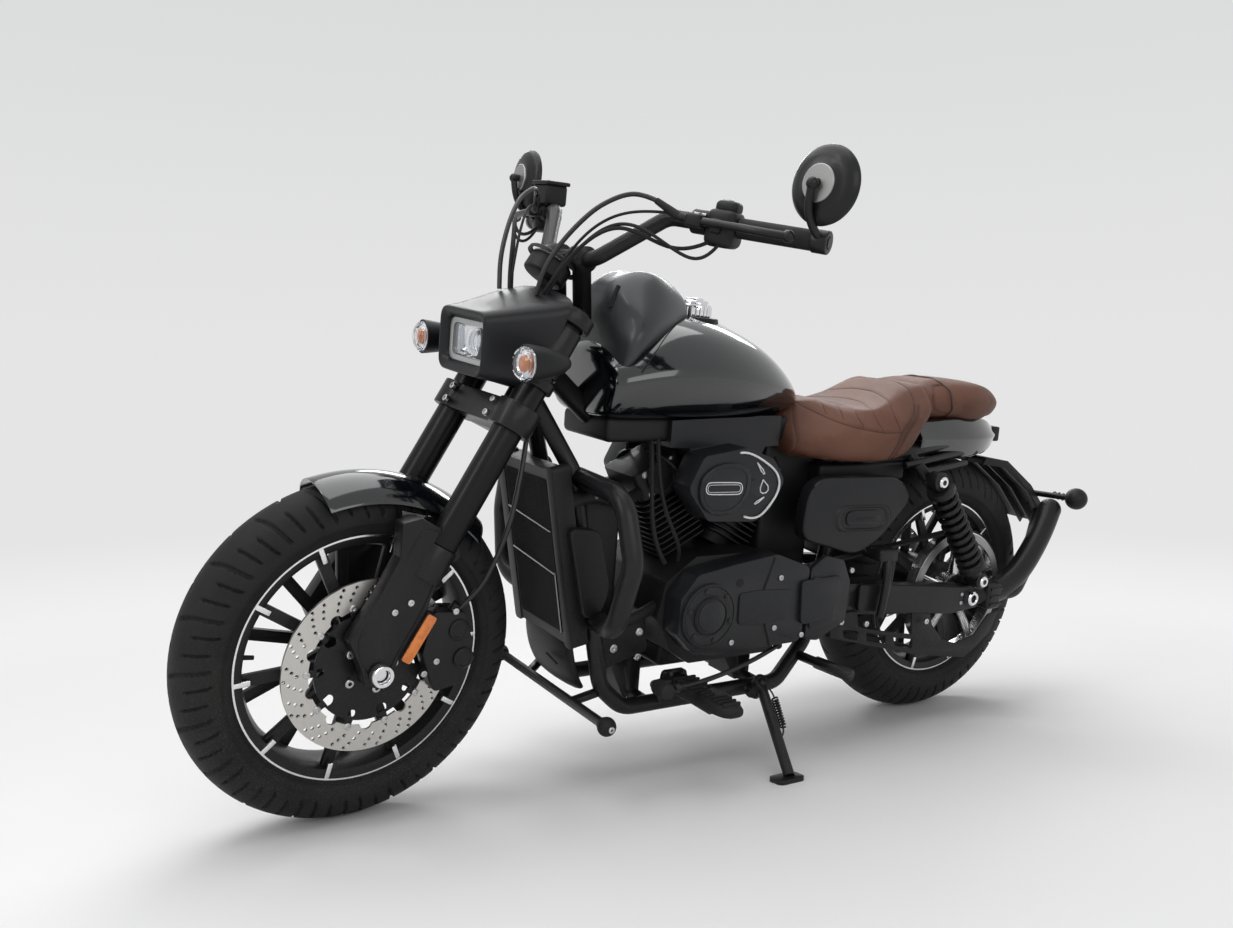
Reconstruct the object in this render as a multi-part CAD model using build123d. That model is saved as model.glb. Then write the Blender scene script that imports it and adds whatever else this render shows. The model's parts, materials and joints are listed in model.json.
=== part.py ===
"""Cruiser motorcycle with a V-twin engine, parked on its side stand.

The model is drawn upright in the machine's own frame: X forward, Y to the rider's left,
Z up, zero at the rear tyre's contact point.  The front end is then turned a few degrees
about the steering axis, the whole machine leans onto its side stand, and the result is
moved so that the origin lies under the middle of its box.  Units are millimetres.
"""
from build123d import *
from math import acos, atan2, cos, degrees, hypot, radians, sin, sqrt, tan
import os

# ---------------------------------------------------------------- driving dimensions
WHEELBASE = 1400.0
RAKE = 30.0
TRAIL = 120.0
LEAN = 8.0
STEER_REST = 5.0
STEER_LOCK = 32.0
FIT = 0.3                    # running or seating gap between neighbouring pieces
CLEAR = 6.0                  # least gap between pieces that move past each other

# wheels
FRONT_R = 300.0
FRONT_CROWN = 59.0           # radius of the tyre's cross-section
FRONT_BEAD = 208.0           # radius where tyre meets rim
FRONT_RIM_HALF = 45.0
REAR_R = 305.0
REAR_CROWN = 75.0
REAR_BEAD = 196.0
REAR_RIM_HALF = 58.0
TYRE_WALL = 9.0
RIM_LIP = 9.0                # how far the rim's flange stands above the bead seat
RIM_WALL = 8.0
FLANGE_T = 5.0               # thickness of the rim's flange
SPOKES = 20
SPOKE_T = 9.0
SPOKE_W = 20.0
SPOKE_PHASE = -4.0
FRONT_HUB_R = 44.0
FRONT_SPOKE_Y = 36.0         # where the spokes leave the hub
REAR_SPOKE_Y = 46.0
REAR_HUB_R = 62.0
AXLE_R = 10.0
REAR_AXLE_R = 12.0
AXLE_BORE = 7.0              # bore right through the rear axle

# brakes
DISC_R = 150.0
DISC_BAND = 45.0
DISC_T = 4.5
DISC_Y = 75.0
REAR_DISC_R = 120.0
REAR_DISC_Y = -92.0
DISC_HOLE_R = 4.0
REAR_HUB_HALF = 66.0
FRONT_HUB_HALF = DISC_Y - DISC_T / 2 - FIT

# fork and steering
FORK_HALF = 98.0             # half of the distance between the fork tubes
FORK_OFFSET = 55.0           # fork tubes ahead of the steering axis
FORK_TUBE_R = 27.0
FORK_LOW = 548.0             # distances along the steering axis from the floor
CLAMP_LOW = 772.0
CLAMP_LOW_T = 48.0
CLAMP_TOP = 982.0
CLAMP_TOP_T = 24.0
HEAD_TUBE_R = 31.0
STEM_R = 14.0

# engine
CRANK_X = 690.0
CRANK_Z = 346.0
V_ANGLE = 54.0
BORE_BLOCK = 118.0           # side of a cylinder's fins
CYL_FOOT = 105.0             # from the crank to a cylinder's foot
CYL_TOP = 306.0              # from the crank to the top of its head
FIN_T = 4.0
FIN_PITCH = 12.5
CASE_HALF = 118.0
CASE_LOW = 232.0

# chassis
TUBE_R = 16.0
FRAME_HALF = 105.0
FRAME_REAR_HALF = 72.0       # behind the engine, inside the belt
SPINE_R = 20.0
STUD_R = 8.0                 # studs for the dampers and the side stand
PIVOT_X = 402.0
PIVOT_Z = 335.0
PIVOT_REACH = FRAME_REAR_HALF + TUBE_R + 3   # end of the frame's pivot boss
ARM_HALF = 136.0             # middle of each swingarm leg
ARM_T = 22.0
BELT_Y = 104.0
BELT_W = 22.0
BELT_T = 5.0
REAR_PULLEY_R = 145.0
FRONT_PULLEY_R = 48.0
FRONT_PULLEY_X = 486.0
SHOCK_Y = 168.0
SHOCK_R = 29.0
SHOCK_TOP = (166.0, 583.0)
SHOCK_LOW = (4.0, 352.0)
GUARD_R = 19.0
HOSE_R = 4.5
MUFFLER_R = 43.0

# side stand
STAND_PIVOT = (593.0, 146.0, 176.0)
STAND_FOOT = (628.0, 296.0)  # on the floor, in the parked frame
STAND_R = 11.0
STAND_FOOT_T = 8.0

# ---------------------------------------------------------------- worked-out places
RAKE_SIN = sin(radians(RAKE))
RAKE_COS = cos(radians(RAKE))
STEER_FOOT = Vector(WHEELBASE + TRAIL, 0, 0)
STEER_DIR = Vector(-RAKE_SIN, 0, RAKE_COS)
STEER_FWD = Vector(RAKE_COS, 0, RAKE_SIN)
FRONT_AXLE = Vector(WHEELBASE, 0, FRONT_R)
REAR_AXLE = Vector(0, 0, REAR_R)


def on_fork(along, ahead=0.0, y=0.0):
    """Point at a distance along the steering axis, ahead of it and to the left."""
    return STEER_FOOT + STEER_DIR * along + STEER_FWD * ahead + Vector(0, y, 0)


def fork_plane(along):
    """Plane square to the steering axis, its X forward and its Y to the left."""
    return Plane(on_fork(along), x_dir=STEER_FWD, z_dir=STEER_DIR)


# ---------------------------------------------------------------- shape helpers
def rod(start, end, radius):
    """Round bar between two points."""
    start, end = Vector(start), Vector(end)
    way = end - start
    return Solid.make_cylinder(radius, way.length, Plane(start, z_dir=way))


def cone(start, end, radius_a, radius_b):
    """Tapered round bar between two points."""
    start, end = Vector(start), Vector(end)
    way = end - start
    return Solid.make_cone(radius_a, radius_b, way.length, Plane(start, z_dir=way))


def bend_radii(points, largest):
    """A bend's radius at each corner: the one wanted, or what its runs leave room for."""
    radii = []
    for before, corner, after in zip(points, points[1:], points[2:]):
        arrive, leave = corner - before, after - corner
        turn = radians(arrive.get_angle(leave))
        room = 0.45 * min(arrive.length, leave.length) / tan(turn / 2)
        radii.append(min(largest, room))
    return radii


def tube(points, radius, bend):
    """Round bar bent along straight runs joined by tangent arcs."""
    points = [Vector(p) for p in points]
    path = FilletPolyline(*points, radius=bend_radii(points, bend))
    section = Plane(path @ 0, z_dir=path % 0) * Circle(radius)
    return sweep(section, path=path)


def side_plate(outline, y_low, y_high, corner=0.0):
    """Plate with an outline of (x, z) points, from y_low to y_high."""
    face = make_face(Polyline(*[Vector(x, z) for x, z in outline], close=True))
    if corner > 0:
        face = fillet(face.vertices(), corner)
    plane = Plane((0, y_high, 0), x_dir=(1, 0, 0), z_dir=(0, -1, 0))
    return extrude(plane * face, y_high - y_low)


def block(x, y, z, corner=0.0):
    """Box from pairs of low and high values."""
    size = [high - low for low, high in (x, y, z)]
    middle = [(high + low) / 2 for low, high in (x, y, z)]
    solid = Pos(*middle) * Box(*size)
    if corner > 0:
        solid = fillet(solid.edges(), corner)
    return solid


def hull_section(x, low, high, bottom, belly, top, belly_z, corner):
    """Six-sided section across the machine at x, with rounded corners."""
    corners = [(-bottom, low), (-belly, belly_z), (-top, high)]
    corners += [(top, high), (belly, belly_z), (bottom, low)]
    face = make_face(Polyline(*[Vector(y, z) for y, z in corners], close=True))
    face = fillet(face.vertices(), corner)
    return Plane((x, 0, 0), x_dir=(0, 1, 0), z_dir=(1, 0, 0)) * face


def hull_loft(rows):
    """Smooth body through a table of hull sections."""
    return loft([hull_section(*row) for row in rows])


def turned(profile, axle):
    """Ring turned about an axle along Y, from (radius, y) points."""
    face = make_face(Polyline(*[Vector(r, y) for r, y in profile], close=True))
    return Pos(axle) * revolve(face, Axis.Y)


def arc_shell(axle, crown_r, edge_r, half, wall, start, end):
    """Mudguard: an arched section swept about an axle from start to end degrees."""
    outer = ThreePointArc((edge_r, -half), (crown_r, 0), (edge_r, half))
    inner = ThreePointArc((edge_r, half - wall), (crown_r - wall, 0), (edge_r, wall - half))
    ends = [Line(outer @ 1, inner @ 0), Line(inner @ 1, outer @ 0)]
    face = make_face([outer, ends[0], inner, ends[1]])
    solid = revolve(face, Axis.Y, revolution_arc=end - start)
    return Pos(axle) * Rot(0, -end, 0) * solid


def mirrored(solid):
    """The same piece on the machine's other side."""
    return mirror(solid, Plane.XZ)


def both(solid):
    """A piece and its mirror image."""
    return [solid, mirrored(solid)]


# ---------------------------------------------------------------- wheels
def tyre(axle, outer_r, crown, bead, rim_half):
    """Hollow tyre: round tread, straight sidewalls that step over the rim's flanges."""
    middle = outer_r - crown
    lip = bead + RIM_LIP + FIT
    foot = rim_half - FLANGE_T - FIT
    wall = crown - TYRE_WALL
    outer = ThreePointArc((middle, -crown), (outer_r, 0), (middle, crown))
    inner = ThreePointArc((middle, wall), (outer_r - TYRE_WALL, 0), (middle, -wall))
    left = Polyline(
        (middle, crown), (lip, rim_half + 3), (lip, foot), (bead, foot),
        (bead, foot - TYRE_WALL), (middle, wall),
    )
    right = Polyline(
        (middle, -wall), (bead, TYRE_WALL - foot), (bead, -foot), (lip, -foot),
        (lip, -rim_half - 3), (middle, -crown),
    )
    return Pos(axle) * revolve(make_face([outer, *left.edges(), inner, *right.edges()]), Axis.Y)


def rim(axle, bead, half, hub_r, hub_half, spoke_y, bore):
    """Cast wheel: barrel with two flanges, a hub and two rings of thin spokes."""
    lip = bead + RIM_LIP
    seat = bead - FIT
    drop = seat - RIM_WALL
    step = half - FLANGE_T
    barrel = turned(
        [
            (lip, half), (lip, step), (seat, step), (seat, step - 16), (seat - 8, step - 24),
            (seat - 8, 24 - step), (seat, 16 - step), (seat, -step), (lip, -step), (lip, -half),
            (drop, 4 - half), (drop - 8, 24 - step), (drop - 8, step - 24), (drop, half - 4),
        ],
        axle,
    )
    hub = turned([(bore, -hub_half), (hub_r, -hub_half), (hub_r, hub_half), (bore, hub_half)], axle)
    body = barrel + hub
    inner, outer = hub_r - 3, drop - 3
    rim_y = half - SPOKE_W / 2 - 6
    for number in range(SPOKES):
        flank = 1 if number % 2 == 0 else -1
        angle = SPOKE_PHASE + number * 360 / SPOKES
        shank = loft([
            Plane((inner, flank * spoke_y, 0), z_dir=(1, 0, 0)) * Rectangle(SPOKE_W, SPOKE_T * 1.3),
            Plane((outer, flank * rim_y, 0), z_dir=(1, 0, 0)) * Rectangle(SPOKE_W, SPOKE_T),
        ])
        body += Pos(axle) * Rot(0, -angle, 0) * shank
    return body


def disc(axle, outer_r, band, thickness, y, hub_r, bore):
    """Brake disc: a drilled band carried by a spider of arms."""
    low, high = y - thickness / 2, y + thickness / 2
    ring = turned([(outer_r - band, low), (outer_r, low), (outer_r, high), (outer_r - band, high)], axle)
    boss = turned([(bore, low), (hub_r, low), (hub_r, high), (bore, high)], axle)
    body = ring + boss
    for number in range(10):
        arm = block((hub_r - 3, outer_r - band + 3), (low, high), (-7, 7))
        body += Pos(axle) * Rot(0, -number * 36, 0) * arm
    for number in range(20):
        along = outer_r - band * (0.3 if number % 2 == 0 else 0.68)
        hole = rod((along, low - 1, 0), (along, high + 1, 0), DISC_HOLE_R)
        body -= Pos(axle) * Rot(0, -number * 18 - 9, 0) * hole
    return body


# ---------------------------------------------------------------- front end
def make_fork_tubes():
    left = rod(
        on_fork(FORK_LOW, FORK_OFFSET, FORK_HALF),
        on_fork(CLAMP_TOP + CLAMP_TOP_T + 6, FORK_OFFSET, FORK_HALF),
        FORK_TUBE_R,
    )
    return both(left)


LOWER_OUTLINE = [             # (x from the front axle, z from the front axle)
    (-63, 257), (-28, 251), (-28, 193), (3, 134), (52, 59), (30, 10), (22, -18),
    (0, -28), (-24, -16), (-34, 18), (-75, 85), (-106, 168), (-137, 182), (-130, 218),
]


def make_fork_lowers():
    outline = [(FRONT_AXLE.X + x, FRONT_AXLE.Z + z) for x, z in LOWER_OUTLINE]
    inner = DISC_Y + DISC_T / 2 + CLEAR
    left = side_plate(outline, inner, inner + 30, 6)
    top = on_fork(FORK_LOW - FIT, FORK_OFFSET, FORK_HALF)
    left += rod(on_fork(FORK_LOW - 60, FORK_OFFSET, FORK_HALF), top, FORK_TUBE_R + 3) - block(
        (0, 2 * WHEELBASE), (0, inner), (0, 900)
    )
    left -= rod(top, on_fork(FORK_LOW + 200, FORK_OFFSET, FORK_HALF), FORK_TUBE_R + FIT)
    nut = rod(FRONT_AXLE + (0, inner + 28, 0), FRONT_AXLE + (0, inner + 42, 0), 17)
    nut -= rod(FRONT_AXLE + (0, inner + 36, 0), FRONT_AXLE + (0, inner + 43, 0), 10)
    left += nut
    axle = rod(FRONT_AXLE - (0, inner + 1, 0), FRONT_AXLE + (0, inner + 1, 0), AXLE_R)
    return left + axle + mirrored(left)


def clamp_plate(along, thickness, ear):
    plane = fork_plane(along)
    outline = [
        (FORK_OFFSET + ear, FORK_HALF - 8), (FORK_OFFSET + ear, 8 - FORK_HALF),
        (FORK_OFFSET - ear, 8 - FORK_HALF), (-24, -24), (-24, 24), (FORK_OFFSET - ear, FORK_HALF - 8),
    ]
    face = make_face(Polyline(*[Vector(a, b) for a, b in outline], close=True))
    face = fillet(face.vertices(), 12)
    for y in (FORK_HALF, -FORK_HALF):
        face += Pos(FORK_OFFSET, y) * Circle(FORK_TUBE_R + 12)
    for y in (FORK_HALF, -FORK_HALF):
        face -= Pos(FORK_OFFSET, y) * Circle(FORK_TUBE_R + FIT)
    return extrude(plane * face, thickness)


def make_triple_clamps():
    lower = clamp_plate(CLAMP_LOW, CLAMP_LOW_T, 26)
    upper = clamp_plate(CLAMP_TOP, CLAMP_TOP_T, 24)
    stem = rod(on_fork(CLAMP_LOW + 5), on_fork(CLAMP_TOP + CLAMP_TOP_T + 8), STEM_R)
    return lower + upper + stem


NACELLE_ROWS = [              # x, low, high, half width low, half width top, corner
    (1231, 779, 892, 77, 79, 24),
    (1150, 766, 912, 102, 100, 30),
    (1086, 770, 922, 130, 124, 34),
]


def nacelle_section(x, low, high, half_low, half_top, corner):
    corners = [(-half_low, low), (-half_top, high), (half_top, high), (half_low, low)]
    face = make_face(Polyline(*[Vector(y, z) for y, z in corners], close=True))
    face = fillet(face.vertices(), corner)
    return Plane((x, 0, 0), x_dir=(0, 1, 0), z_dir=(1, 0, 0)) * face


LENS_HALF = 64.0
LENS_Z = (797.0, 874.0)
LENS_X = 1218.0
LENS_T = 20.0
LENS_CORNER = 18.0


def make_nacelle():
    body = loft([nacelle_section(*row) for row in NACELLE_ROWS])
    pocket = block((LENS_X - 45, 1300), (-LENS_HALF, LENS_HALF), LENS_Z)
    body -= fillet(pocket.edges().filter_by(Axis.X), LENS_CORNER)
    for y in (FORK_HALF, -FORK_HALF):
        body -= rod(on_fork(CLAMP_LOW, FORK_OFFSET, y), on_fork(1300, FORK_OFFSET, y), FORK_TUBE_R + FIT)
    keep_clear = clamp_gap(CLAMP_TOP - FIT, CLAMP_TOP_T + 90)
    body -= keep_clear
    body -= clamp_gap(CLAMP_LOW - FIT - 60, CLAMP_LOW_T + 60 + 2 * FIT)
    body -= rod(on_fork(CLAMP_LOW), on_fork(CLAMP_TOP + 40), HEAD_TUBE_R + CLEAR + 2)
    return body


def clamp_gap(along, thickness):
    """Space round a clamp plate that other front-end pieces stay out of."""
    face = Pos(10, 0) * Rectangle(180, 2 * (FORK_HALF + FORK_TUBE_R + 16))
    return extrude(fork_plane(along) * face, thickness)


def make_lens():
    lens = block((LENS_X - LENS_T, LENS_X), (FIT - LENS_HALF, LENS_HALF - FIT), (LENS_Z[0] + FIT, LENS_Z[1] - FIT))
    return fillet(lens.edges().filter_by(Axis.X), LENS_CORNER - FIT)


SIGNAL_AT = (1212.0, 182.0, 820.0)


def make_front_signals():
    x, y, z = SIGNAL_AT
    lens = rod((x - 6, y, z), (x + 2, y, z), 28)
    cup = cone((x - 62, y, z), (x - 6, y, z), 8, 28)
    foot = rod((x - 45, y, z), (x - 53, FORK_HALF - 4, z), 7)
    left = lens + cup + foot
    shell = loft([nacelle_section(*row) for row in NACELLE_ROWS])
    return both(left - shell)


BAR_RUN = [(1020.0, 75.0, 992.0), (942.0, 178.0, 1077.0), (832.0, 422.0, 1058.0)]
BAR_R = 14.0
GRIP_R = 17.0
GRIP_LENGTH = 128.0
BAR_END = Vector(*BAR_RUN[2])
BAR_WAY = (Vector(*BAR_RUN[2]) - Vector(*BAR_RUN[1])).normalized()
BAR_FWD = BAR_WAY.cross(Vector(0, 0, 1)).normalized()


def make_handlebar():
    left = [Vector(*p) for p in BAR_RUN]
    right = [Vector(p.X, -p.Y, p.Z) for p in left]
    run = [left[2], left[1], left[0], right[0], right[1], right[2]]
    bar = tube(run, BAR_R, 45)
    top = on_fork(CLAMP_TOP + CLAMP_TOP_T + FIT)
    for y in (40, -40):
        foot = Vector(1012, y, 0)
        foot.Z = top.Z + (foot.X - top.X) * tan(radians(RAKE))
        bar += rod(foot + Vector(-6, 0, 6), Vector(1020, y, 992), 17)
        bar += rod((1020, y - 18, 992), (1020, y + 18, 992), BAR_R + 9)
    return bar - extrude(fork_plane(CLAMP_TOP + CLAMP_TOP_T + FIT) * Rectangle(300, 300), -200)


def make_grips():
    inner = BAR_END - BAR_WAY * (GRIP_LENGTH + 8)
    outer = BAR_END - BAR_WAY * 8
    grip = rod(inner, outer, GRIP_R) - rod(inner - BAR_WAY, outer + BAR_WAY, BAR_R + FIT)
    return both(grip)


def make_hand_controls():
    pod_in = BAR_END - BAR_WAY * (GRIP_LENGTH + 60)
    pod_out = BAR_END - BAR_WAY * (GRIP_LENGTH + 9)
    hole = rod(pod_in - BAR_WAY * 60, pod_out + BAR_WAY * 2, BAR_R + FIT)
    pod = rod(pod_in, pod_out, 25)
    perch_in = pod_in - BAR_WAY * 32
    perch = rod(perch_in, pod_in + BAR_WAY, 20)
    ahead = BAR_FWD * 31
    perch += rod(perch_in + BAR_WAY * 16, perch_in + BAR_WAY * 16 + ahead, 10)
    pivot = perch_in + BAR_WAY * 16 + ahead
    lever = tube([pivot, pivot + BAR_WAY * 70 + ahead * 0.5, BAR_END - BAR_WAY * 36 + BAR_FWD * 46], 6, 60)
    left = pod + perch + lever - hole
    right = mirrored(left)
    jar = perch_in + BAR_WAY * 16
    jar = Vector(jar.X, -jar.Y, jar.Z)
    right += rod(jar + Vector(0, 0, 18), jar + Vector(0, 0, 58), 19)
    return [left, right]


MIRROR_AT = (855.0, 440.0, 1144.0)
MIRROR_R = 63.0


def make_mirrors():
    x, y, z = MIRROR_AT
    collar_in = BAR_END - BAR_WAY * 7
    collar = rod(collar_in, BAR_END + BAR_WAY * 18, 18) - rod(collar_in - BAR_WAY, BAR_END + BAR_WAY * FIT, BAR_R + FIT)
    stem_foot = BAR_END + BAR_WAY * 10
    elbow = Vector(stem_foot.X + 26, stem_foot.Y + 2, stem_foot.Z + 40)
    back = Vector(x + 6, y, z)
    stem = tube([stem_foot, elbow, back], 6, 18)
    facing = Vector(1, 0.12, 0.08).normalized()
    shell = cone(Vector(x, y, z) - facing * 8, Vector(x, y, z) + facing * 8, MIRROR_R, MIRROR_R - 16)
    return both(collar + stem + shell)


def make_front_fender():
    shell = arc_shell(FRONT_AXLE, FRONT_R + 16, FRONT_R - 26, 70, 3, 74, 136)
    inner = DISC_Y + DISC_T / 2 + CLEAR
    strut = side_plate(
        [(FRONT_AXLE.X + x, FRONT_AXLE.Z + z) for x, z in [(-40, 264), (-96, 250), (-90, 225), (-45, 232)]],
        66.5, inner - FIT,
    )
    return shell + strut + mirrored(strut)


def make_front_caliper(fork_lowers):
    inner = DISC_Y - DISC_T / 2 - CLEAR
    outer = DISC_Y + DISC_T / 2 + CLEAR
    outline = [(-94, 93), (-155, 86), (-175, 28), (-161, -43), (-104, -52), (-78, 20)]
    points = [(FRONT_AXLE.X + x, FRONT_AXLE.Z + z) for x, z in outline]
    body = side_plate(points, inner - 7, outer + 30, 10)
    slot = turned([(0, inner), (DISC_R + CLEAR, inner), (DISC_R + CLEAR, outer), (0, outer)], FRONT_AXLE)
    return body - slot - fork_lowers


GAUGE_AT = (1062.0, 0.0, 971.0)
GAUGE_R = 40.0


def make_gauge():
    middle = Vector(*GAUGE_AT)
    facing = Vector(-0.55, 0, 0.84).normalized()
    cup = rod(middle - facing * 22, middle + facing * 14, GAUGE_R)
    cup = fillet(cup.edges(), 5)
    foot = on_fork(CLAMP_TOP + CLAMP_TOP_T + 12, 38)
    return cup + rod(foot, middle - facing * 20, 9)


# ---------------------------------------------------------------- chassis
def spine(radius):
    """Backbone tube under the tank, from the steering head to the seat rails."""
    return tube([on_fork(CLAMP_TOP - 60), (936, 0, 692), (455, 0, 662)], radius, 90)


def stand_pin():
    """Ends of the side stand's pivot pin, in the upright frame."""
    pivot, axis = Vector(*STAND_PIVOT), stand_axis(upright=True)
    return pivot - axis * 30, pivot + axis * 12


def make_frame():
    half, narrow = FRAME_HALF, FRAME_REAR_HALF
    head_low = on_fork(CLAMP_LOW + CLAMP_LOW_T + CLEAR)
    head_top = on_fork(CLAMP_TOP - CLEAR)
    down_top = on_fork(CLAMP_LOW + CLAMP_LOW_T + 50)
    body = rod(head_low, head_top, HEAD_TUBE_R) + spine(SPINE_R)
    cradle = tube(
        [
            down_top, (1016, 62, 610), (952, half, 206), (900, half, 158), (520, half, 158),
            (416, narrow, 230), (PIVOT_X - 22, narrow, PIVOT_Z + 90), (340, narrow, 606),
            (180, 80, 632), (30, 80, 652),
        ],
        TUBE_R, 60,
    )
    for solid in both(cradle):
        body += solid
    body -= rod(head_low - STEER_DIR * 5, head_top + STEER_DIR * 5, STEM_R + CLEAR / 2)
    for x, y, z, radius in (
        (455, narrow, 662, 14), (560, half, 158, 12), (840, half, 158, 12), (338, narrow, 610, 12),
    ):
        body += rod((x, -y, z), (x, y, z), radius)
    for y in (narrow, -narrow):
        body += rod((455, y, 662), (338, y, 610), 14)
        body += rod((SHOCK_TOP[0], y * 1.1, 630), (SHOCK_TOP[0], y * 2, SHOCK_TOP[1]), 12)
        outward = 1 if y > 0 else -1
        body += rod(
            (SHOCK_TOP[0], outward * (SHOCK_Y - 22), SHOCK_TOP[1]),
            (SHOCK_TOP[0], outward * (SHOCK_Y + 18), SHOCK_TOP[1]), STUD_R,
        )
    for x in (560, 840):
        body += block((x - 18, x + 18), (-46, 46), (150, CASE_LOW - FIT))
    pin_in, pin_out = stand_pin()
    body += rod(pin_in, pin_out, STUD_R) + rod((STAND_PIVOT[0], half, 158), pin_in, 15)
    body += rod(pin_in, pin_in + (pin_out - pin_in).normalized() * 18, 17)
    return body + rod((PIVOT_X, -PIVOT_REACH, PIVOT_Z), (PIVOT_X, PIVOT_REACH, PIVOT_Z), 30)


def make_swingarm():
    low, high = ARM_HALF - ARM_T / 2, ARM_HALF + ARM_T / 2
    outline = [
        (-42, REAR_R - 28), (-42, REAR_R + 26), (60, REAR_R + 34), (PIVOT_X, PIVOT_Z + 34),
        (PIVOT_X + 26, PIVOT_Z), (PIVOT_X, PIVOT_Z - 32), (60, REAR_R - 34),
    ]
    left = side_plate(outline, low, high, 10)
    left += rod((PIVOT_X, PIVOT_REACH + FIT, PIVOT_Z), (PIVOT_X, high + 8, PIVOT_Z), 24)
    left += rod((SHOCK_LOW[0], low + 2, SHOCK_LOW[1] - 14), (SHOCK_LOW[0], high, SHOCK_LOW[1]), 16)
    left += rod((SHOCK_LOW[0], low + 4, SHOCK_LOW[1]), (SHOCK_LOW[0], SHOCK_Y + 26, SHOCK_LOW[1]), STUD_R)
    body = left + mirrored(left)
    body += block((326, 360), (2 - high, high - 2), (PIVOT_Z - 30, PIVOT_Z + 24))
    body += rod(REAR_AXLE - (0, high + 14, 0), REAR_AXLE + (0, high + 14, 0), REAR_AXLE_R)
    for y in (high + 10, -high - 10):
        body += rod(REAR_AXLE + (0, y - 10, 0), REAR_AXLE + (0, y + 2, 0), 21)
    return body - rod(REAR_AXLE - (0, high + 20, 0), REAR_AXLE + (0, high + 20, 0), AXLE_BORE)


def make_shocks():
    top, low = Vector(SHOCK_TOP[0], SHOCK_Y, SHOCK_TOP[1]), Vector(SHOCK_LOW[0], SHOCK_Y + 8, SHOCK_LOW[1])
    way = (low - top)
    length = way.length
    coils = 10
    start, end = 34.0, length - 46
    pitch = (end - start) / coils
    profile = [(0, 0), (17, 0), (17, start - 6), (SHOCK_R + 1, start - 6), (SHOCK_R + 1, start)]
    for number in range(coils):
        profile += [(SHOCK_R - 6, start + number * pitch), (SHOCK_R, start + (number + 0.5) * pitch)]
    profile += [(SHOCK_R - 6, end), (SHOCK_R + 1, end), (SHOCK_R + 1, end + 6), (13, end + 6), (13, length), (0, length)]
    face = make_face(Polyline(*[Vector(r, y) for r, y in profile], close=True))
    body = revolve(face, Axis.Y)
    plane = Plane(top, x_dir=Vector(0, 1, 0).cross(way), z_dir=way)
    body = plane * (Rot(90, 0, 0) * body)
    body += rod(top - (0, 14, 0), top + (0, 14, 0), 21)
    body += rod(low - (0, 14, 0), low + (0, 14, 0), 18)
    for eye in (top, low):
        body -= rod(eye - (0, 20, 0), eye + (0, 20, 0), STUD_R + FIT)
    return both(body)


# ---------------------------------------------------------------- engine
def make_engine_case():
    outline = [
        (520, 262), (500, 330), (520, 420), (600, 446), (760, 446), (828, 400), (842, 330),
        (806, 262), (760, CASE_LOW), (560, CASE_LOW),
    ]
    body = side_plate(outline, -CASE_HALF, CASE_HALF, 12)
    pulley_in = BELT_Y - BELT_W / 2
    shaft = (FRONT_PULLEY_X, pulley_in - 12, CRANK_Z)
    body -= rod(shaft, (FRONT_PULLEY_X, CASE_HALF + 1, CRANK_Z), FRONT_PULLEY_R + BELT_T + CLEAR)
    body += rod((520, pulley_in - 40, CRANK_Z), (520, pulley_in - 13, CRANK_Z), 40)
    body += rod((FRONT_PULLEY_X + 12, pulley_in - 30, CRANK_Z), (FRONT_PULLEY_X, pulley_in - 12, CRANK_Z), 44)
    return body + rod(shaft, (FRONT_PULLEY_X, BELT_Y + BELT_W / 2, CRANK_Z), FRONT_PULLEY_R)


def make_engine_cylinders(case):
    pieces = []
    for lean_angle in (V_ANGLE / 2, -V_ANGLE / 2):
        way = Vector(sin(radians(lean_angle)), 0, cos(radians(lean_angle)))
        foot = Vector(CRANK_X, 0, CRANK_Z)
        barrel = rod(foot + way * CYL_FOOT, foot + way * (CYL_TOP - 30), 46)
        fins = int((CYL_TOP - 70 - CYL_FOOT) / FIN_PITCH)
        for number in range(fins):
            plane = Plane(foot + way * (CYL_FOOT + 20 + number * FIN_PITCH), x_dir=(0, 1, 0), z_dir=way)
            barrel += extrude(plane * RectangleRounded(BORE_BLOCK, BORE_BLOCK, 18), FIN_T)
        head = Plane(foot + way * (CYL_TOP - 56), x_dir=(0, 1, 0), z_dir=way)
        barrel += extrude(head * RectangleRounded(BORE_BLOCK, BORE_BLOCK - 8, 14), 56)
        pieces.append(barrel)
    body = pieces[0] + pieces[1]
    return body - case


COVER_DISC_AT = (765.0, 346.0)
COVER_T = 52.0
COVER_SCREWS_R = 50.0
COVER_SCREW_R = 5.0


def make_engine_cover():
    x, z = COVER_DISC_AT
    outline = [(512, 420), (600, 452), (700, 440), (790, 425), (828, 380), (828, 310), (790, 272), (740, 262), (520, 266)]
    body = side_plate(outline, CASE_HALF + FIT, CASE_HALF + COVER_T, 16)
    body += rod((x, CASE_HALF + COVER_T - 1, z), (x, CASE_HALF + COVER_T + 10, z), 62)
    body += rod((x, CASE_HALF + COVER_T + 9, z), (x, CASE_HALF + COVER_T + 15, z), 38)
    for number in range(6):
        angle = radians(number * 60 + 15)
        screw = Vector(x + COVER_SCREWS_R * cos(angle), CASE_HALF + COVER_T, z + COVER_SCREWS_R * sin(angle))
        body += rod(screw + Vector(0, 9, 0), screw + Vector(0, 13, 0), COVER_SCREW_R)
    return body


def make_belt_cover():
    outline = [(508, 414), (508, 268), (474, 262), (400, 296), (396, 380), (420, 428), (470, 440)]
    inner, outer = ARM_HALF + ARM_T / 2 + 10, CASE_HALF + COVER_T
    body = side_plate(outline, inner, outer, 12)
    return body + side_plate([(505, 400), (505, 290), (440, 300), (430, 390)], outer - 2, outer + 6, 8)


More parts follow.
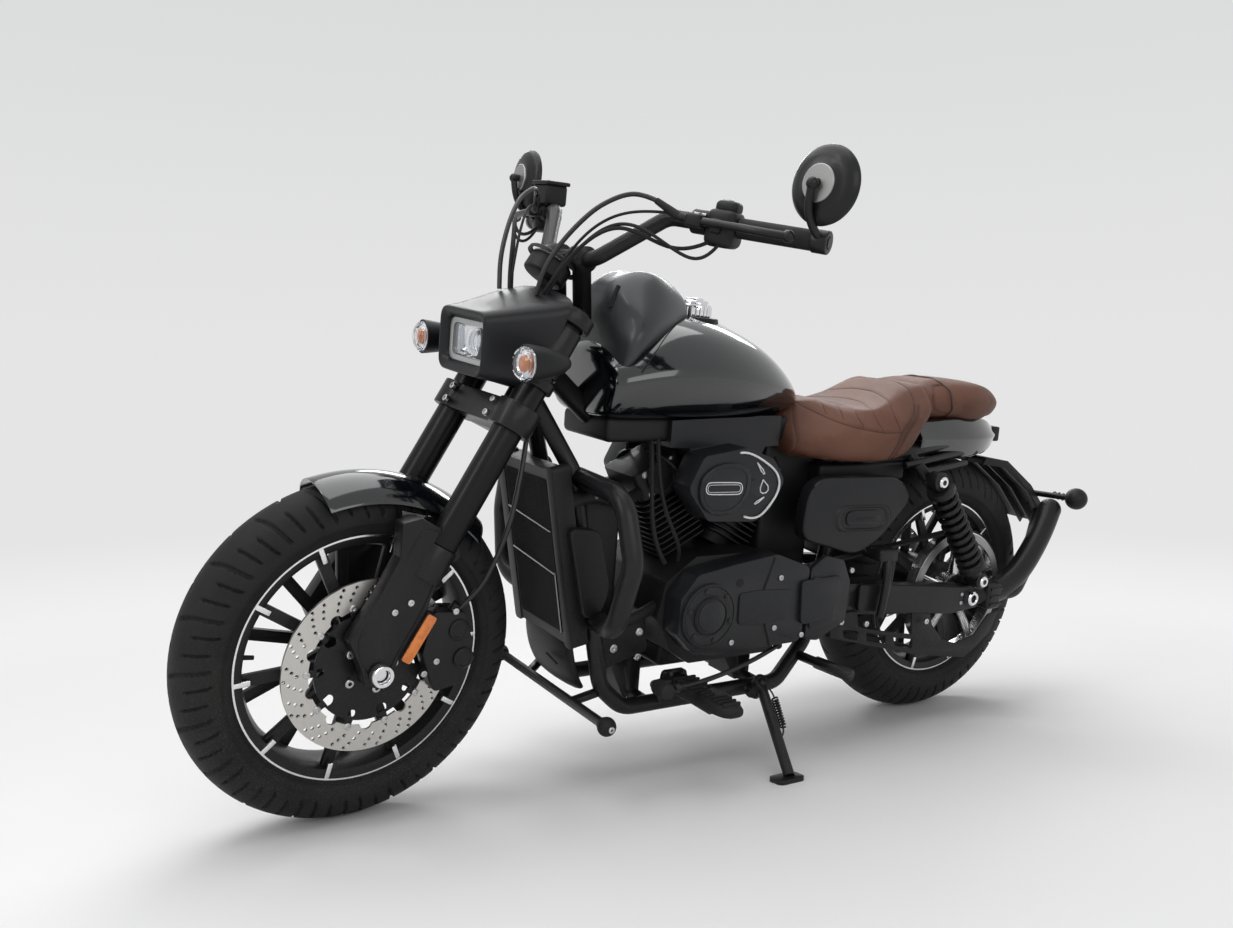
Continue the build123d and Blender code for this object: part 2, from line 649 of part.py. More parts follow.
AIRBOX_HALF = 97.0
AIRBOX_OUTLINE = [            # (x, z): over the cylinder heads and down between them
    (562, 716), (828, 716), (828, 656), (783, 654), (757, 604), (623, 604), (597, 654), (562, 656),
]


def make_airbox_covers(frame, tank):
    """Air filter box under the tank with its two side covers."""
    outline = [(821, 587), (790, 648), (688, 663), (622, 640), (590, 596), (622, 540), (659, 518), (770, 524)]
    left = side_plate(outline, AIRBOX_HALF - 1, 156, 18)
    left += Pos(0, 155, 0) * Rot(90, 0, 0) * Pos(700, 588, 0) * extrude(SlotCenterToCenter(60, 26), -8)
    right = side_plate(outline, -150, 1 - AIRBOX_HALF, 18)
    box = side_plate(AIRBOX_OUTLINE, -AIRBOX_HALF, AIRBOX_HALF) - tank - frame
    return left + box + right


def radiator_plane():
    top, low = Vector(1068, 0, 622), Vector(1006, 0, 296)
    return top, low


def make_radiator():
    top, low = radiator_plane()
    way = (top - low)
    plane = Plane((top + low) / 2, x_dir=(0, 1, 0), z_dir=Vector(way.Z, 0, -way.X))
    core = extrude(plane * Rectangle(176, way.length), 16, both=True)
    for y in (98, -98):
        core += extrude(plane * Pos(y, 0) * RectangleRounded(26, way.length + 12, 8), 18, both=True)
    opening = extrude(plane * Rectangle(160, way.length - 40), 20)
    pocket = opening - extrude(plane * Rectangle(200, way.length), 8)
    return core - pocket


def make_grille():
    top, low = radiator_plane()
    way = (top - low)
    plane = Plane((top + low) / 2, x_dir=(0, 1, 0), z_dir=Vector(way.Z, 0, -way.X))
    length = way.length - 41
    body = extrude((plane.offset(12)) * (Rectangle(159, length) - Rectangle(151, length - 8)), 3)
    rows = 14
    for number in range(1, rows):
        body += extrude(plane.offset(12) * Pos(0, (number / rows - 0.5) * length) * Rectangle(153, 3), 3)
    for number in range(1, 6):
        body += extrude(plane.offset(12) * Pos((number / 6 - 0.5) * 159, 0) * Rectangle(3, length - 6), 3)
    return body


def make_belly_spoiler(frame):
    outline = [(1034, 276), (1020, 228), (978, 190), (972, 214), (990, 268)]
    return side_plate(outline, -86, 86, 5) - frame


def make_crash_guard(frame):
    left = tube(
        [(1006, 66, 600), (1000, 214, 592), (994, 250, 480), (1000, 214, 352), (966, 92, 334)],
        GUARD_R, 60,
    )
    cross = rod((1000, -206, 176), (1000, 206, 176), 9)
    for y in (206, -206):
        cross += rod((1000, y - 5, 176), (1000, y + 5, 176), 14)
    for y in (FRAME_HALF, -FRAME_HALF):
        cross += rod((1000, y * 0.8, 176), (958, y, 196), 9)
    return [left - frame, mirrored(left) - frame, cross - frame]


def make_exhaust(frame, cylinders):
    body = tube(
        [
            (806, -60, 560), (880, -92, 540), (924, -132, 420), (905, -148, 300), (820, -156, 268),
            (620, -178, 262), (500, -188, 255),
        ],
        21, 70,
    )
    header = tube([(572, -50, 560), (560, -140, 545), (552, -168, 440), (512, -186, 340), (486, -189, 262)], 19, 60)
    start, end = Vector(512, -187, 256), Vector(-84, -221, 273)
    length = (end - start).length
    profile = [
        (0, 0), (26, 0), (31, 14), (31, 70), (MUFFLER_R, 150), (MUFFLER_R, length - 22),
        (32, length), (24, length), (24, length - 60), (0, length - 60),
    ]
    silencer = revolve(make_face(Polyline(*[Vector(r, y) for r, y in profile], close=True)), Axis.Y)
    plane = Plane(start, x_dir=Vector(0, 1, 0).cross(end - start), z_dir=end - start)
    body = body + plane * (Rot(90, 0, 0) * silencer) + header
    return body - frame - cylinders


# ---------------------------------------------------------------- bodywork
TANK_ROWS = [                 # x, low, high, bottom, belly, top, belly z, corner
    (484, 726, 764, 26, 44, 20, 744, 9),
    (560, 716, 828, 78, 104, 36, 765, 16),
    (700, 712, 893, 116, 146, 52, 790, 22),
    (850, 706, 900, 122, 150, 60, 796, 22),
    (978, 704, 842, 98, 116, 56, 770, 18),
]
COWL_ROWS = [
    (704, 860, 925, 46, 56, 22, 890, 12),
    (800, 850, 984, 84, 92, 30, 900, 18),
    (905, 836, 974, 96, 100, 36, 890, 18),
    (962, 826, 930, 70, 78, 38, 876, 14),
]
SEAT_ROWS = [
    (546, 636, 704, 104, 122, 70, 660, 16),
    (490, 624, 748, 128, 148, 70, 672, 20),
    (391, 618, 730, 138, 158, 104, 680, 22),
    (260, 622, 748, 132, 166, 118, 700, 24),
    (160, 690, 790, 100, 140, 100, 740, 22),
]
PILLION_ROWS = [
    (156, 706, 786, 84, 100, 80, 750, 16),
    (40, 700, 790, 84, 104, 76, 750, 18),
    (-90, 700, 780, 76, 96, 66, 745, 18),
    (-134, 716, 762, 56, 72, 46, 742, 12),
]
TAIL_ROWS = [
    (148, 616, 700, 90, 98, 74, 664, 10),
    (60, 616, 706, 92, 98, 76, 664, 10),
    (-80, 622, 706, 78, 86, 60, 664, 10),
    (-164, 648, 680, 34, 44, 26, 664, 6),
]
CAP_AT = (728.0, 0.0)
CAP_R = 30.0


def make_tank():
    body = hull_loft(TANK_ROWS) - spine(SPINE_R + FIT)
    return body - rod((CAP_AT[0], CAP_AT[1], 886), (CAP_AT[0], CAP_AT[1], 960), CAP_R + FIT)


def make_cowl(tank):
    body = hull_loft(COWL_ROWS) - tank
    return body - rod((CAP_AT[0], CAP_AT[1], 800), (CAP_AT[0], CAP_AT[1], 1000), CAP_R + 6)


def make_cap():
    x, y = CAP_AT
    body = rod((x, y, 886 + FIT), (x, y, 904), CAP_R) + rod((x, y, 903), (x, y, 912), CAP_R - 8)
    return fillet(body.edges().group_by(Axis.Z)[-1], 3)


def make_seat(tank):
    cavity = block((100, 534), (-112, 112), (560, 692))
    return hull_loft(SEAT_ROWS) - cavity - spine(SPINE_R + 2) - tank


def make_side_covers(frame):
    outline = [(501, 600), (267, 592), (222, 547), (312, 461), (384, 424), (530, 470), (527, 560)]
    left = side_plate(outline, 122, 158, 16)
    left += side_plate([(420, 545), (290, 545), (290, 500), (420, 500)], 150, 164, 20)
    left += rod((362, FRAME_REAR_HALF + TUBE_R - 3, 515), (362, 124, 515), 9)
    return both(left - frame)


def make_tail(frame, seat):
    body = hull_loft(TAIL_ROWS)
    wheel_room = turned([(0, -84), (REAR_R + 22, -84), (REAR_R + 22, 84), (0, 84)], REAR_AXLE)
    return body - wheel_room - frame - seat


def make_tail_lamp(fender):
    body = block((-186, -166), (-34, 34), (650, 676), 4)
    return body + block((-170, -150), (-20, 20), (656, 670)) - fender


HUGGER_RUN = [(-112.0, 612.0), (-190.0, 602.0), (-290.0, 540.0), (-392.0, 440.0)]
HUGGER_HALF = 68.0
PLATE_PITCH = 60.0
PLATE_HOLE_R = 3.5
PLATE_AT = ((HUGGER_RUN[2][0] + HUGGER_RUN[3][0]) / 2, 0.0, (HUGGER_RUN[2][1] + HUGGER_RUN[3][1]) / 2)
PLATE_NORMAL = (HUGGER_RUN[3][1] - HUGGER_RUN[2][1], 0.0, HUGGER_RUN[2][0] - HUGGER_RUN[3][0])


def make_hugger(swingarm):
    inner = [(x + 4, z - 6) for x, z in HUGGER_RUN]
    strip = side_plate(HUGGER_RUN + inner[::-1], -HUGGER_HALF, HUGGER_HALF)
    deep = [(x + 11, z - 16) for x, z in HUGGER_RUN]
    for y in (HUGGER_HALF - 5, -HUGGER_HALF, 16, -20):
        strip += side_plate(HUGGER_RUN + deep[::-1], y, y + (5 if abs(y) > 40 else 4))
    out = Vector(*PLATE_NORMAL).normalized() * 12
    for y in (PLATE_PITCH / 2, -PLATE_PITCH / 2):
        hole = Vector(*PLATE_AT) + Vector(0, y, 0)
        strip -= rod(hole - out, hole + out, PLATE_HOLE_R)
    arm = tube([(-10, 150, REAR_R), (-150, 158, 312), (-260, 110, 372), (-344, 66, 470)], 20, 60)
    return strip + arm - swingarm


def make_rear_signals(hugger):
    left = rod((-318, 40, 516), (-345, 150, 520), 7)
    left += Pos(-348, 156, 520) * Sphere(26)
    return both(left - hugger)


def make_rear_caliper():
    inner, outer = REAR_DISC_Y + DISC_T / 2 + CLEAR, REAR_DISC_Y - DISC_T / 2 - CLEAR
    body = block((92, 150), (ARM_T / 2 + FIT - ARM_HALF, inner + 8), (REAR_R + 24, REAR_R + 96), 5)
    slot = turned([(0, outer), (REAR_DISC_R + CLEAR, outer), (REAR_DISC_R + CLEAR, inner), (0, inner)], REAR_AXLE)
    return body - slot


GUARD_PLATE_T = 4.0
GUARD_OUTLINE = [             # (x, z): tab, long strip, second tab, scoop below the pulley
    (423, 306), (347, 306), (340, 271), (305, 261), (172, 235), (178, 287), (120, 281), (109, 252),
    (68, 211), (19, 197), (-40, 211), (-81, 256), (-118, 262), (-94, 212), (-52, 180), (-14, 160),
    (49, 168), (160, 188), (419, 255),
]
GUARD_WINDOWS = [
    [(383, 269), (337, 260), (340, 240), (379, 250)],
    [(313, 254), (252, 241), (249, 222), (309, 235)],
    [(227, 234), (167, 223), (165, 202), (220, 213)],
]


def make_belt_guard():
    face = ARM_HALF + ARM_T / 2 + FIT
    body = side_plate(GUARD_OUTLINE, face, face + GUARD_PLATE_T)
    for window in GUARD_WINDOWS:
        body -= side_plate(window, face - 1, face + GUARD_PLATE_T + 1)
    return body


def make_belt():
    outer_rear, outer_front = REAR_PULLEY_R + BELT_T, FRONT_PULLEY_R + BELT_T
    front = (FRONT_PULLEY_X, CRANK_Z)
    rear = (0.0, REAR_R)
    span = hypot(front[0] - rear[0], front[1] - rear[1])
    tilt = degrees(atan2(front[1] - rear[1], front[0] - rear[0]))
    spread = degrees(acos((REAR_PULLEY_R - FRONT_PULLEY_R) / span))

    def loop(radius_rear, radius_front):
        points = []
        for centre, radius, begin, end in (
            (rear, radius_rear, tilt + spread, tilt + 360 - spread),
            (front, radius_front, tilt - spread, tilt + spread),
        ):
            middle = (begin + end) / 2
            points.append([
                (centre[0] + radius * cos(radians(a)), centre[1] + radius * sin(radians(a)))
                for a in (begin, middle, end)
            ])
        arc_rear = ThreePointArc(*points[0])
        arc_front = ThreePointArc(*points[1])
        lines = [Line(arc_rear @ 1, arc_front @ 0), Line(arc_front @ 1, arc_rear @ 0)]
        return make_face([arc_rear, lines[0], arc_front, lines[1]])

    face = loop(outer_rear, outer_front) - loop(REAR_PULLEY_R + FIT, FRONT_PULLEY_R + FIT)
    plane = Plane((0, BELT_Y + BELT_W / 2, 0), x_dir=(1, 0, 0), z_dir=(0, -1, 0))
    return extrude(plane * face, BELT_W)


def make_pulley():
    low, high = BELT_Y - BELT_W / 2 - 2, BELT_Y + BELT_W / 2 + 2
    ring = turned([(REAR_PULLEY_R - 14, low), (REAR_PULLEY_R, low), (REAR_PULLEY_R, high), (REAR_PULLEY_R - 14, high)], REAR_AXLE)
    hub_low = REAR_HUB_HALF + FIT
    hub = turned([(REAR_AXLE_R + 8, hub_low), (46, hub_low), (46, high - 6), (REAR_AXLE_R + 8, high - 6)], REAR_AXLE)
    body = ring + hub
    for number in range(5):
        arm = block((42, REAR_PULLEY_R - 12), (low + 4, high - 8), (-11, 11))
        body += Pos(REAR_AXLE) * Rot(0, -number * 72 - 20, 0) * arm
    return body


# ---------------------------------------------------------------- controls and stand
def make_foot_controls(frame):
    left = rod((790, FRAME_HALF, 192), (790, 132, 206), 14) + rod((790, 128, 206), (782, 262, 212), 15)
    left += tube([(796, 140, 212), (880, 176, 226), (908, 236, 244)], 8, 24)
    left += rod((905, 228, 242), (911, 262, 246), 12)
    hanger = FRAME_HALF + TUBE_R
    left += side_plate([(750, 162), (830, 162), (818, 224), (768, 224)], hanger - 8, hanger + 4, 8)
    left += side_plate([(775, 200), (806, 200), (806, 184), (775, 184)], 140, 252, 3)
    rear = rod((452, 92, 204), (444, 150, 203), 10) + rod((444, 146, 203), (440, 240, 206), 13)
    return [piece - frame for piece in both(left) + both(rear)]


def make_control_cables(caliper, clamps):
    left = tube(
        [(944, 186, 1102), (1000, 150, 1112), (1072, 96, 1050), (1112, 62, 965), (1118, 54, 925)], 4, 60,
    )
    right = tube(
        [(944, -186, 1102), (1004, -156, 1116), (1080, -110, 1056), (1118, -74, 970), (1122, -64, 925)], 4, 60,
    )
    hose = tube([(1262, 100, 380), (1216, 118, 440), (1172, 122, 560), (1139, 96, 700)], HOSE_R, 40)
    return [left, right, hose - caliper - clamps]


# ---------------------------------------------------------------- parked pose
def lowest_of_tyre(centre, axle, outer_r, crown):
    """Lowest point of a tilted tyre whose tread is a circular arc."""
    return centre.Z - ((outer_r - crown) * sqrt(1 - axle.Z**2) + crown)


STEERED = Location(STEER_FOOT) * Location(Plane((0, 0, 0), x_dir=STEER_FWD, z_dir=STEER_DIR))
STEERED = STEERED * Rot(0, 0, STEER_REST) * STEERED.inverse()


def parked_location():
    """Lean, then pitch and lift until both tyres touch the floor."""
    lift, pitch = 0.0, 0.0
    place = Pos(0, 0, 0)
    for _ in range(6):
        place = Pos(0, 0, lift) * Rot(0, pitch, 0) * Rot(-LEAN, 0, 0)
        lows = []
        for turn, axle, outer_r, crown in (
            (Pos(0, 0, 0), REAR_AXLE, REAR_R, REAR_CROWN),
            (STEERED, FRONT_AXLE, FRONT_R, FRONT_CROWN),
        ):
            moved = place * turn
            centre = (moved * Pos(axle)).position
            side = (moved * Pos(axle + Vector(0, 1, 0))).position - centre
            lows.append(lowest_of_tyre(centre, side, outer_r, crown))
        lift -= lows[0]
        pitch += degrees((lows[1] - lows[0]) / WHEELBASE)
    return place


PARKED = parked_location()


def parked_point(point, steered=False):
    """Where a point of the upright machine lies once it is parked."""
    turn = PARKED * STEERED if steered else PARKED
    return (turn * Pos(*point)).position


def stand_axis(upright=False):
    """Folding axis of the side stand, square to its leg both down and folded."""
    pivot = parked_point(STAND_PIVOT)
    down = Vector(STAND_FOOT[0], STAND_FOOT[1], STAND_FOOT_T) - pivot
    folded = parked_point((-1, 0.12, -0.12)) - parked_point((0, 0, 0))
    axis = down.cross(folded).normalized()
    if upright:
        back = PARKED.inverse()
        axis = (back * Pos(axis)).position - (back * Pos(0, 0, 0)).position
    return axis


def make_side_stand():
    pivot = parked_point(STAND_PIVOT)
    foot = Vector(STAND_FOOT[0], STAND_FOOT[1], STAND_FOOT_T)
    leg = rod(pivot, foot, STAND_R)
    pad = Pos(foot.X + 6, foot.Y, 0) * extrude(RectangleRounded(64, 40, 12), STAND_FOOT_T)
    leg -= block((-500, 2000), (-500, 1000), (-100, 0))
    axis = stand_axis()
    body = leg + pad + rod(pivot - axis * 9, pivot + axis * 9, 18)
    return body - rod(pivot - axis * 30, pivot + axis * 30, STUD_R + FIT)


def make_parts():
    """All nodes: name, body and solids, in the parked frame before the last shift."""
    tank = make_tank()
    frame = make_frame()
    case = make_engine_case() - frame
    cylinders = make_engine_cylinders(case)
    seat = make_seat(tank)
    fender = make_tail(frame, seat)
    swingarm = make_swingarm()
    hugger = make_hugger(swingarm)
    fork_lowers = make_fork_lowers()
    caliper = make_front_caliper(fork_lowers)
    clamps = make_triple_clamps()
    root = {
        "frame": frame,
        "engine_case": case,
        "engine_cylinders": cylinders,
        "engine_cover": make_engine_cover(),
        "belt_cover": make_belt_cover(),
        "airbox_covers": make_airbox_covers(frame, tank),
        "radiator": make_radiator(),
        "radiator_grille": make_grille(),
        "belly_spoiler": make_belly_spoiler(frame),
        "crash_guard": make_crash_guard(frame),
        "exhaust": make_exhaust(frame, cylinders),
        "fuel_tank": tank,
        "tank_cowl": make_cowl(tank),
        "fuel_cap": make_cap(),
        "seat": seat,
        "pillion_pad": hull_loft(PILLION_ROWS) - fender - seat,
        "side_covers": make_side_covers(frame),
        "rear_fender": fender,
        "tail_lamp": make_tail_lamp(fender),
        "swingarm": swingarm,
        "shock_absorbers": make_shocks(),
        "belt_guard": make_belt_guard(),
        "drive_belt": make_belt(),
        "rear_hugger": hugger,
        "rear_signals": make_rear_signals(hugger),
        "rear_caliper": make_rear_caliper(),
        "foot_controls": make_foot_controls(frame),
    }
    steering = {
        "fork_tubes": make_fork_tubes(),
        "fork_lowers": fork_lowers,
        "triple_clamps": clamps,
        "headlamp_nacelle": make_nacelle(),
        "headlamp_lens": make_lens(),
        "front_signals": make_front_signals(),
        "handlebar": make_handlebar(),
        "grips": make_grips(),
        "hand_controls": make_hand_controls(),
        "mirrors": make_mirrors(),
        "front_fender": make_front_fender(),
        "front_caliper": caliper,
        "gauge": make_gauge(),
        "control_cables": make_control_cables(caliper, clamps),
    }
    front_wheel = {
        "front_tyre": tyre(FRONT_AXLE, FRONT_R, FRONT_CROWN, FRONT_BEAD, FRONT_RIM_HALF),
        "front_rim": rim(
            FRONT_AXLE, FRONT_BEAD, FRONT_RIM_HALF, FRONT_HUB_R, FRONT_HUB_HALF, FRONT_SPOKE_Y, AXLE_R + FIT,
        ),
        "front_disc": disc(FRONT_AXLE, DISC_R, DISC_BAND, DISC_T, DISC_Y, 58, AXLE_R + 8),
    }
    rear_wheel = {
        "rear_tyre": tyre(REAR_AXLE, REAR_R, REAR_CROWN, REAR_BEAD, REAR_RIM_HALF),
        "rear_rim": rim(
            REAR_AXLE, REAR_BEAD, REAR_RIM_HALF, REAR_HUB_R, REAR_HUB_HALF, REAR_SPOKE_Y, REAR_AXLE_R + FIT,
        ),
        "rear_pulley": make_pulley(),
        "rear_disc": disc(REAR_AXLE, REAR_DISC_R, 34, DISC_T, REAR_DISC_Y, 52, REAR_AXLE_R + 8),
    }
    groups = [
        (root, PARKED), (steering, PARKED * STEERED), (front_wheel, PARKED * STEERED), (rear_wheel, PARKED),
    ]
    placed = {}
    for nodes, place in groups:
        for name, shape in nodes.items():
            pieces = shape if isinstance(shape, list) else [shape]
            solids = [solid for piece in pieces for solid in piece.solids()]
            placed[name] = Compound([place * solid for solid in solids])
    placed["side_stand"] = Compound(make_side_stand().solids())
    return placed


PARTS = make_parts()
BOXES = [shape.bounding_box() for shape in PARTS.values()]
SHIFT = Vector(
    -(min(b.min.X for b in BOXES) + max(b.max.X for b in BOXES)) / 2,
    -(min(b.min.Y for b in BOXES) + max(b.max.Y for b in BOXES)) / 2,
    0,
)

os.makedirs("parts", exist_ok=True)
for node, shape in PARTS.items():
    export_step(Pos(SHIFT) * shape, f"parts/{node}.step")
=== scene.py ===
"""Looks of a low V-twin cruiser motorcycle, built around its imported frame.

Every piece is modelled in metres. Pieces that belong to the machine are laid out in its upright frame
(X forwards, Y to the rider's left, Z up, origin under the rear axle) and then set down with the lean and
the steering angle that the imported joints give.
"""

from __future__ import annotations

import json
import logging
import math
from dataclasses import Field, dataclass, field
from enum import Enum
from typing import Iterable, Sequence

import bmesh
import bpy
import numpy as np
from mathutils import Matrix, Vector
from mathutils.bvhtree import BVHTree
from mathutils.kdtree import KDTree

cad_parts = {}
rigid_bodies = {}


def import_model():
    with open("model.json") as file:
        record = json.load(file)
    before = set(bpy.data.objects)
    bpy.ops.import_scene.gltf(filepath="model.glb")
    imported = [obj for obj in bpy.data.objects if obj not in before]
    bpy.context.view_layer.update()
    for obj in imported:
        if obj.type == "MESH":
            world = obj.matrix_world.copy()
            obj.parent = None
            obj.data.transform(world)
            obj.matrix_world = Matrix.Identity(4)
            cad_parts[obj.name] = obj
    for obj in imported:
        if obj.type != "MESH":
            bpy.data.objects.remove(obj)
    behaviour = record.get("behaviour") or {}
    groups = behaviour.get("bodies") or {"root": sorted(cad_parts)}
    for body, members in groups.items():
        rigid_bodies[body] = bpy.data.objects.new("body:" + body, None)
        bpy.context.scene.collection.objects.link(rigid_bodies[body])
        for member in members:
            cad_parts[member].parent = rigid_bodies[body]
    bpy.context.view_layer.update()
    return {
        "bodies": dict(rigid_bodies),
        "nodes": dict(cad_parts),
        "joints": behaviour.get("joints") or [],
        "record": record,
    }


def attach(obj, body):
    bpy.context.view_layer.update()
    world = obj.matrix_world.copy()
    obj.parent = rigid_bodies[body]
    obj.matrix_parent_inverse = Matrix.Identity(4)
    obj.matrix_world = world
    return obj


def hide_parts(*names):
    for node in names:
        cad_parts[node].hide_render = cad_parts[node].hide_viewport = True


LOG = logging.getLogger("cruiser")
Rgb = tuple[float, float, float]
Point = Sequence[float]

# places in the upright frame that several pieces share
FRONT_AXLE = (1.4, 0.0, 0.3)
REAR_AXLE = (0.0, 0.0, 0.305)
BAR_END = (0.832, 0.422, 1.058)
BAR_WAY = (-0.4101, 0.9094, -0.0708)


def point(x: float, y: float, z: float, unit: bool = False) -> Field:
    """Returns a dataclass field that starts as this point, or as the direction to it."""
    return field(default_factory=lambda: Vector((x, y, z)).normalized() if unit else Vector((x, y, z)))


class Slot(Enum):
    """The record's material slots."""

    GLOSS = "gloss_black"
    SATIN = "satin_black"
    ENGINE = "engine_black"
    PLASTIC = "black_plastic"
    TYRE = "tyre"
    RUBBER = "black_rubber"
    LEATHER = "brown_leather"
    CHROME = "chrome"
    ALLOY = "machined_alloy"
    DISC = "disc_steel"
    CLEAR = "clear_lens"
    AMBER = "amber_lens"
    RED = "red_lens"
    MIRROR = "mirror_glass"


class Body(Enum):
    """The bodies that pieces ride on."""

    FRAME = "frame"
    STEERING = "steering"
    FRONT_WHEEL = "front_wheel"
    REAR_WHEEL = "rear_wheel"
    STAND = "side_stand"


# ------------------------------------------------------------------ shader tools
class Graph:
    """A short way to write a node tree."""

    def __init__(self, tree: bpy.types.NodeTree) -> None:
        """Keeps the tree that nodes are added to."""
        self.tree = tree

    def node(self, kind: str, inputs: dict | None = None, **props: object) -> bpy.types.Node:
        """Adds a node.

        Args:
            kind: Blender's node type.
            inputs: Socket name or number, and either a value or a socket to link from.
            props: Properties of the node itself.

        Returns:
            The new node.
        """
        made = self.tree.nodes.new(kind)
        for name, value in props.items():
            setattr(made, name, value)
        for key, value in (inputs or {}).items():
            if isinstance(value, bpy.types.NodeSocket):
                self.tree.links.new(value, made.inputs[key])
            else:
                made.inputs[key].default_value = value
        return made

    def math(self, operation: str, a: object, b: object = 0.0, c: object = 0.0) -> bpy.types.NodeSocket:
        """Returns the output of a Math node with these inputs."""
        return self.node("ShaderNodeMath", {0: a, 1: b, 2: c}, operation=operation).outputs[0]

    def blend(self, factor: object, a: object, b: object, mode: str = "MIX") -> bpy.types.NodeSocket:
        """Returns the colour output of a Mix node between a and b."""
        made = self.node("ShaderNodeMix", data_type="RGBA", blend_type=mode)
        for number, value in ((0, factor), (6, a), (7, b)):
            if isinstance(value, bpy.types.NodeSocket):
                self.tree.links.new(value, made.inputs[number])
            else:
                made.inputs[number].default_value = value
        return made.outputs[2]

    def ramp(self, value: object, low: float, high: float) -> bpy.types.NodeSocket:
        """Returns a smooth step of value, from 0 at low to 1 at high."""
        made = self.node("ShaderNodeMapRange", {0: value, 1: low, 2: high}, interpolation_type="SMOOTHSTEP")
        return made.outputs[0]

    def noise(
        self, vector: object, scale: object, detail: float = 3.0, rough: float = 0.55,
    ) -> bpy.types.NodeSocket:
        """Returns the value of a Noise texture at vector."""
        made = self.node(
            "ShaderNodeTexNoise", {"Vector": vector, "Scale": scale, "Detail": detail, "Roughness": rough}
        )
        return made.outputs[0]


def shader_group(name: str, takes: dict[str, tuple[str, object]], gives: dict[str, str]) -> tuple:
    """Starts a shader node group with named sockets.

    Args:
        name: The group's name.
        takes: Input name to socket type and default.
        gives: Output name to socket type.

    Returns:
        The tree, a Graph for it, its input sockets by name and its output node.
    """
    tree = bpy.data.node_groups.new(name, "ShaderNodeTree")
    for label, (kind, default) in takes.items():
        made = tree.interface.new_socket(label, in_out="INPUT", socket_type=kind)
        if default is not None:
            made.default_value = default
    for label, kind in gives.items():
        tree.interface.new_socket(label, in_out="OUTPUT", socket_type=kind)
    graph = Graph(tree)
    ports = graph.node("NodeGroupInput").outputs
    return tree, graph, {label: ports[label] for label in takes}, graph.node("NodeGroupOutput")


FLOAT, COLOUR, VECTOR = "NodeSocketFloat", "NodeSocketColor", "NodeSocketVector"


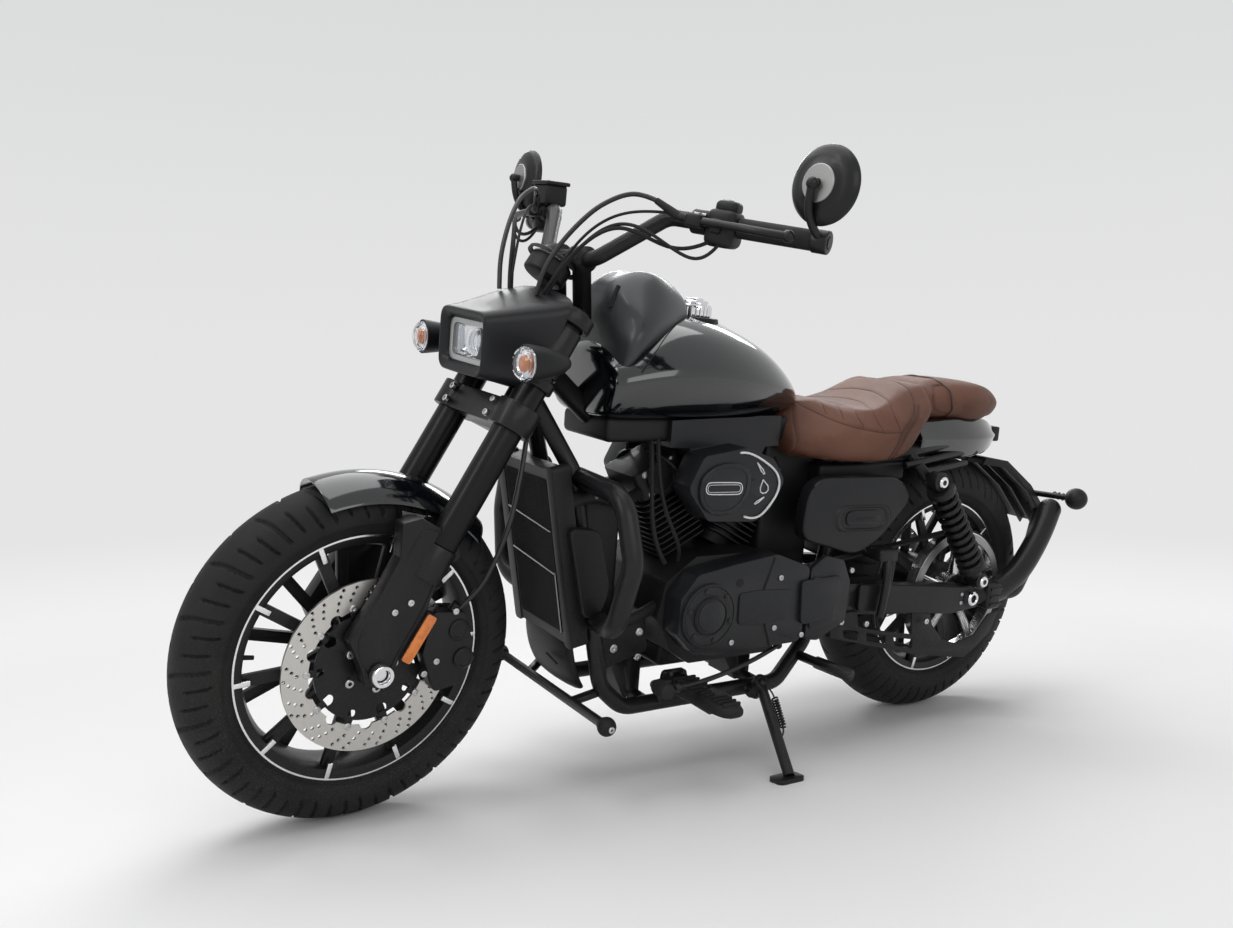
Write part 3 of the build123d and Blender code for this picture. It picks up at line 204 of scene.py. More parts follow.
class Effects:
    """The effects that several finishes share, each a node group that is built once."""

    built: dict[str, bpy.types.NodeTree] = {}

    @classmethod
    def get(cls, name: str) -> bpy.types.NodeTree:
        """Returns the group of that name, and builds it the first time."""
        if name not in cls.built:
            cls.built[name] = getattr(cls, "make_" + name)()
        return cls.built[name]

    @staticmethod
    def make_coating() -> bpy.types.NodeTree:
        """Builds paint, powder coat or plastic: mottled colour, smudged gloss, fine grain and dust."""
        tree, g, take, out = shader_group(
            "coating",
            {
                "Vector": (VECTOR, None), "Colour": (COLOUR, None), "Shade": (COLOUR, None),
                "Roughness": (FLOAT, 0.4), "Spread": (FLOAT, 0.08), "Mottle": (FLOAT, 6.0),
                "Grain": (FLOAT, 900.0), "Dust": (FLOAT, 0.2),
            },
            {"Colour": COLOUR, "Roughness": FLOAT, "Height": FLOAT},
        )
        broad = g.noise(take["Vector"], take["Mottle"])
        tone = g.blend(g.ramp(broad, 0.35, 0.68), take["Colour"], take["Shade"])
        smudge = g.noise(take["Vector"], g.math("MULTIPLY", take["Mottle"], 3.7), 5.0, 0.65)
        grain = g.noise(take["Vector"], take["Grain"], 2.0)
        speck = g.noise(take["Vector"], g.math("MULTIPLY", take["Mottle"], 40.0), 3.0, 0.7)
        height = g.node("ShaderNodeSeparateXYZ", {0: take["Vector"]}).outputs[2]
        low = g.math("SUBTRACT", 1.0, g.ramp(height, 0.0, 0.6))
        dust = g.math("MULTIPLY", g.math("MULTIPLY", g.ramp(speck, 0.5, 0.74), take["Dust"]), low)
        colour = g.blend(dust, tone, (0.16, 0.15, 0.135, 1.0))
        shift = g.math("MULTIPLY", g.math("SUBTRACT", smudge, 0.5), take["Spread"])
        rough = g.math("ADD", take["Roughness"], g.math("ADD", shift, g.math("MULTIPLY", dust, 0.3)))
        g.tree.links.new(colour, out.inputs["Colour"])
        g.tree.links.new(rough, out.inputs["Roughness"])
        g.tree.links.new(grain, out.inputs["Height"])
        return tree

    @staticmethod
    def make_turned() -> bpy.types.NodeTree:
        """Builds metal turned on a lathe: rings about the Z axis of the vector, with a few handling marks."""
        tree, g, take, out = shader_group(
            "turned",
            {
                "Vector": (VECTOR, None), "Colour": (COLOUR, None), "Shade": (COLOUR, None),
                "Roughness": (FLOAT, 0.3), "Spread": (FLOAT, 0.1), "Rings": (FLOAT, 1200.0),
            },
            {"Colour": COLOUR, "Roughness": FLOAT, "Height": FLOAT},
        )
        flat = g.node("ShaderNodeVectorMath", {0: take["Vector"], 1: (1.0, 1.0, 0.0)}, operation="MULTIPLY")
        radius = g.node("ShaderNodeVectorMath", {0: flat.outputs[0]}, operation="LENGTH").outputs["Value"]
        place = g.node("ShaderNodeCombineXYZ", {0: radius}).outputs[0]
        rings = g.noise(place, take["Rings"], 3.0, 0.6)
        marks = g.noise(take["Vector"], 38.0, 4.0, 0.7)
        g.tree.links.new(
            g.blend(g.ramp(rings, 0.3, 0.7), take["Colour"], take["Shade"]), out.inputs["Colour"],
        )
        both = g.math("ADD", g.math("MULTIPLY", rings, 0.5), g.math("MULTIPLY", marks, 0.5))
        shift = g.math("MULTIPLY", g.math("SUBTRACT", both, 0.5), take["Spread"])
        g.tree.links.new(g.math("ADD", take["Roughness"], shift), out.inputs["Roughness"])
        g.tree.links.new(rings, out.inputs["Height"])
        return tree

    @staticmethod
    def make_hide() -> bpy.types.NodeTree:
        """Builds leather: pebbled cells, soft creases and darker pores."""
        tree, g, take, out = shader_group(
            "hide",
            {
                "Vector": (VECTOR, None), "Colour": (COLOUR, None), "Shade": (COLOUR, None),
                "Roughness": (FLOAT, 0.5), "Cells": (FLOAT, 420.0),
            },
            {"Colour": COLOUR, "Roughness": FLOAT, "Height": FLOAT},
        )
        bend = g.noise(take["Vector"], 60.0, 2.0)
        moved = g.node(
            "ShaderNodeVectorMath",
            {
                0: take["Vector"], 1: g.node("ShaderNodeCombineXYZ", {0: bend, 1: bend, 2: bend}).outputs[0],
                2: (0.004,) * 3,
            },
            operation="MULTIPLY_ADD",
        )
        bent = g.node(
            "ShaderNodeVectorMath", {0: take["Vector"], 1: moved.outputs[0]}, operation="ADD"
        ).outputs[0]
        cells = g.node(
            "ShaderNodeTexVoronoi", {"Vector": bent, "Scale": take["Cells"]}, feature="DISTANCE_TO_EDGE"
        ).outputs[0]
        crease = g.noise(bent, 26.0, 6.0, 0.62)
        pores = g.ramp(cells, 0.0, 0.16)
        broad = g.noise(take["Vector"], 7.0, 3.0)
        tone = g.blend(g.ramp(broad, 0.35, 0.7), take["Colour"], take["Shade"])
        tone = g.blend(g.math("MULTIPLY", g.math("SUBTRACT", 1.0, pores), 0.45), tone, take["Shade"])
        g.tree.links.new(tone, out.inputs["Colour"])
        g.tree.links.new(
            g.math("ADD", take["Roughness"], g.math("MULTIPLY", g.math("SUBTRACT", crease, 0.5), 0.25)),
            out.inputs["Roughness"],
        )
        g.tree.links.new(g.math("ADD", pores, g.math("MULTIPLY", crease, 0.7)), out.inputs["Height"])
        return tree


# ------------------------------------------------------------------ finishes
@dataclass(frozen=True)
class Finish:
    """One finish of the machine.

    The colours are linear, and sizes of patterns are counted per metre.
    """

    label: str
    slot: Slot
    colour: Rgb
    shade: Rgb
    roughness: float = 0.4
    spread: float = 0.08
    metallic: float = 0.0
    coat: float = 0.0
    mottle: float = 6.0
    grain: float = 900.0
    bump: float = 0.08
    dust: float = 0.15
    effect: str = "coating"
    glass: float = 0.0
    glow: float = 0.0
    sheen: float = 0.0
    specular: float = 0.5

    def material(self, centre: Matrix | None = None, tag: str = "") -> bpy.types.Material:
        """Builds the material, or finds it if it is there.

        Args:
            centre: Where a turned pattern has its axis, as the matrix from that axis's own frame.
            tag: Ending of the name for a material that is centred on one piece.

        Returns:
            The material.
        """
        name = self.label + tag
        found = bpy.data.materials.get(name)
        if found:
            return found
        made = bpy.data.materials.new(name)
        made.use_nodes = True
        g = Graph(made.node_tree)
        shader = made.node_tree.nodes["Principled BSDF"]
        vector = g.node("ShaderNodeTexCoord").outputs["Object"]
        if centre is not None:
            back = centre.inverted()
            turn = g.node("ShaderNodeMapping", {"Vector": vector})
            turn.inputs["Location"].default_value = back.to_translation()
            turn.inputs["Rotation"].default_value = back.to_euler()
            vector = turn.outputs[0]
        group = g.node("ShaderNodeGroup", node_tree=Effects.get(self.effect))
        made.node_tree.links.new(vector, group.inputs["Vector"])
        values = {
            "Colour": (*self.colour, 1.0), "Shade": (*self.shade, 1.0), "Roughness": self.roughness,
            "Spread": self.spread, "Mottle": self.mottle, "Grain": self.grain, "Dust": self.dust,
            "Cells": self.grain, "Rings": self.grain,
        }
        for key, value in values.items():
            if key in group.inputs:
                group.inputs[key].default_value = value
        g.tree.links.new(group.outputs["Colour"], shader.inputs["Base Color"])
        g.tree.links.new(group.outputs["Roughness"], shader.inputs["Roughness"])
        bump = g.node(
            "ShaderNodeBump", {"Height": group.outputs["Height"], "Strength": self.bump, "Distance": 0.0006}
        )
        g.tree.links.new(bump.outputs[0], shader.inputs["Normal"])
        shader.inputs["Metallic"].default_value = self.metallic
        shader.inputs["Coat Weight"].default_value = self.coat
        shader.inputs["Coat Roughness"].default_value = 0.04
        shader.inputs["Transmission Weight"].default_value = self.glass
        shader.inputs["Sheen Weight"].default_value = self.sheen
        shader.inputs["Specular IOR Level"].default_value = self.specular
        if self.glow:
            shader.inputs["Emission Strength"].default_value = self.glow
            shader.inputs["Emission Color"].default_value = (*self.colour, 1.0)
        return made


class Finishes:
    """All finishes, by what they are on."""

    GLOSS = Finish(
        "gloss_paint", Slot.GLOSS, colour=(0.0016, 0.0022, 0.0034), shade=(0.0026, 0.0034, 0.005),
        roughness=0.14, spread=0.05, coat=1.0, mottle=3.0, grain=140.0, bump=0.012, dust=0.05,
    )
    SATIN = Finish(
        "powder_coat", Slot.SATIN, colour=(0.0066, 0.0068, 0.0076), shade=(0.0098, 0.01, 0.0112), spread=0.1,
        coat=0.08, mottle=9.0, grain=1500.0, bump=0.16, specular=0.25,
    )
    FORK = Finish(
        "fork_black", Slot.SATIN, colour=(0.003, 0.0031, 0.0036), shade=(0.0048, 0.005, 0.0056),
        roughness=0.34, spread=0.06, coat=0.04, grain=1500.0, bump=0.06, specular=0.2,
    )
    ENGINE = Finish(
        "engine_paint", Slot.ENGINE, colour=(0.0076, 0.0078, 0.0088), shade=(0.0118, 0.012, 0.0136),
        roughness=0.46, spread=0.12, coat=0.05, mottle=10.0, bump=0.3, specular=0.25,
    )
    COVER = Finish(
        "cover_paint", Slot.ENGINE, colour=(0.0112, 0.0118, 0.0138), shade=(0.015, 0.0157, 0.0178),
        roughness=0.42, coat=0.1, mottle=5.0, grain=1400.0, bump=0.12, specular=0.25,
    )
    PLASTIC = Finish(
        "moulded_plastic", Slot.PLASTIC, colour=(0.0074, 0.0077, 0.0088), shade=(0.0106, 0.0109, 0.0122),
        roughness=0.47, mottle=5.0, grain=2200.0, bump=0.14, specular=0.25,
    )
    MATTE = Finish(
        "matte_shell", Slot.PLASTIC, colour=(0.0086, 0.009, 0.0105), shade=(0.0118, 0.0122, 0.014),
        roughness=0.42, spread=0.06, coat=0.06, mottle=4.0, grain=2600.0, bump=0.06, specular=0.25,
    )
    COWL = Finish(
        "cowl_shell", Slot.PLASTIC, colour=(0.026, 0.028, 0.031), shade=(0.032, 0.034, 0.038), roughness=0.38,
        spread=0.06, coat=0.12, mottle=4.0, grain=2600.0, bump=0.05, specular=0.4,
    )
    TYRE = Finish(
        "tyre_rubber", Slot.TYRE, colour=(0.0078, 0.0078, 0.0084), shade=(0.0132, 0.013, 0.0128),
        roughness=0.66, spread=0.12, mottle=12.0, grain=1100.0, bump=0.3, dust=0.35, specular=0.25,
    )
    RUBBER = Finish(
        "grip_rubber", Slot.RUBBER, colour=(0.0085, 0.0085, 0.0092), shade=(0.013, 0.013, 0.0135),
        roughness=0.62, spread=0.1, mottle=14.0, grain=1300.0, bump=0.25, specular=0.25,
    )
    HOSE = Finish(
        "hose_rubber", Slot.RUBBER, colour=(0.008, 0.008, 0.0088), shade=(0.012, 0.012, 0.013),
        roughness=0.38, mottle=20.0, grain=1600.0, bump=0.1,
    )
    LEATHER = Finish(
        "seat_leather", Slot.LEATHER, colour=(0.158, 0.064, 0.038), shade=(0.11, 0.043, 0.025),
        roughness=0.46, effect="hide", grain=420.0, bump=0.5, specular=0.32,
    )
    PIPING = Finish(
        "seat_piping", Slot.LEATHER, colour=(0.05, 0.019, 0.012), shade=(0.034, 0.013, 0.009), roughness=0.5,
        effect="hide", grain=600.0, bump=0.3,
    )
    THREAD = Finish(
        "seat_thread", Slot.LEATHER, colour=(0.06, 0.024, 0.016), shade=(0.045, 0.018, 0.012), roughness=0.7,
        spread=0.05, grain=3000.0, bump=0.4,
    )
    CHROME = Finish(
        "bright_chrome", Slot.CHROME, colour=(0.8, 0.8, 0.82), shade=(0.74, 0.74, 0.76), roughness=0.07,
        spread=0.05, metallic=1.0, mottle=12.0, grain=400.0, bump=0.01, dust=0.02,
    )
    ZINC = Finish(
        "zinc_plate", Slot.ALLOY, colour=(0.6, 0.6, 0.6), shade=(0.45, 0.45, 0.46), roughness=0.3,
        spread=0.15, metallic=1.0, mottle=40.0, grain=1800.0, bump=0.1, dust=0.05,
    )
    ALLOY = Finish(
        "cut_alloy", Slot.ALLOY, colour=(0.86, 0.86, 0.87), shade=(0.74, 0.74, 0.76), roughness=0.24,
        spread=0.12, metallic=1.0, effect="turned", grain=1600.0, bump=0.06,
    )
    DISC = Finish(
        "ground_steel", Slot.DISC, colour=(0.7, 0.68, 0.65), shade=(0.52, 0.5, 0.47), roughness=0.34,
        spread=0.16, metallic=1.0, effect="turned", grain=1400.0, bump=0.1,
    )
    LENS = Finish(
        "clear_glass", Slot.CLEAR, colour=(0.96, 0.97, 0.98), shade=(0.93, 0.94, 0.96), roughness=0.03,
        spread=0.03, glass=1.0, bump=0.0, dust=0.0,
    )
    REFLECTOR = Finish(
        "lamp_reflector", Slot.CHROME, colour=(0.86, 0.87, 0.89), shade=(0.78, 0.79, 0.81), roughness=0.1,
        spread=0.04, metallic=1.0, dust=0.0, bump=0.0,
    )
    AMBER = Finish(
        "amber_plastic", Slot.AMBER, colour=(0.8, 0.22, 0.012), shade=(0.62, 0.15, 0.008), roughness=0.16,
        spread=0.04, coat=0.8, mottle=60.0, grain=300.0, bump=0.35, dust=0.0,
    )
    RED = Finish(
        "red_plastic", Slot.RED, colour=(0.36, 0.006, 0.008), shade=(0.26, 0.004, 0.006), roughness=0.16,
        spread=0.04, coat=0.8, mottle=60.0, grain=300.0, bump=0.25, dust=0.0,
    )
    MIRROR = Finish(
        "mirror_face", Slot.MIRROR, colour=(0.88, 0.89, 0.9), shade=(0.86, 0.87, 0.89), roughness=0.015,
        spread=0.01, metallic=1.0, dust=0.0, bump=0.0,
    )
    STRIPE = Finish(
        "white_line", Slot.ALLOY, colour=(0.78, 0.78, 0.78), shade=(0.7, 0.7, 0.7), roughness=0.35,
        spread=0.05, dust=0.0,
    )
    FRAME_GREY = Finish(
        "lamp_frame_grey", Slot.ALLOY, colour=(0.42, 0.43, 0.43), shade=(0.36, 0.37, 0.37), roughness=0.3,
        spread=0.06, metallic=0.6, dust=0.0, bump=0.02,
    )
    BRUSHED = Finish(
        "turned_badge", Slot.ALLOY, colour=(0.36, 0.36, 0.355), shade=(0.28, 0.28, 0.275), roughness=0.42,
        spread=0.1, metallic=0.85, effect="turned", bump=0.1,
    )


# ------------------------------------------------------------------ where things are
@dataclass(frozen=True)
class Rig:
    """The upright machine's frame and the steered frame, set down as the machine is parked."""

    park: Matrix
    steer: Matrix
    rear_axle: Vector
    rake: float = math.radians(30.0)
    rear_radius: float = 0.305

    @classmethod
    def from_joints(cls, joints: list[dict]) -> "Rig":
        """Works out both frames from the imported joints.

        Args:
            joints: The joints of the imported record.

        Returns:
            The rig.
        """
        named = {
            joint["name"]: (Vector(joint["pos_m"]), Vector(joint["axis"]).normalized()) for joint in joints
        }
        pivot, steer_axis = named["steering"]
        _, front_axis = named["front_wheel_spin"]
        rear, rear_axis = named["rear_wheel_spin"]
        park_turn = cls.frame_of(rear_axis, steer_axis)
        park = park_turn.to_4x4()
        park.translation = rear - park_turn @ Vector((0, 0, cls.rear_radius))
        steer_turn = cls.frame_of(front_axis, steer_axis)
        upright_pivot = park.inverted() @ pivot
        steer = steer_turn.to_4x4()
        steer.translation = pivot - steer_turn @ upright_pivot
        return cls(park, steer, rear)

    @classmethod
    def frame_of(cls, side: Vector, steer: Vector) -> Matrix:
        """Returns the turn whose Y is an axle's axis and whose rake puts the steering axis where it is."""
        ahead = side.cross(steer).normalized()
        up = ahead.cross(side).normalized()
        turn = Matrix((ahead, side, up)).transposed()
        return turn @ Matrix.Rotation(cls.rake, 3, "Y")

    def matrix(self, body: Body) -> Matrix:
        """Returns the frame that pieces of this body are laid out in."""
        return self.steer if body in (Body.STEERING, Body.FRONT_WHEEL) else self.park


# ------------------------------------------------------------------ the modelling bench
class Bench:
    """Starts pieces from primitives, shapes them in edit mode and finishes them."""

    rig: Rig
    tally = 0

    # -- selection and modes
    @staticmethod
    def clear() -> None:
        """Deselects every object."""
        if bpy.context.object and bpy.context.object.mode != "OBJECT":
            bpy.ops.object.mode_set(mode="OBJECT")
        bpy.ops.object.select_all(action="DESELECT")

    @classmethod
    def take(cls, *pieces: bpy.types.Object) -> bpy.types.Object:
        """Selects only these pieces, makes the first one active and returns it."""
        cls.clear()
        for piece in pieces:
            piece.select_set(True)
        bpy.context.view_layer.objects.active = pieces[0]
        return pieces[0]

    @classmethod
    def edit(cls, piece: bpy.types.Object, mode: str = "FACE") -> bmesh.types.BMesh:
        """Opens a piece in edit mode with nothing selected and returns its edit mesh."""
        cls.take(piece)
        bpy.ops.object.mode_set(mode="EDIT")
        bpy.ops.mesh.select_mode(type=mode)
        bpy.ops.mesh.select_all(action="DESELECT")
        return bmesh.from_edit_mesh(piece.data)

    @staticmethod
    def close() -> None:
        """Leaves edit mode."""
        bpy.ops.object.mode_set(mode="OBJECT")

    # -- modifiers
    @classmethod
    def apply(cls, piece: bpy.types.Object, kind: str, **values: object) -> bpy.types.Object:
        """Adds a modifier with these values and applies it."""
        cls.take(piece)
        made = piece.modifiers.new(kind.lower(), kind)
        for name, value in values.items():
            setattr(made, name, value)
        bpy.ops.object.modifier_apply(modifier=made.name)
        return piece

    @classmethod
    def bevel(
        cls, piece: bpy.types.Object, width: float, segments: int = 2, angle: float = 35.0,
    ) -> bpy.types.Object:
        """Rounds the sharp edges of a piece."""
        return cls.apply(
            piece, "BEVEL", width=width, segments=segments, limit_method="ANGLE",
            angle_limit=math.radians(angle), use_clamp_overlap=True,
        )

    @classmethod
    def smooth(cls, piece: bpy.types.Object, angle: float = 32.0) -> bpy.types.Object:
        """Shades a piece smooth up to an angle."""
        cls.take(piece)
        bpy.ops.object.shade_smooth_by_angle(angle=math.radians(angle))
        return piece

    # -- starts
    @classmethod
    def drum(
        cls, start: Point, end: Point, radius: float, top: float | None = None, sides: int = 32,
        edge: float = 0.0,
    ) -> bpy.types.Object:
        """Adds a drum or cone between two points.

        Args:
            start: Middle of the first face.
            end: Middle of the last face.
            radius: Radius at the start.
            top: Radius at the end, or the same.
            sides: Number of sides.
            edge: Width of the rounding at both rims.

        Returns:
            The piece, with its place in its mesh.
        """
        start, end = Vector(start), Vector(end)
        way = end - start
        cls.clear()
        bpy.ops.mesh.primitive_cone_add(
            vertices=sides, radius1=radius, radius2=radius if top is None else top, depth=way.length,
            location=(start + end) / 2, rotation=way.to_track_quat("Z", "Y").to_euler(),
        )
        piece = bpy.context.object
        cls.settle(piece)
        return cls.bevel(piece, edge, 3) if edge else piece

    @classmethod
    def brick(cls, low: Point, high: Point, edge: float = 0.0, segments: int = 3) -> bpy.types.Object:
        """Adds a block between two corners, with rounded edges."""
        low, high = Vector(low), Vector(high)
        cls.clear()
        bpy.ops.mesh.primitive_cube_add(size=1.0, location=(low + high) / 2, scale=high - low)
        piece = bpy.context.object
        cls.settle(piece)
        return cls.bevel(piece, edge, segments) if edge else piece

    @classmethod
    def ball(cls, middle: Point, radius: float, rings: int = 16) -> bpy.types.Object:
        """Adds a ball."""
        cls.clear()
        bpy.ops.mesh.primitive_uv_sphere_add(
            segments=rings * 2, ring_count=rings, radius=radius, location=middle,
        )
        return cls.settle(bpy.context.object)

    @classmethod
    def ring(
        cls, middle: Point, axis: Point, radius: float, thick: float, around: int = 64, sides: int = 12,
    ) -> bpy.types.Object:
        """Adds a round ring about an axis."""
        cls.clear()
        bpy.ops.mesh.primitive_torus_add(
            major_radius=radius, minor_radius=thick, major_segments=around, minor_segments=sides,
            location=middle, rotation=Vector(axis).to_track_quat("Z", "Y").to_euler(),
        )
        return cls.settle(bpy.context.object)

    @classmethod
    def lathe(
        cls, profile: Sequence[tuple[float, float]], middle: Point, axis: Point, steps: int = 96,
        closed: bool = True,
    ) -> bpy.types.Object:
        """Spins a profile about an axis.

        Args:
            profile: Points (radius, distance along the axis).
            middle: Where the distances are counted from.
            axis: Direction of the axis.
            steps: Number of steps around.
            closed: Whether the profile's last point joins its first.

        Returns:
            The piece, with its place in its mesh.
        """
        cls.clear()
        bpy.ops.mesh.primitive_circle_add(vertices=len(profile), radius=1.0)
        piece = bpy.context.object
        shape = cls.edit(piece, "VERT")
        shape.verts.ensure_lookup_table()
        for corner, (radius, along) in zip(shape.verts, profile):
            corner.co = (radius, 0.0, along)
        if not closed:
            shape.edges.ensure_lookup_table()
            last = [e for e in shape.edges if {v.index for v in e.verts} == {0, len(profile) - 1}]
            bmesh.ops.delete(shape, geom=last, context="EDGES")
        bmesh.update_edit_mesh(piece.data)
        sectors = next((count for count in (20, 12, 10, 8) if steps > 150 and steps % count == 0), 1)
        bpy.ops.mesh.select_all(action="SELECT")
        bpy.ops.mesh.spin(steps=steps // sectors, angle=math.tau / sectors, center=(0, 0, 0), axis=(0, 0, 1))
        cls.close()
        turns = [Matrix.Rotation(math.tau * number / sectors, 4, "Z") for number in range(1, sectors)]
        piece = cls.join([piece, *[cls.copy(piece, turn) for turn in turns]])
        cls.edit(piece)
        bpy.ops.mesh.select_all(action="SELECT")
        bpy.ops.mesh.remove_doubles(threshold=1e-6)
        bpy.ops.mesh.normals_make_consistent(inside=False)
        cls.close()
        piece.matrix_world = Matrix.Translation(
            Vector(middle)
        ) @ Vector(axis).to_track_quat("Z", "Y").to_matrix().to_4x4()
        return cls.settle(piece)

    @classmethod
    def plate(
        cls, outline: Sequence[Point], thick: Vector | Point, edge: float = 0.0, segments: int = 3,
    ) -> bpy.types.Object:
        """Extrudes a flat outline by a vector.

        Args:
            outline: Points of the outline, in order.
            thick: How far and which way the outline is extruded.
            edge: Width of the rounding of the sharp edges.
            segments: Steps in the rounding.

        Returns:
            The piece.
        """
        cls.clear()
        bpy.ops.mesh.primitive_circle_add(vertices=len(outline), radius=1.0, fill_type="NGON")
        piece = bpy.context.object
        shape = cls.edit(piece)
        shape.verts.ensure_lookup_table()
        for corner, place in zip(shape.verts, outline):
            corner.co = place
        bmesh.update_edit_mesh(piece.data)
        bpy.ops.mesh.select_all(action="SELECT")
        bpy.ops.mesh.extrude_region_move(TRANSFORM_OT_translate={"value": tuple(Vector(thick))})
        bpy.ops.mesh.select_all(action="SELECT")
        bpy.ops.mesh.normals_make_consistent(inside=False)
        cls.close()
        return cls.bevel(piece, edge, segments) if edge else piece

    @classmethod
    def hose(
        cls, points: Sequence[Point], radius: float, sides: int = 6, smooth: int = 8, taper: bool = False
    ) -> bpy.types.Object:
        """Draws a round tube along a smooth curve through chosen points.

        Args:
            points: Control points of the curve.
            radius: Radius of the tube.
            sides: Quarter resolution of the tube's section.
            smooth: Steps of the curve between points.
            taper: Whether the tube thins to nothing at its end.

        Returns:
            The tube as a closed mesh.
        """
        cls.clear()
        bpy.ops.curve.primitive_nurbs_path_add()
        path = bpy.context.object
        path.data.splines.clear()
        run = path.data.splines.new("NURBS")
        run.points.add(len(points) - 1)
        for number, (knot, place) in enumerate(zip(run.points, points)):
            knot.co = (*place, 1.0)
            knot.radius = 1.0 - number / (len(points) - 1) if taper else 1.0
        run.order_u = min(4, len(points))
        run.use_endpoint_u = True
        path.data.resolution_u = smooth
        path.data.bevel_depth = radius
        path.data.bevel_resolution = sides
        path.data.use_fill_caps = True
        path.matrix_world = Matrix.Identity(4)
        cls.take(path)
        bpy.ops.object.convert(target="MESH")
        return cls.smooth(bpy.context.object, 40.0)

    @classmethod
    def skin(
        cls, rows: Sequence[Sequence[Point]], levels: int = 0, thick: float = 0.0, capped: bool = False
    ) -> bpy.types.Object:
        """Lays a net of faces over closed rows of points, all of the same count.

        Args:
            rows: Rows of points, each going once around.
            levels: Subdivision levels that smooth the net.
            thick: Wall that is added inwards, or none.
            capped: Whether both ends are closed.

        Returns:
            The piece.
        """
        cls.clear()
        wide = len(rows[0]) + 1
        bpy.ops.mesh.primitive_grid_add(x_subdivisions=wide - 1, y_subdivisions=len(rows) - 1, size=1.0)
        piece = bpy.context.object
        shape = cls.edit(piece, "EDGE")
        shape.verts.ensure_lookup_table()
        for down, row in enumerate(rows):
            for across, place in enumerate([*row, row[0]]):
                shape.verts[down * wide + across].co = place
        bmesh.update_edit_mesh(piece.data)
        bpy.ops.mesh.select_all(action="SELECT")
        bpy.ops.mesh.remove_doubles(threshold=1e-6)
        if capped:
            bpy.ops.mesh.select_all(action="SELECT")
            bpy.ops.mesh.fill_holes(sides=0)
        bpy.ops.mesh.select_all(action="SELECT")
        bpy.ops.mesh.normals_make_consistent(inside=False)
        cls.close()
        if levels:
            cls.apply(piece, "SUBSURF", levels=levels, render_levels=levels)
        if thick:
            cls.apply(piece, "SOLIDIFY", thickness=thick, offset=-1.0)
        return piece

    @classmethod
    def loop(cls, points: Sequence[Point], radius: float, sides: int = 2) -> bpy.types.Object:
        """Draws a thin closed line of round section through points."""
        points = [Vector(p) for p in points]
        return cls.hose([*points, points[0]], radius, sides, 2)

    @classmethod
    def studs(
        cls, places: Sequence[Point], way: Point, radius: float, height: float, sides: int = 6,
        dome: bool = False,
    ) -> bpy.types.Object:
        """Sets bolt heads at places, all facing one way.

        Args:
            places: Where the heads sit.
            way: Where they face.
            radius: Radius of a head.
            height: How far it stands out.
            sides: Number of sides of a head.
            dome: Whether the head is round with a socket, not a hexagon.

        Returns:
            All heads as one mesh.
        """
        head = cls.drum(
            (0, 0, -height), (0, 0, height), radius, sides=24 if dome else sides, edge=radius * 0.18,
        )
        if dome:
            socket = cls.drum((0, 0, height * 0.4), (0, 0, height * 1.5), radius * 0.48, sides=6)
            cls.carve(head, socket)
        else:
            head = cls.join([head, cls.drum((0, 0, -height), (0, 0, height * 0.25), radius * 1.35, sides=24)])
        return cls.scatter(head, [cls.aim(place, way) for place in places])

    # -- joining and copying
    @staticmethod
    def copy(piece: bpy.types.Object, place: Matrix | None = None) -> bpy.types.Object:
        """Copies a piece with its own mesh and sets it down by a matrix."""
        twin = piece.copy()
        twin.data = piece.data.copy()
        bpy.context.scene.collection.objects.link(twin)
        if place is not None:
            twin.data.transform(place)
        return twin

    @classmethod
    def mirror(cls, piece: bpy.types.Object) -> bpy.types.Object:
        """Returns a piece together with its mirror image on the other side, as one mesh."""
        twin = cls.copy(piece, Matrix.Scale(-1.0, 4, (0, 1, 0)))
        twin.data.flip_normals()
        return cls.join([piece, twin])

    @classmethod
    def join(cls, pieces: list[bpy.types.Object]) -> bpy.types.Object:
        """Joins pieces into the first one."""
        if len(pieces) > 1:
            cls.take(*pieces)
            bpy.ops.object.join()
        return pieces[0]

    @classmethod
    def scatter(cls, master: bpy.types.Object, places: Iterable[Matrix]) -> bpy.types.Object:
        """Copies a master piece to each place and joins the copies into one mesh, without the master."""
        copies = [cls.copy(master, place) for place in places]
        bpy.data.objects.remove(master)
        return cls.join(copies)

    @staticmethod
    def aim(place: Point, way: Point, size: float = 1.0) -> Matrix:
        """Returns the matrix that sets a master, made along Z at the origin, at a place facing a way."""
        turn = Vector(way).to_track_quat("Z", "Y").to_matrix().to_4x4()
        return Matrix.Translation(Vector(place)) @ turn @ Matrix.Scale(size, 4)

    @classmethod
    def settle(cls, piece: bpy.types.Object) -> bpy.types.Object:
        """Moves a piece's place into its mesh."""
        cls.take(piece)
        bpy.ops.object.transform_apply(location=True, rotation=True, scale=True)
        return piece

    @classmethod
    def carve(
        cls, piece: bpy.types.Object, cutter: bpy.types.Object, how: str = "DIFFERENCE",
    ) -> bpy.types.Object:
        """Cuts a cutter out of a piece and removes the cutter."""
        cls.apply(piece, "BOOLEAN", operation=how, object=cutter, solver="EXACT")
        bpy.data.objects.remove(cutter)
        return piece

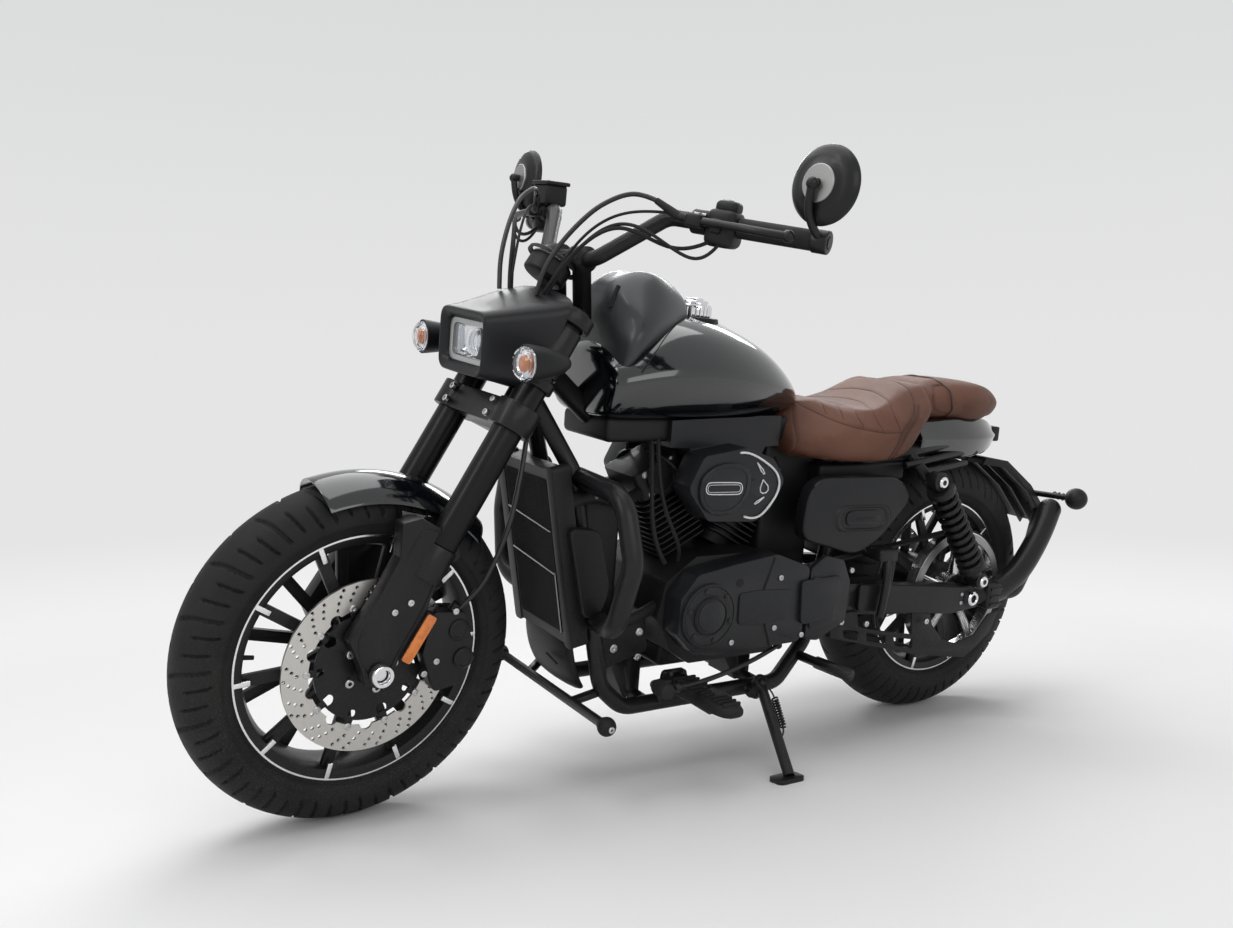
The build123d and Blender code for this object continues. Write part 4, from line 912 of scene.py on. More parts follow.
    # -- finishing
    @classmethod
    def finish(
        cls,
        piece: bpy.types.Object,
        name: str,
        body: Body,
        finish: Finish,
        replaces: Sequence[str] = (),
        laid_out: bool = True,
        angle: float = 34.0,
        centre: Matrix | None = None,
    ) -> None:
        """Names, places, shades, dresses and hangs a piece.

        Args:
            piece: The piece.
            name: Its name.
            body: The body that it rides on.
            finish: What it is finished in.
            replaces: CAD nodes that it stands for.
            laid_out: Whether it was modelled in the upright frame and is still to be set down.
            angle: Shading angle in degrees.
            centre: Frame of a turned finish's axis.
        """
        if laid_out:
            piece.data.transform(cls.rig.matrix(body))
        cls.smooth(piece, angle)
        piece.name = name
        piece.data.name = name
        piece.data.materials.clear()
        piece.data.materials.append(finish.material(centre, "_" + name if centre else ""))
        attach(piece, body.value)
        if replaces:
            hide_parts(*replaces)
        cls.tally += 1
        LOG.info("%s: %d faces on %s", name, len(piece.data.polygons), body.value)

    @classmethod
    def of_node(cls, node: str, flatten: bool = True) -> bpy.types.Object:
        """Returns a merged copy of a CAD node's mesh.

        Args:
            node: The node.
            flatten: Whether flat regions are dissolved to single faces, which a bevel needs.

        Returns:
            The copy, in the parked frame.
        """
        source = FRAME_NODES[node]
        copy = bpy.data.objects.new(node + "_copy", source.data.copy())
        bpy.context.scene.collection.objects.link(copy)
        shape = bmesh.new()
        shape.from_mesh(copy.data)
        bmesh.ops.remove_doubles(shape, verts=shape.verts, dist=1e-5)
        if flatten:
            bmesh.ops.dissolve_limit(
                shape, angle_limit=math.radians(0.6), verts=shape.verts, edges=shape.edges,
            )
        shape.to_mesh(copy.data)
        shape.free()
        return copy


FRAME_NODES: dict[str, bpy.types.Object] = {}


# ------------------------------------------------------------------ studio
@dataclass
class Studio:
    """Pale floor, soft lamps, background and camera."""

    eye: Vector = point(2.0199, 1.8265, 0.3851)  # from the rear axle
    yaw: float = 237.49
    pitch: float = -2.28
    roll: float = 0.15
    lens: float = 32.07
    sensor: float = 36.0
    backdrop: float = 0.785
    ambient: float = 0.38

    def build(self, rig: Rig) -> None:
        """Builds the whole studio around the machine."""
        self.make_world()
        self.make_floor()
        self.make_lamps()
        self.make_camera(rig.rear_axle + self.eye)
        bpy.context.scene.view_settings.view_transform = "Standard"

    def seen(self, g: Graph) -> bpy.types.NodeSocket:
        """Returns 1 for rays that show the background: camera, glossy and transmitted ones."""
        path = g.node("ShaderNodeLightPath").outputs
        first = g.math("MAXIMUM", path["Is Camera Ray"], path["Is Glossy Ray"])
        return g.math("MAXIMUM", first, path["Is Transmission Ray"])

    def make_world(self) -> None:
        """Builds the world: a pale wall that the eye sees and an even fill that lights the machine."""
        world = bpy.data.worlds.new("studio_wall")
        world.use_nodes = True
        g = Graph(world.node_tree)
        world.node_tree.nodes.clear()
        up = g.node(
            "ShaderNodeSeparateXYZ", {0: g.node("ShaderNodeTexCoord").outputs["Generated"]},
        ).outputs[2]
        wall = g.blend(g.ramp(up, 0.0, 0.5), (self.backdrop,) * 3 + (1.0,), (0.685, 0.69, 0.695, 1.0))
        fill = g.node("ShaderNodeBackground", {"Color": (1.0, 1.0, 1.0, 1.0), "Strength": self.ambient})
        seen = g.node("ShaderNodeBackground", {"Color": wall, "Strength": 1.0})
        mixed = g.node("ShaderNodeMixShader", {0: self.seen(g), 1: fill.outputs[0], 2: seen.outputs[0]})
        g.node("ShaderNodeOutputWorld", {0: mixed.outputs[0]})
        bpy.context.scene.world = world

    def make_floor(self) -> None:
        """Builds the floor, which fades into the wall with distance."""
        Bench.clear()
        bpy.ops.mesh.primitive_plane_add(size=60.0)
        floor = bpy.context.object
        floor.name = "studio_floor"
        made = bpy.data.materials.new("studio_floor")
        made.use_nodes = True
        g = Graph(made.node_tree)
        shader = made.node_tree.nodes["Principled BSDF"]
        place = g.node("ShaderNodeTexCoord").outputs["Object"]
        speck = g.noise(place, 3.0)
        tone = g.blend(speck, (0.86, 0.86, 0.86, 1.0), (0.885, 0.885, 0.885, 1.0))
        g.tree.links.new(tone, shader.inputs["Base Color"])
        shader.inputs["Roughness"].default_value = 0.55
        shader.inputs["Specular IOR Level"].default_value = 0.25
        far = g.node("ShaderNodeVectorMath", {0: place}, operation="LENGTH").outputs["Value"]
        fade = g.math("MULTIPLY", g.ramp(far, 1.0, 2.6), self.seen(g))
        glow = g.blend(g.ramp(far, 1.5, 5.6), (0.9, 0.9, 0.9, 1.0), (self.backdrop,) * 3 + (1.0,))
        wall = g.node("ShaderNodeEmission", {"Color": glow, "Strength": 1.0})
        mixed = g.node("ShaderNodeMixShader", {0: fade, 1: shader.outputs[0], 2: wall.outputs[0]})
        g.tree.links.new(mixed.outputs[0], made.node_tree.nodes["Material Output"].inputs[0])
        floor.data.materials.append(made)

    def make_lamps(self) -> None:
        """Hangs a large soft box overhead, two long strips and a side fill."""
        lamps = (
            ("overhead_box", (0.3, -0.4, 3.3), (0.0, 0.0, 0.4), 3.6, 3.0, 62.0),
            ("rear_strip", (-1.6, -2.2, 2.4), (0.1, 0.0, 0.7), 2.8, 0.5, 34.0),
            ("front_strip", (2.6, 0.4, 2.3), (0.4, 0.0, 0.6), 0.5, 2.4, 20.0),
            ("side_fill", (0.6, 3.4, 1.8), (0.0, 0.0, 0.5), 3.0, 1.6, 26.0),
        )
        for name, place, target, wide, high, power in lamps:
            Bench.clear()
            bpy.ops.object.light_add(type="AREA", location=place)
            lamp = bpy.context.object
            lamp.name = name
            lamp.data.shape = "RECTANGLE"
            lamp.data.size = wide
            lamp.data.size_y = high
            lamp.data.energy = power
            lamp.rotation_euler = (Vector(place) - Vector(target)).to_track_quat("Z", "Y").to_euler()

    def make_camera(self, place: Vector) -> None:
        """Sets the camera at the viewing angle."""
        yaw, pitch, roll = (math.radians(a) for a in (self.yaw, self.pitch, self.roll))
        ahead = Vector((math.cos(yaw) * math.cos(pitch), math.sin(yaw) * math.cos(pitch), math.sin(pitch)))
        right = ahead.cross(Vector((0, 0, 1))).normalized()
        up = right.cross(ahead)
        turned = Matrix.Rotation(roll, 3, ahead)
        turn = Matrix((turned @ right, turned @ up, -ahead)).transposed()
        Bench.clear()
        bpy.ops.object.camera_add(location=place, rotation=turn.to_euler())
        camera = bpy.context.object
        camera.name = "studio_camera"
        camera.data.lens = self.lens
        camera.data.sensor_width = self.sensor
        camera.data.clip_start = 0.01
        bpy.context.scene.camera = camera


# ------------------------------------------------------------------ shells that follow the frame
@dataclass(frozen=True)
class Shell:
    """A rigid node that keeps its form and gets rounded edges, smooth shading and its finish."""

    node: str
    body: Body
    finish: Finish
    edge: float = 0.0
    angle: float = 32.0

    def build(self) -> None:
        """Builds the dressed copy that stands for the node."""
        piece = Bench.of_node(self.node, bool(self.edge))
        if self.edge:
            Bench.bevel(piece, self.edge, 2, 32.0)
        Bench.finish(
            piece, self.node + "_shell", self.body, self.finish, (self.node,), laid_out=False,
            angle=self.angle,
        )


F = Finishes
SHELLS = (
    Shell("frame", Body.FRAME, F.SATIN),
    Shell("engine_case", Body.FRAME, F.ENGINE, 0.002),
    Shell("engine_cylinders", Body.FRAME, F.ENGINE, 0.0008),
    Shell("engine_cover", Body.FRAME, F.COVER, 0.002),
    Shell("belt_cover", Body.FRAME, F.COVER, 0.002),
    Shell("airbox_covers", Body.FRAME, F.COVER, 0.003),
    Shell("radiator", Body.FRAME, F.PLASTIC, 0.002),
    Shell("radiator_grille", Body.FRAME, F.PLASTIC, 0.0),
    Shell("crash_guard", Body.FRAME, F.SATIN),
    Shell("exhaust", Body.FRAME, F.SATIN),
    Shell("rear_fender", Body.FRAME, F.GLOSS, 0.001),
    Shell("tail_lamp", Body.FRAME, F.RED, 0.001),
    Shell("swingarm", Body.FRAME, F.SATIN, 0.002),
    Shell("belt_guard", Body.FRAME, F.PLASTIC, 0.001),
    Shell("drive_belt", Body.FRAME, F.RUBBER),
    Shell("rear_hugger", Body.FRAME, F.PLASTIC, 0.001),
    Shell("rear_signals", Body.FRAME, F.PLASTIC, 0.0),
    Shell("rear_caliper", Body.FRAME, F.SATIN, 0.002),
    Shell("foot_controls", Body.FRAME, F.SATIN, 0.0),
    Shell("fork_lowers", Body.STEERING, F.SATIN, 0.003),
    Shell("triple_clamps", Body.STEERING, F.SATIN, 0.002),
    Shell("handlebar", Body.STEERING, F.SATIN),
    Shell("grips", Body.STEERING, F.RUBBER),
    Shell("front_fender", Body.STEERING, F.GLOSS, 0.001),
    Shell("front_caliper", Body.STEERING, F.SATIN, 0.003),
    Shell("gauge", Body.STEERING, F.PLASTIC, 0.001),
    Shell("front_rim", Body.FRONT_WHEEL, F.SATIN, 0.001),
    Shell("rear_rim", Body.REAR_WHEEL, F.SATIN, 0.001),
    Shell("rear_pulley", Body.REAR_WHEEL, F.ALLOY),
    Shell("side_stand", Body.STAND, F.SATIN, 0.001),
)


# ------------------------------------------------------------------ sub-assemblies
@dataclass
class Assembly:
    """A group of pieces that are built together and ride on one body."""

    body: Body = Body.FRAME

    def build(self) -> None:
        """Builds the pieces; each sub-assembly says how."""
        raise NotImplementedError

    def add(
        self,
        pieces: bpy.types.Object | list[bpy.types.Object],
        name: str,
        finish: Finish,
        replaces: Sequence[str] = (),
        both: bool = False,
        angle: float = 34.0,
        centre: Matrix | None = None,
        body: Body | None = None,
    ) -> None:
        """Joins pieces laid out in the upright frame and finishes them as one.

        Args:
            pieces: One piece, or those to join.
            name: Name of the whole.
            finish: What it is finished in.
            replaces: CAD nodes that it stands for.
            both: Whether it is mirrored to the other side as well.
            angle: Shading angle in degrees.
            centre: Frame of a turned finish's axis.
            body: The body that it rides on, where that is not the sub-assembly's own.
        """
        piece = Bench.join(pieces) if isinstance(pieces, list) else pieces
        if both:
            piece = Bench.mirror(piece)
        Bench.finish(piece, name, body or self.body, finish, replaces, angle=angle, centre=centre)


STEER_FOOT = Vector((1.52, 0.0, 0.0))
STEER_UP = Vector((-0.5, 0.0, 0.8660254))
STEER_AHEAD = Vector((0.8660254, 0.0, 0.5))
LEFT = Vector((0.0, 1.0, 0.0))


def on_fork(along: float, ahead: float = 0.0, side: float = 0.0) -> Vector:
    """Returns the point at a distance along the steering axis, ahead of it and to the left."""
    return STEER_FOOT + STEER_UP * along + STEER_AHEAD * ahead + LEFT * side


def rounded(points: Sequence[Point], corner: float | Sequence[float], count: int = 5) -> list[Vector]:
    """Returns a closed outline with its corners rounded.

    Args:
        points: Corners of the outline, in order.
        corner: How far from a corner its rounding starts, for all corners or for each.
        count: Points in each rounding; a corner of 0 stays one point.

    Returns:
        The points of the outline.
    """
    points = [Vector(p) for p in points]
    corners = [corner] * len(points) if isinstance(corner, float) else corner
    made: list[Vector] = []
    for before, here, after, size in zip(points[-1:] + points[:-1], points, points[1:] + points[:1], corners):
        if not size:
            made.append(here)
            continue
        first = here.lerp(before, min(0.5, size / (before - here).length))
        last = here.lerp(after, min(0.5, size / (after - here).length))
        for step in range(count):
            t = step / (count - 1)
            made.append(first * (1 - t) ** 2 + here * (2 * t * (1 - t)) + last * t * t)
    return made


def seen_from_left(outline: Sequence[tuple[float, float]], side: float, corner: float = 0.0) -> list[Vector]:
    """Returns an outline of (x, z) points in the upright plane at this distance to the left."""
    points = [Vector((x, side, z)) for x, z in outline]
    return rounded(points, corner) if corner else points


def around(axle: Vector, radius: float, angle: float, side: float) -> Vector:
    """Returns the point at a radius and an angle (degrees, from forwards to up) about an axle along Y."""
    turn = math.radians(angle)
    return axle + Vector((radius * math.cos(turn), side, radius * math.sin(turn)))


@dataclass
class Tyre(Assembly):
    """A radial tyre with a round crown and a directional tread of long and short grooves."""

    node: str = "front_tyre"
    body: Body = Body.FRONT_WHEEL
    axle: Vector = point(*FRONT_AXLE)
    radius: float = 0.3
    crown: float = 0.059
    bead: float = 0.208
    rim_half: float = 0.045
    lip: float = 0.0093
    steps: int = 900
    across: int = 54
    repeats: int = 20
    depth: float = 0.0045
    # each groove: shift along the repeat, inner and outer distance from the crown line, width
    grooves: tuple = ((0.0, 0.003, 0.92, 0.0032), (0.34, 0.3, 0.86, 0.0024), (0.67, 0.4, 0.95, 0.0024))
    # raised rings of the sidewall: share of the way from the crown to the bead, height
    wall: tuple = (
        (0.12, 0.0), (0.15, 0.0011), (0.2, 0.0011), (0.23, 0.0), (0.5, 0.0008), (0.72, 0.0), (0.75, 0.0009),
        (0.8, 0.0009), (0.83, 0.0), (0.94, 0.0),
    )

    def profile(self) -> list[tuple[float, float]]:
        """Returns the section: crown, sidewalls with raised rings, beads and inner wall."""
        middle = self.radius - self.crown
        points = []
        for step in range(self.across + 1):
            angle = math.pi * (step / self.across - 0.5)
            points.append((middle + self.crown * math.cos(angle), self.crown * math.sin(angle)))
        foot = self.bead + self.lip
        for side in (1.0, -1.0):
            wall = []
            for share, proud in self.wall:
                radius = middle + (foot - middle) * share
                half = self.crown + (self.rim_half + 0.003 - self.crown) * share
                bulge = 0.0025 * math.sin(math.pi * share)
                wall.append((radius, side * (half + proud + bulge)))
            wall += [(foot, side * (self.rim_half + 0.0025)), (foot, side * (self.rim_half - 0.005))]
            points += wall if side > 0 else wall[::-1]
        return points

    def tread(self, piece: bpy.types.Object) -> None:
        """Presses the grooves into the crown."""
        mesh = piece.data
        flat = np.empty(len(mesh.vertices) * 3)
        mesh.vertices.foreach_get("co", flat)
        place = flat.reshape(-1, 3) - np.array(self.axle)
        reach = np.hypot(place[:, 0], place[:, 2])
        turn = np.arctan2(place[:, 2], place[:, 0])
        middle = self.radius - self.crown
        bend = np.arctan2(place[:, 1], reach - middle)
        half_width = math.pi / 2 * self.crown
        away = np.abs(bend) * self.crown / half_width
        pitch = math.tau / self.repeats
        press = np.zeros(len(place))
        on_crown = (reach > middle - 0.001) & (np.hypot(reach - middle, place[:, 1]) > self.crown * 0.9)
        for shift, first, last, width in self.grooves:
            lean = 0.034 * away ** 1.35 + 0.004 * np.sin(away * 5.0)
            stagger = np.where(bend > 0, 0.0, 0.5)
            along = (turn / pitch - shift - stagger) * pitch * self.radius - lean
            along = (along / (pitch * self.radius) + 0.5) % 1.0 - 0.5
            gap = np.abs(along) * pitch * self.radius
            ends = np.clip(np.minimum(away - first, last - away) / 0.07, 0, 1)
            wide = width * (0.35 + 0.65 * ends)
            cut = np.clip((wide - gap) / 0.0014 + 0.5, 0, 1) * ends
            press = np.maximum(press, cut * cut * (3 - 2 * cut))
        press = np.where(on_crown, press, 0.0) * self.depth
        normal = np.stack([np.cos(bend) * np.cos(turn), np.sin(bend), np.cos(bend) * np.sin(turn)], 1)
        mesh.vertices.foreach_set("co", (place - normal * press[:, None] + np.array(self.axle)).ravel())
        mesh.update()

    def build(self) -> None:
        """Spins the section, presses the tread and dresses the tyre."""
        piece = Bench.lathe(self.profile(), self.axle, (0, 1, 0), self.steps)
        self.tread(piece)
        self.add(piece, self.node + "_tread", F.TYRE, (self.node,), angle=50.0)


@dataclass
class RearTyre(Tyre):
    """The wider rear tyre."""

    node: str = "rear_tyre"
    body: Body = Body.REAR_WHEEL
    axle: Vector = point(*REAR_AXLE)
    radius: float = 0.305
    crown: float = 0.075
    bead: float = 0.196
    rim_half: float = 0.058
    across: int = 64
    repeats: int = 18


@dataclass
class WheelTrim(Assembly):
    """The cut line round a rim, its cut tabs and the valve."""

    label: str = "front"
    body: Body = Body.FRONT_WHEEL
    axle: Vector = point(*FRONT_AXLE)
    lip: float = 0.217
    half: float = 0.045
    tabs: int = 10
    phase: float = -4.0
    line: float = 0.0034
    tab_long: float = 0.03
    tab_wide: float = 0.0085

    def build(self) -> None:
        """Builds rim lines and tabs on both sides, and the valve."""
        rings = []
        inner, outer = self.lip - self.line, self.lip - 0.0003
        for side in (1.0, -1.0):
            low, high = side * (self.half - 0.001), side * (self.half + 0.0007)
            section = [(inner, low), (inner, high), (outer, high), (outer, low)]
            rings.append(Bench.lathe(section, self.axle, LEFT, 180))
        centre = Bench.rig.matrix(self.body) @ Matrix.Translation(self.axle) @ Matrix.Rotation(
            math.pi / 2, 4, "X",
        )
        self.add(rings, self.label + "_rim_line", F.ALLOY, centre=centre)
        tabs = []
        for number in range(self.tabs * 2):
            side = 1.0 if number % 2 == 0 else -1.0
            tab = Bench.brick(
                (self.lip - self.tab_long, side * self.half - 0.0055, -self.tab_wide / 2),
                (self.lip - 0.0008, side * self.half + 0.0006, self.tab_wide / 2), 0.0009, 2,
            )
            turn = Matrix.Rotation(-math.radians(self.phase + number * 180.0 / self.tabs), 4, "Y")
            tab.data.transform(Matrix.Translation(self.axle) @ turn)
            tabs.append(tab)
        self.add(tabs, self.label + "_rim_tabs", F.ALLOY, centre=centre)
        root = around(self.axle, self.lip - 0.012, self.phase + 9.0, 0.004)
        tip = around(self.axle, self.lip - 0.046, self.phase + 9.0, 0.01)
        stem = [
            Bench.drum(root, root.lerp(tip, 0.55), 0.005, 0.0035, 16, 0.0005),
            Bench.drum(root.lerp(tip, 0.5), tip, 0.0042, 0.0038, 12, 0.0006),
        ]
        self.add(stem, self.label + "_valve", F.RUBBER)


@dataclass
class RearWheelTrim(WheelTrim):
    """The rear rim's trim."""

    label: str = "rear"
    body: Body = Body.REAR_WHEEL
    axle: Vector = point(*REAR_AXLE)
    lip: float = 0.205
    half: float = 0.058


@dataclass
class FrontDisc(Assembly):
    """A drilled steel band on bobbins, carried by a black spider."""

    node: str = "front_disc"
    body: Body = Body.FRONT_WHEEL
    axle: Vector = point(*FRONT_AXLE)
    radius: float = 0.15
    band: float = 0.045
    thick: float = 0.0045
    side: float = 0.075
    hub: float = 0.06
    rows: int = 30
    arms: int = 10
    hole: float = 0.0032
    # holes of the odd and of the even rows, as shares of the band's width
    odd_row: tuple = (0.3, 0.52, 0.72, 0.9)
    even_row: tuple = (0.42, 0.62, 0.82)
    row_twist: float = 3.1
    # how far a cutter stands out at either face
    spare: float = 0.004
    bobbin: tuple = (
        (0.0028, -0.0035), (0.0062, -0.0035), (0.0062, 0.0038), (0.005, 0.0048), (0.0028, 0.0048),
    )

    @property
    def inner(self) -> float:
        """Returns the band's inner radius."""
        return self.radius - self.band

    def disc_centre(self) -> Matrix:
        """Returns the frame of the disc's axis, for its turned finish."""
        return Bench.rig.matrix(self.body) @ Matrix.Translation(self.axle) @ Matrix.Rotation(
            math.pi / 2, 4, "X",
        )

    def washer(self, hole: float, radius: float, half: float, steps: int) -> bpy.types.Object:
        """Returns a flat ring about the axle, at the disc's distance to the side."""
        low, high = self.side - half, self.side + half
        return Bench.lathe([(hole, low), (radius, low), (radius, high), (hole, high)], self.axle, LEFT, steps)

    def drill(self, radius: float, angle: float, half: float, size: float, sides: int) -> bpy.types.Object:
        """Returns a cutter through the disc, at a radius and an angle about the axle."""
        spot = around(self.axle, radius, angle, 0.0)
        low, high = self.side - half - self.spare, self.side + half + self.spare
        return Bench.drum(spot + LEFT * low, spot + LEFT * high, size, None, sides)

    def make_band(self) -> bpy.types.Object:
        """Builds the drilled band with its scalloped inner edge."""
        half = self.thick / 2
        band = self.washer(self.inner, self.radius, half, 160)
        cutters = []
        for row in range(self.rows):
            for step, share in enumerate(self.odd_row if row % 2 else self.even_row):
                angle = row * 360.0 / self.rows + step * self.row_twist
                cutters.append(self.drill(self.inner + self.band * share, angle, half, self.hole, 12))
        for arm in range(self.arms):
            cutters.append(self.drill(self.inner - 0.002, (arm + 0.5) * 360.0 / self.arms, half, 0.011, 24))
        Bench.carve(band, Bench.join(cutters))
        return Bench.bevel(band, 0.0003, 1, 50.0)

    def make_spider(self) -> bpy.types.Object:
        """Builds the carrier: a hub plate with round windows and one lug for each bobbin."""
        half = self.thick * 0.42
        plate = self.washer(self.hub * 0.5, self.inner - 0.009, half, 120)
        cutters, lugs = [], []
        middle = Matrix.Translation(LEFT * self.side)
        flat = middle @ Matrix.Diagonal((1, 0.3, 1, 1)) @ middle.inverted()
        for arm in range(self.arms):
            angle = arm * 360.0 / self.arms
            cutters.append(self.drill(self.inner - 0.019, angle, half, 0.0105 if arm % 2 else 0.0075, 28))
            root = around(self.axle, self.inner - 0.014, angle, self.side)
            tip = around(self.axle, self.inner + 0.004, angle, self.side)
            lug = Bench.drum(root, tip, 0.0075, 0.0055, 16)
            lug.data.transform(flat)
            lugs.append(lug)
        Bench.carve(plate, Bench.join(cutters))
        return Bench.bevel(Bench.join([plate, *lugs]), 0.0008, 2, 40.0)

    def make_bobbins(self) -> bpy.types.Object:
        """Builds the floating bobbins and the bolts that hold the spider to the hub."""
        places = []
        for arm in range(self.arms):
            spot = around(self.axle, self.inner + 0.003, arm * 360.0 / self.arms, self.side)
            places.append(Bench.aim(spot, LEFT))
        for number in range(5):
            spot = around(self.axle, self.hub * 0.72, (number + 0.5) * 72.0, self.side + 0.002)
            places.append(Bench.aim(spot, LEFT, 1.25))
        return Bench.scatter(Bench.lathe(self.bobbin, (0, 0, 0), (0, 0, 1), 20), places)

    def build(self) -> None:
        """Builds band, spider and bobbins."""
        self.add(self.make_band(), self.node + "_band", F.DISC, (self.node,), centre=self.disc_centre())
        self.add(self.make_spider(), self.node + "_spider", F.SATIN)
        self.add(self.make_bobbins(), self.node + "_bobbins", F.ZINC)


@dataclass
class RearDisc(FrontDisc):
    """The smaller rear disc on the right."""

    node: str = "rear_disc"
    body: Body = Body.REAR_WHEEL
    axle: Vector = point(*REAR_AXLE)
    radius: float = 0.12
    band: float = 0.038
    side: float = -0.092
    rows: int = 24
    arms: int = 6


def spline(points: Sequence[Point], count: int) -> list[Vector]:
    """Returns count points along a smooth line that passes through the given points."""
    knots = [Vector(p) for p in points]
    knots = [knots[0] * 2 - knots[1], *knots, knots[-1] * 2 - knots[-2]]
    made = []
    for step in range(count):
        spot = step / (count - 1) * (len(points) - 1)
        first = min(int(spot), len(points) - 2)
        t = spot - first
        a, b, c, d = knots[first : first + 4]
        made.append(
            0.5 * (
                2 * b + (c - a) * t + (2 * a - 5 * b + 4 * c - d) * t * t + (3 * b - a - 3 * c + d) * t ** 3
            )
        )
    return made


@dataclass
class Saddle(Assembly):
    """The rider's seat: a padded leather shell with a quilted top, sewn channels and thread."""

    node: str = "seat"
    name: str = "rider_seat"
    voxel: float = 0.0075
    shrink: float = 0.004
    pressure: float = 4.0
    cap: float = 0.01
    channel: float = 0.0015
    channel_wide: float = 0.0042
    stitch: float = 0.0062
    # seams on the left: points (x, z) seen from the side, and whether thread shows
    side_seams: tuple = (
        (
            (
                (0.503, 0.743), (0.491, 0.734), (0.471, 0.724), (0.447, 0.713), (0.417, 0.703),
                (0.384, 0.696), (0.342, 0.69), (0.312, 0.687), (0.272, 0.688),
            ),
            False,
        ),
        (
            (
                (0.292, 0.624), (0.29, 0.636), (0.283, 0.655), (0.278, 0.674), (0.269, 0.692), (0.251, 0.709),
                (0.233, 0.727), (0.22, 0.745),
            ),
            True,
        ),
        (
            (
                (0.28, 0.624), (0.278, 0.636), (0.271, 0.655), (0.266, 0.674), (0.257, 0.692), (0.24, 0.709),
                (0.223, 0.727), (0.21, 0.745),
            ),
            True,
        ),
        (
            (
                (0.505, 0.741), (0.515, 0.724), (0.523, 0.705), (0.529, 0.682), (0.532, 0.659), (0.527, 0.64),
                (0.514, 0.626),
            ),
            False,
        ),
    )
    # seams across the top: points (x, y) of the left half
    top_seams: tuple = (
        ((0.196, 0.0), (0.199, 0.055), (0.208, 0.091), (0.218, 0.126)),
        ((0.246, 0.0), (0.248, 0.033), (0.265, 0.087), (0.28, 0.128), (0.278, 0.152)),
        ((0.29, 0.0), (0.293, 0.033), (0.309, 0.077), (0.328, 0.12), (0.316, 0.146)),
        ((0.336, 0.0), (0.34, 0.033), (0.356, 0.08), (0.374, 0.118), (0.368, 0.136)),
        ((0.382, 0.0), (0.386, 0.033), (0.402, 0.084), (0.414, 0.12)),
        ((0.426, 0.0), (0.43, 0.033), (0.444, 0.078), (0.45, 0.106)),
    )
    seam_line: float = 0.0009
    # block of foam that closes the nose from inside: its corners in the upright frame
    foam: tuple = ((0.44, -0.104, 0.634), (0.538, 0.104, 0.7))

    def inflate(self, piece: bpy.types.Object) -> None:
        """Fills the shell by a short cloth simulation and caps how far each point may move.

        Args:
            piece: The shell, remeshed, in the parked frame.
        """
        rest = np.empty(len(piece.data.vertices) * 3)
        piece.data.vertices.foreach_get("co", rest)
        Bench.take(piece)
        cloth = piece.modifiers.new("fill", "CLOTH")
        cloth.settings.quality = 3
        cloth.settings.use_pressure = True
        cloth.settings.uniform_pressure_force = self.pressure
        cloth.settings.effector_weights.gravity = 0.0
        cloth.settings.tension_stiffness = 30.0
        cloth.settings.compression_stiffness = 30.0
        cloth.settings.bending_stiffness = 1.2
        for step in range(1, 13):
            bpy.context.scene.frame_set(step)
        shape = piece.evaluated_get(bpy.context.evaluated_depsgraph_get())
        moved = np.empty(len(rest))
        shape.data.vertices.foreach_get("co", moved)
        Bench.take(piece)
        bpy.ops.object.modifier_apply(modifier="fill")
        bpy.context.scene.frame_set(1)
        rest, moved = rest.reshape(-1, 3), moved.reshape(-1, 3)
        step = moved - rest
        far = np.linalg.norm(step, axis=1, keepdims=True)
        step *= np.minimum(1.0, self.cap / np.maximum(far, 1e-9))
        piece.data.vertices.foreach_set("co", (rest + step).ravel())
        piece.data.update()

    def shell(self) -> bpy.types.Object:
        """Makes the padded shell in the upright frame."""
        piece = Bench.of_node(self.node, False)
        if self.foam:
            block = Bench.brick(*self.foam, 0.01)
            block.data.transform(Bench.rig.park)
            Bench.join([piece, block])
        Bench.apply(piece, "REMESH", mode="VOXEL", voxel_size=self.voxel)
        Bench.apply(piece, "SMOOTH", factor=0.5, iterations=14)
        Bench.apply(piece, "DISPLACE", strength=-self.shrink, mid_level=0.0)
        self.inflate(piece)
        Bench.apply(piece, "SMOOTH", factor=0.5, iterations=3)
        Bench.apply(piece, "SUBSURF", levels=1, render_levels=1)
        piece.data.transform(Bench.rig.park.inverted())
        return piece

    def cast(self, tree: BVHTree, start: Vector, way: Vector) -> tuple[Vector, Vector] | None:
        """Returns the surface point and normal that a ray meets, or None."""
        place, normal, _, _ = tree.ray_cast(start, way)
        return None if place is None else (place, normal)

    def seam_paths(self, tree: BVHTree) -> list[tuple[list[tuple[Vector, Vector]], bool]]:
        """Lays every seam on the surface.

        Args:
            tree: The shell's search tree.

        Returns:
            For each seam its points with normals, and whether thread shows.
        """
        paths = []
        for points, thread in self.side_seams:
            line = spline([(x, 0.0, z) for x, z in points], 90)
            for side in (1.0, -1.0):
                hits = [self.cast(tree, p + Vector((0, side * 0.4, 0)), Vector((0, -side, 0))) for p in line]
                paths.append(([h for h in hits if h], thread))
        for points in self.top_seams:
            half = spline([(x, y, 0.0) for x, y in points], 40)
            line = [Vector((p.x, -p.y, 0.0)) for p in half[::-1]] + half[1:]
            hits = [self.cast(tree, p + Vector((0, 0, 1.2)), Vector((0, 0, -1))) for p in line]
            paths.append(([h for h in hits if h], False))
        return paths

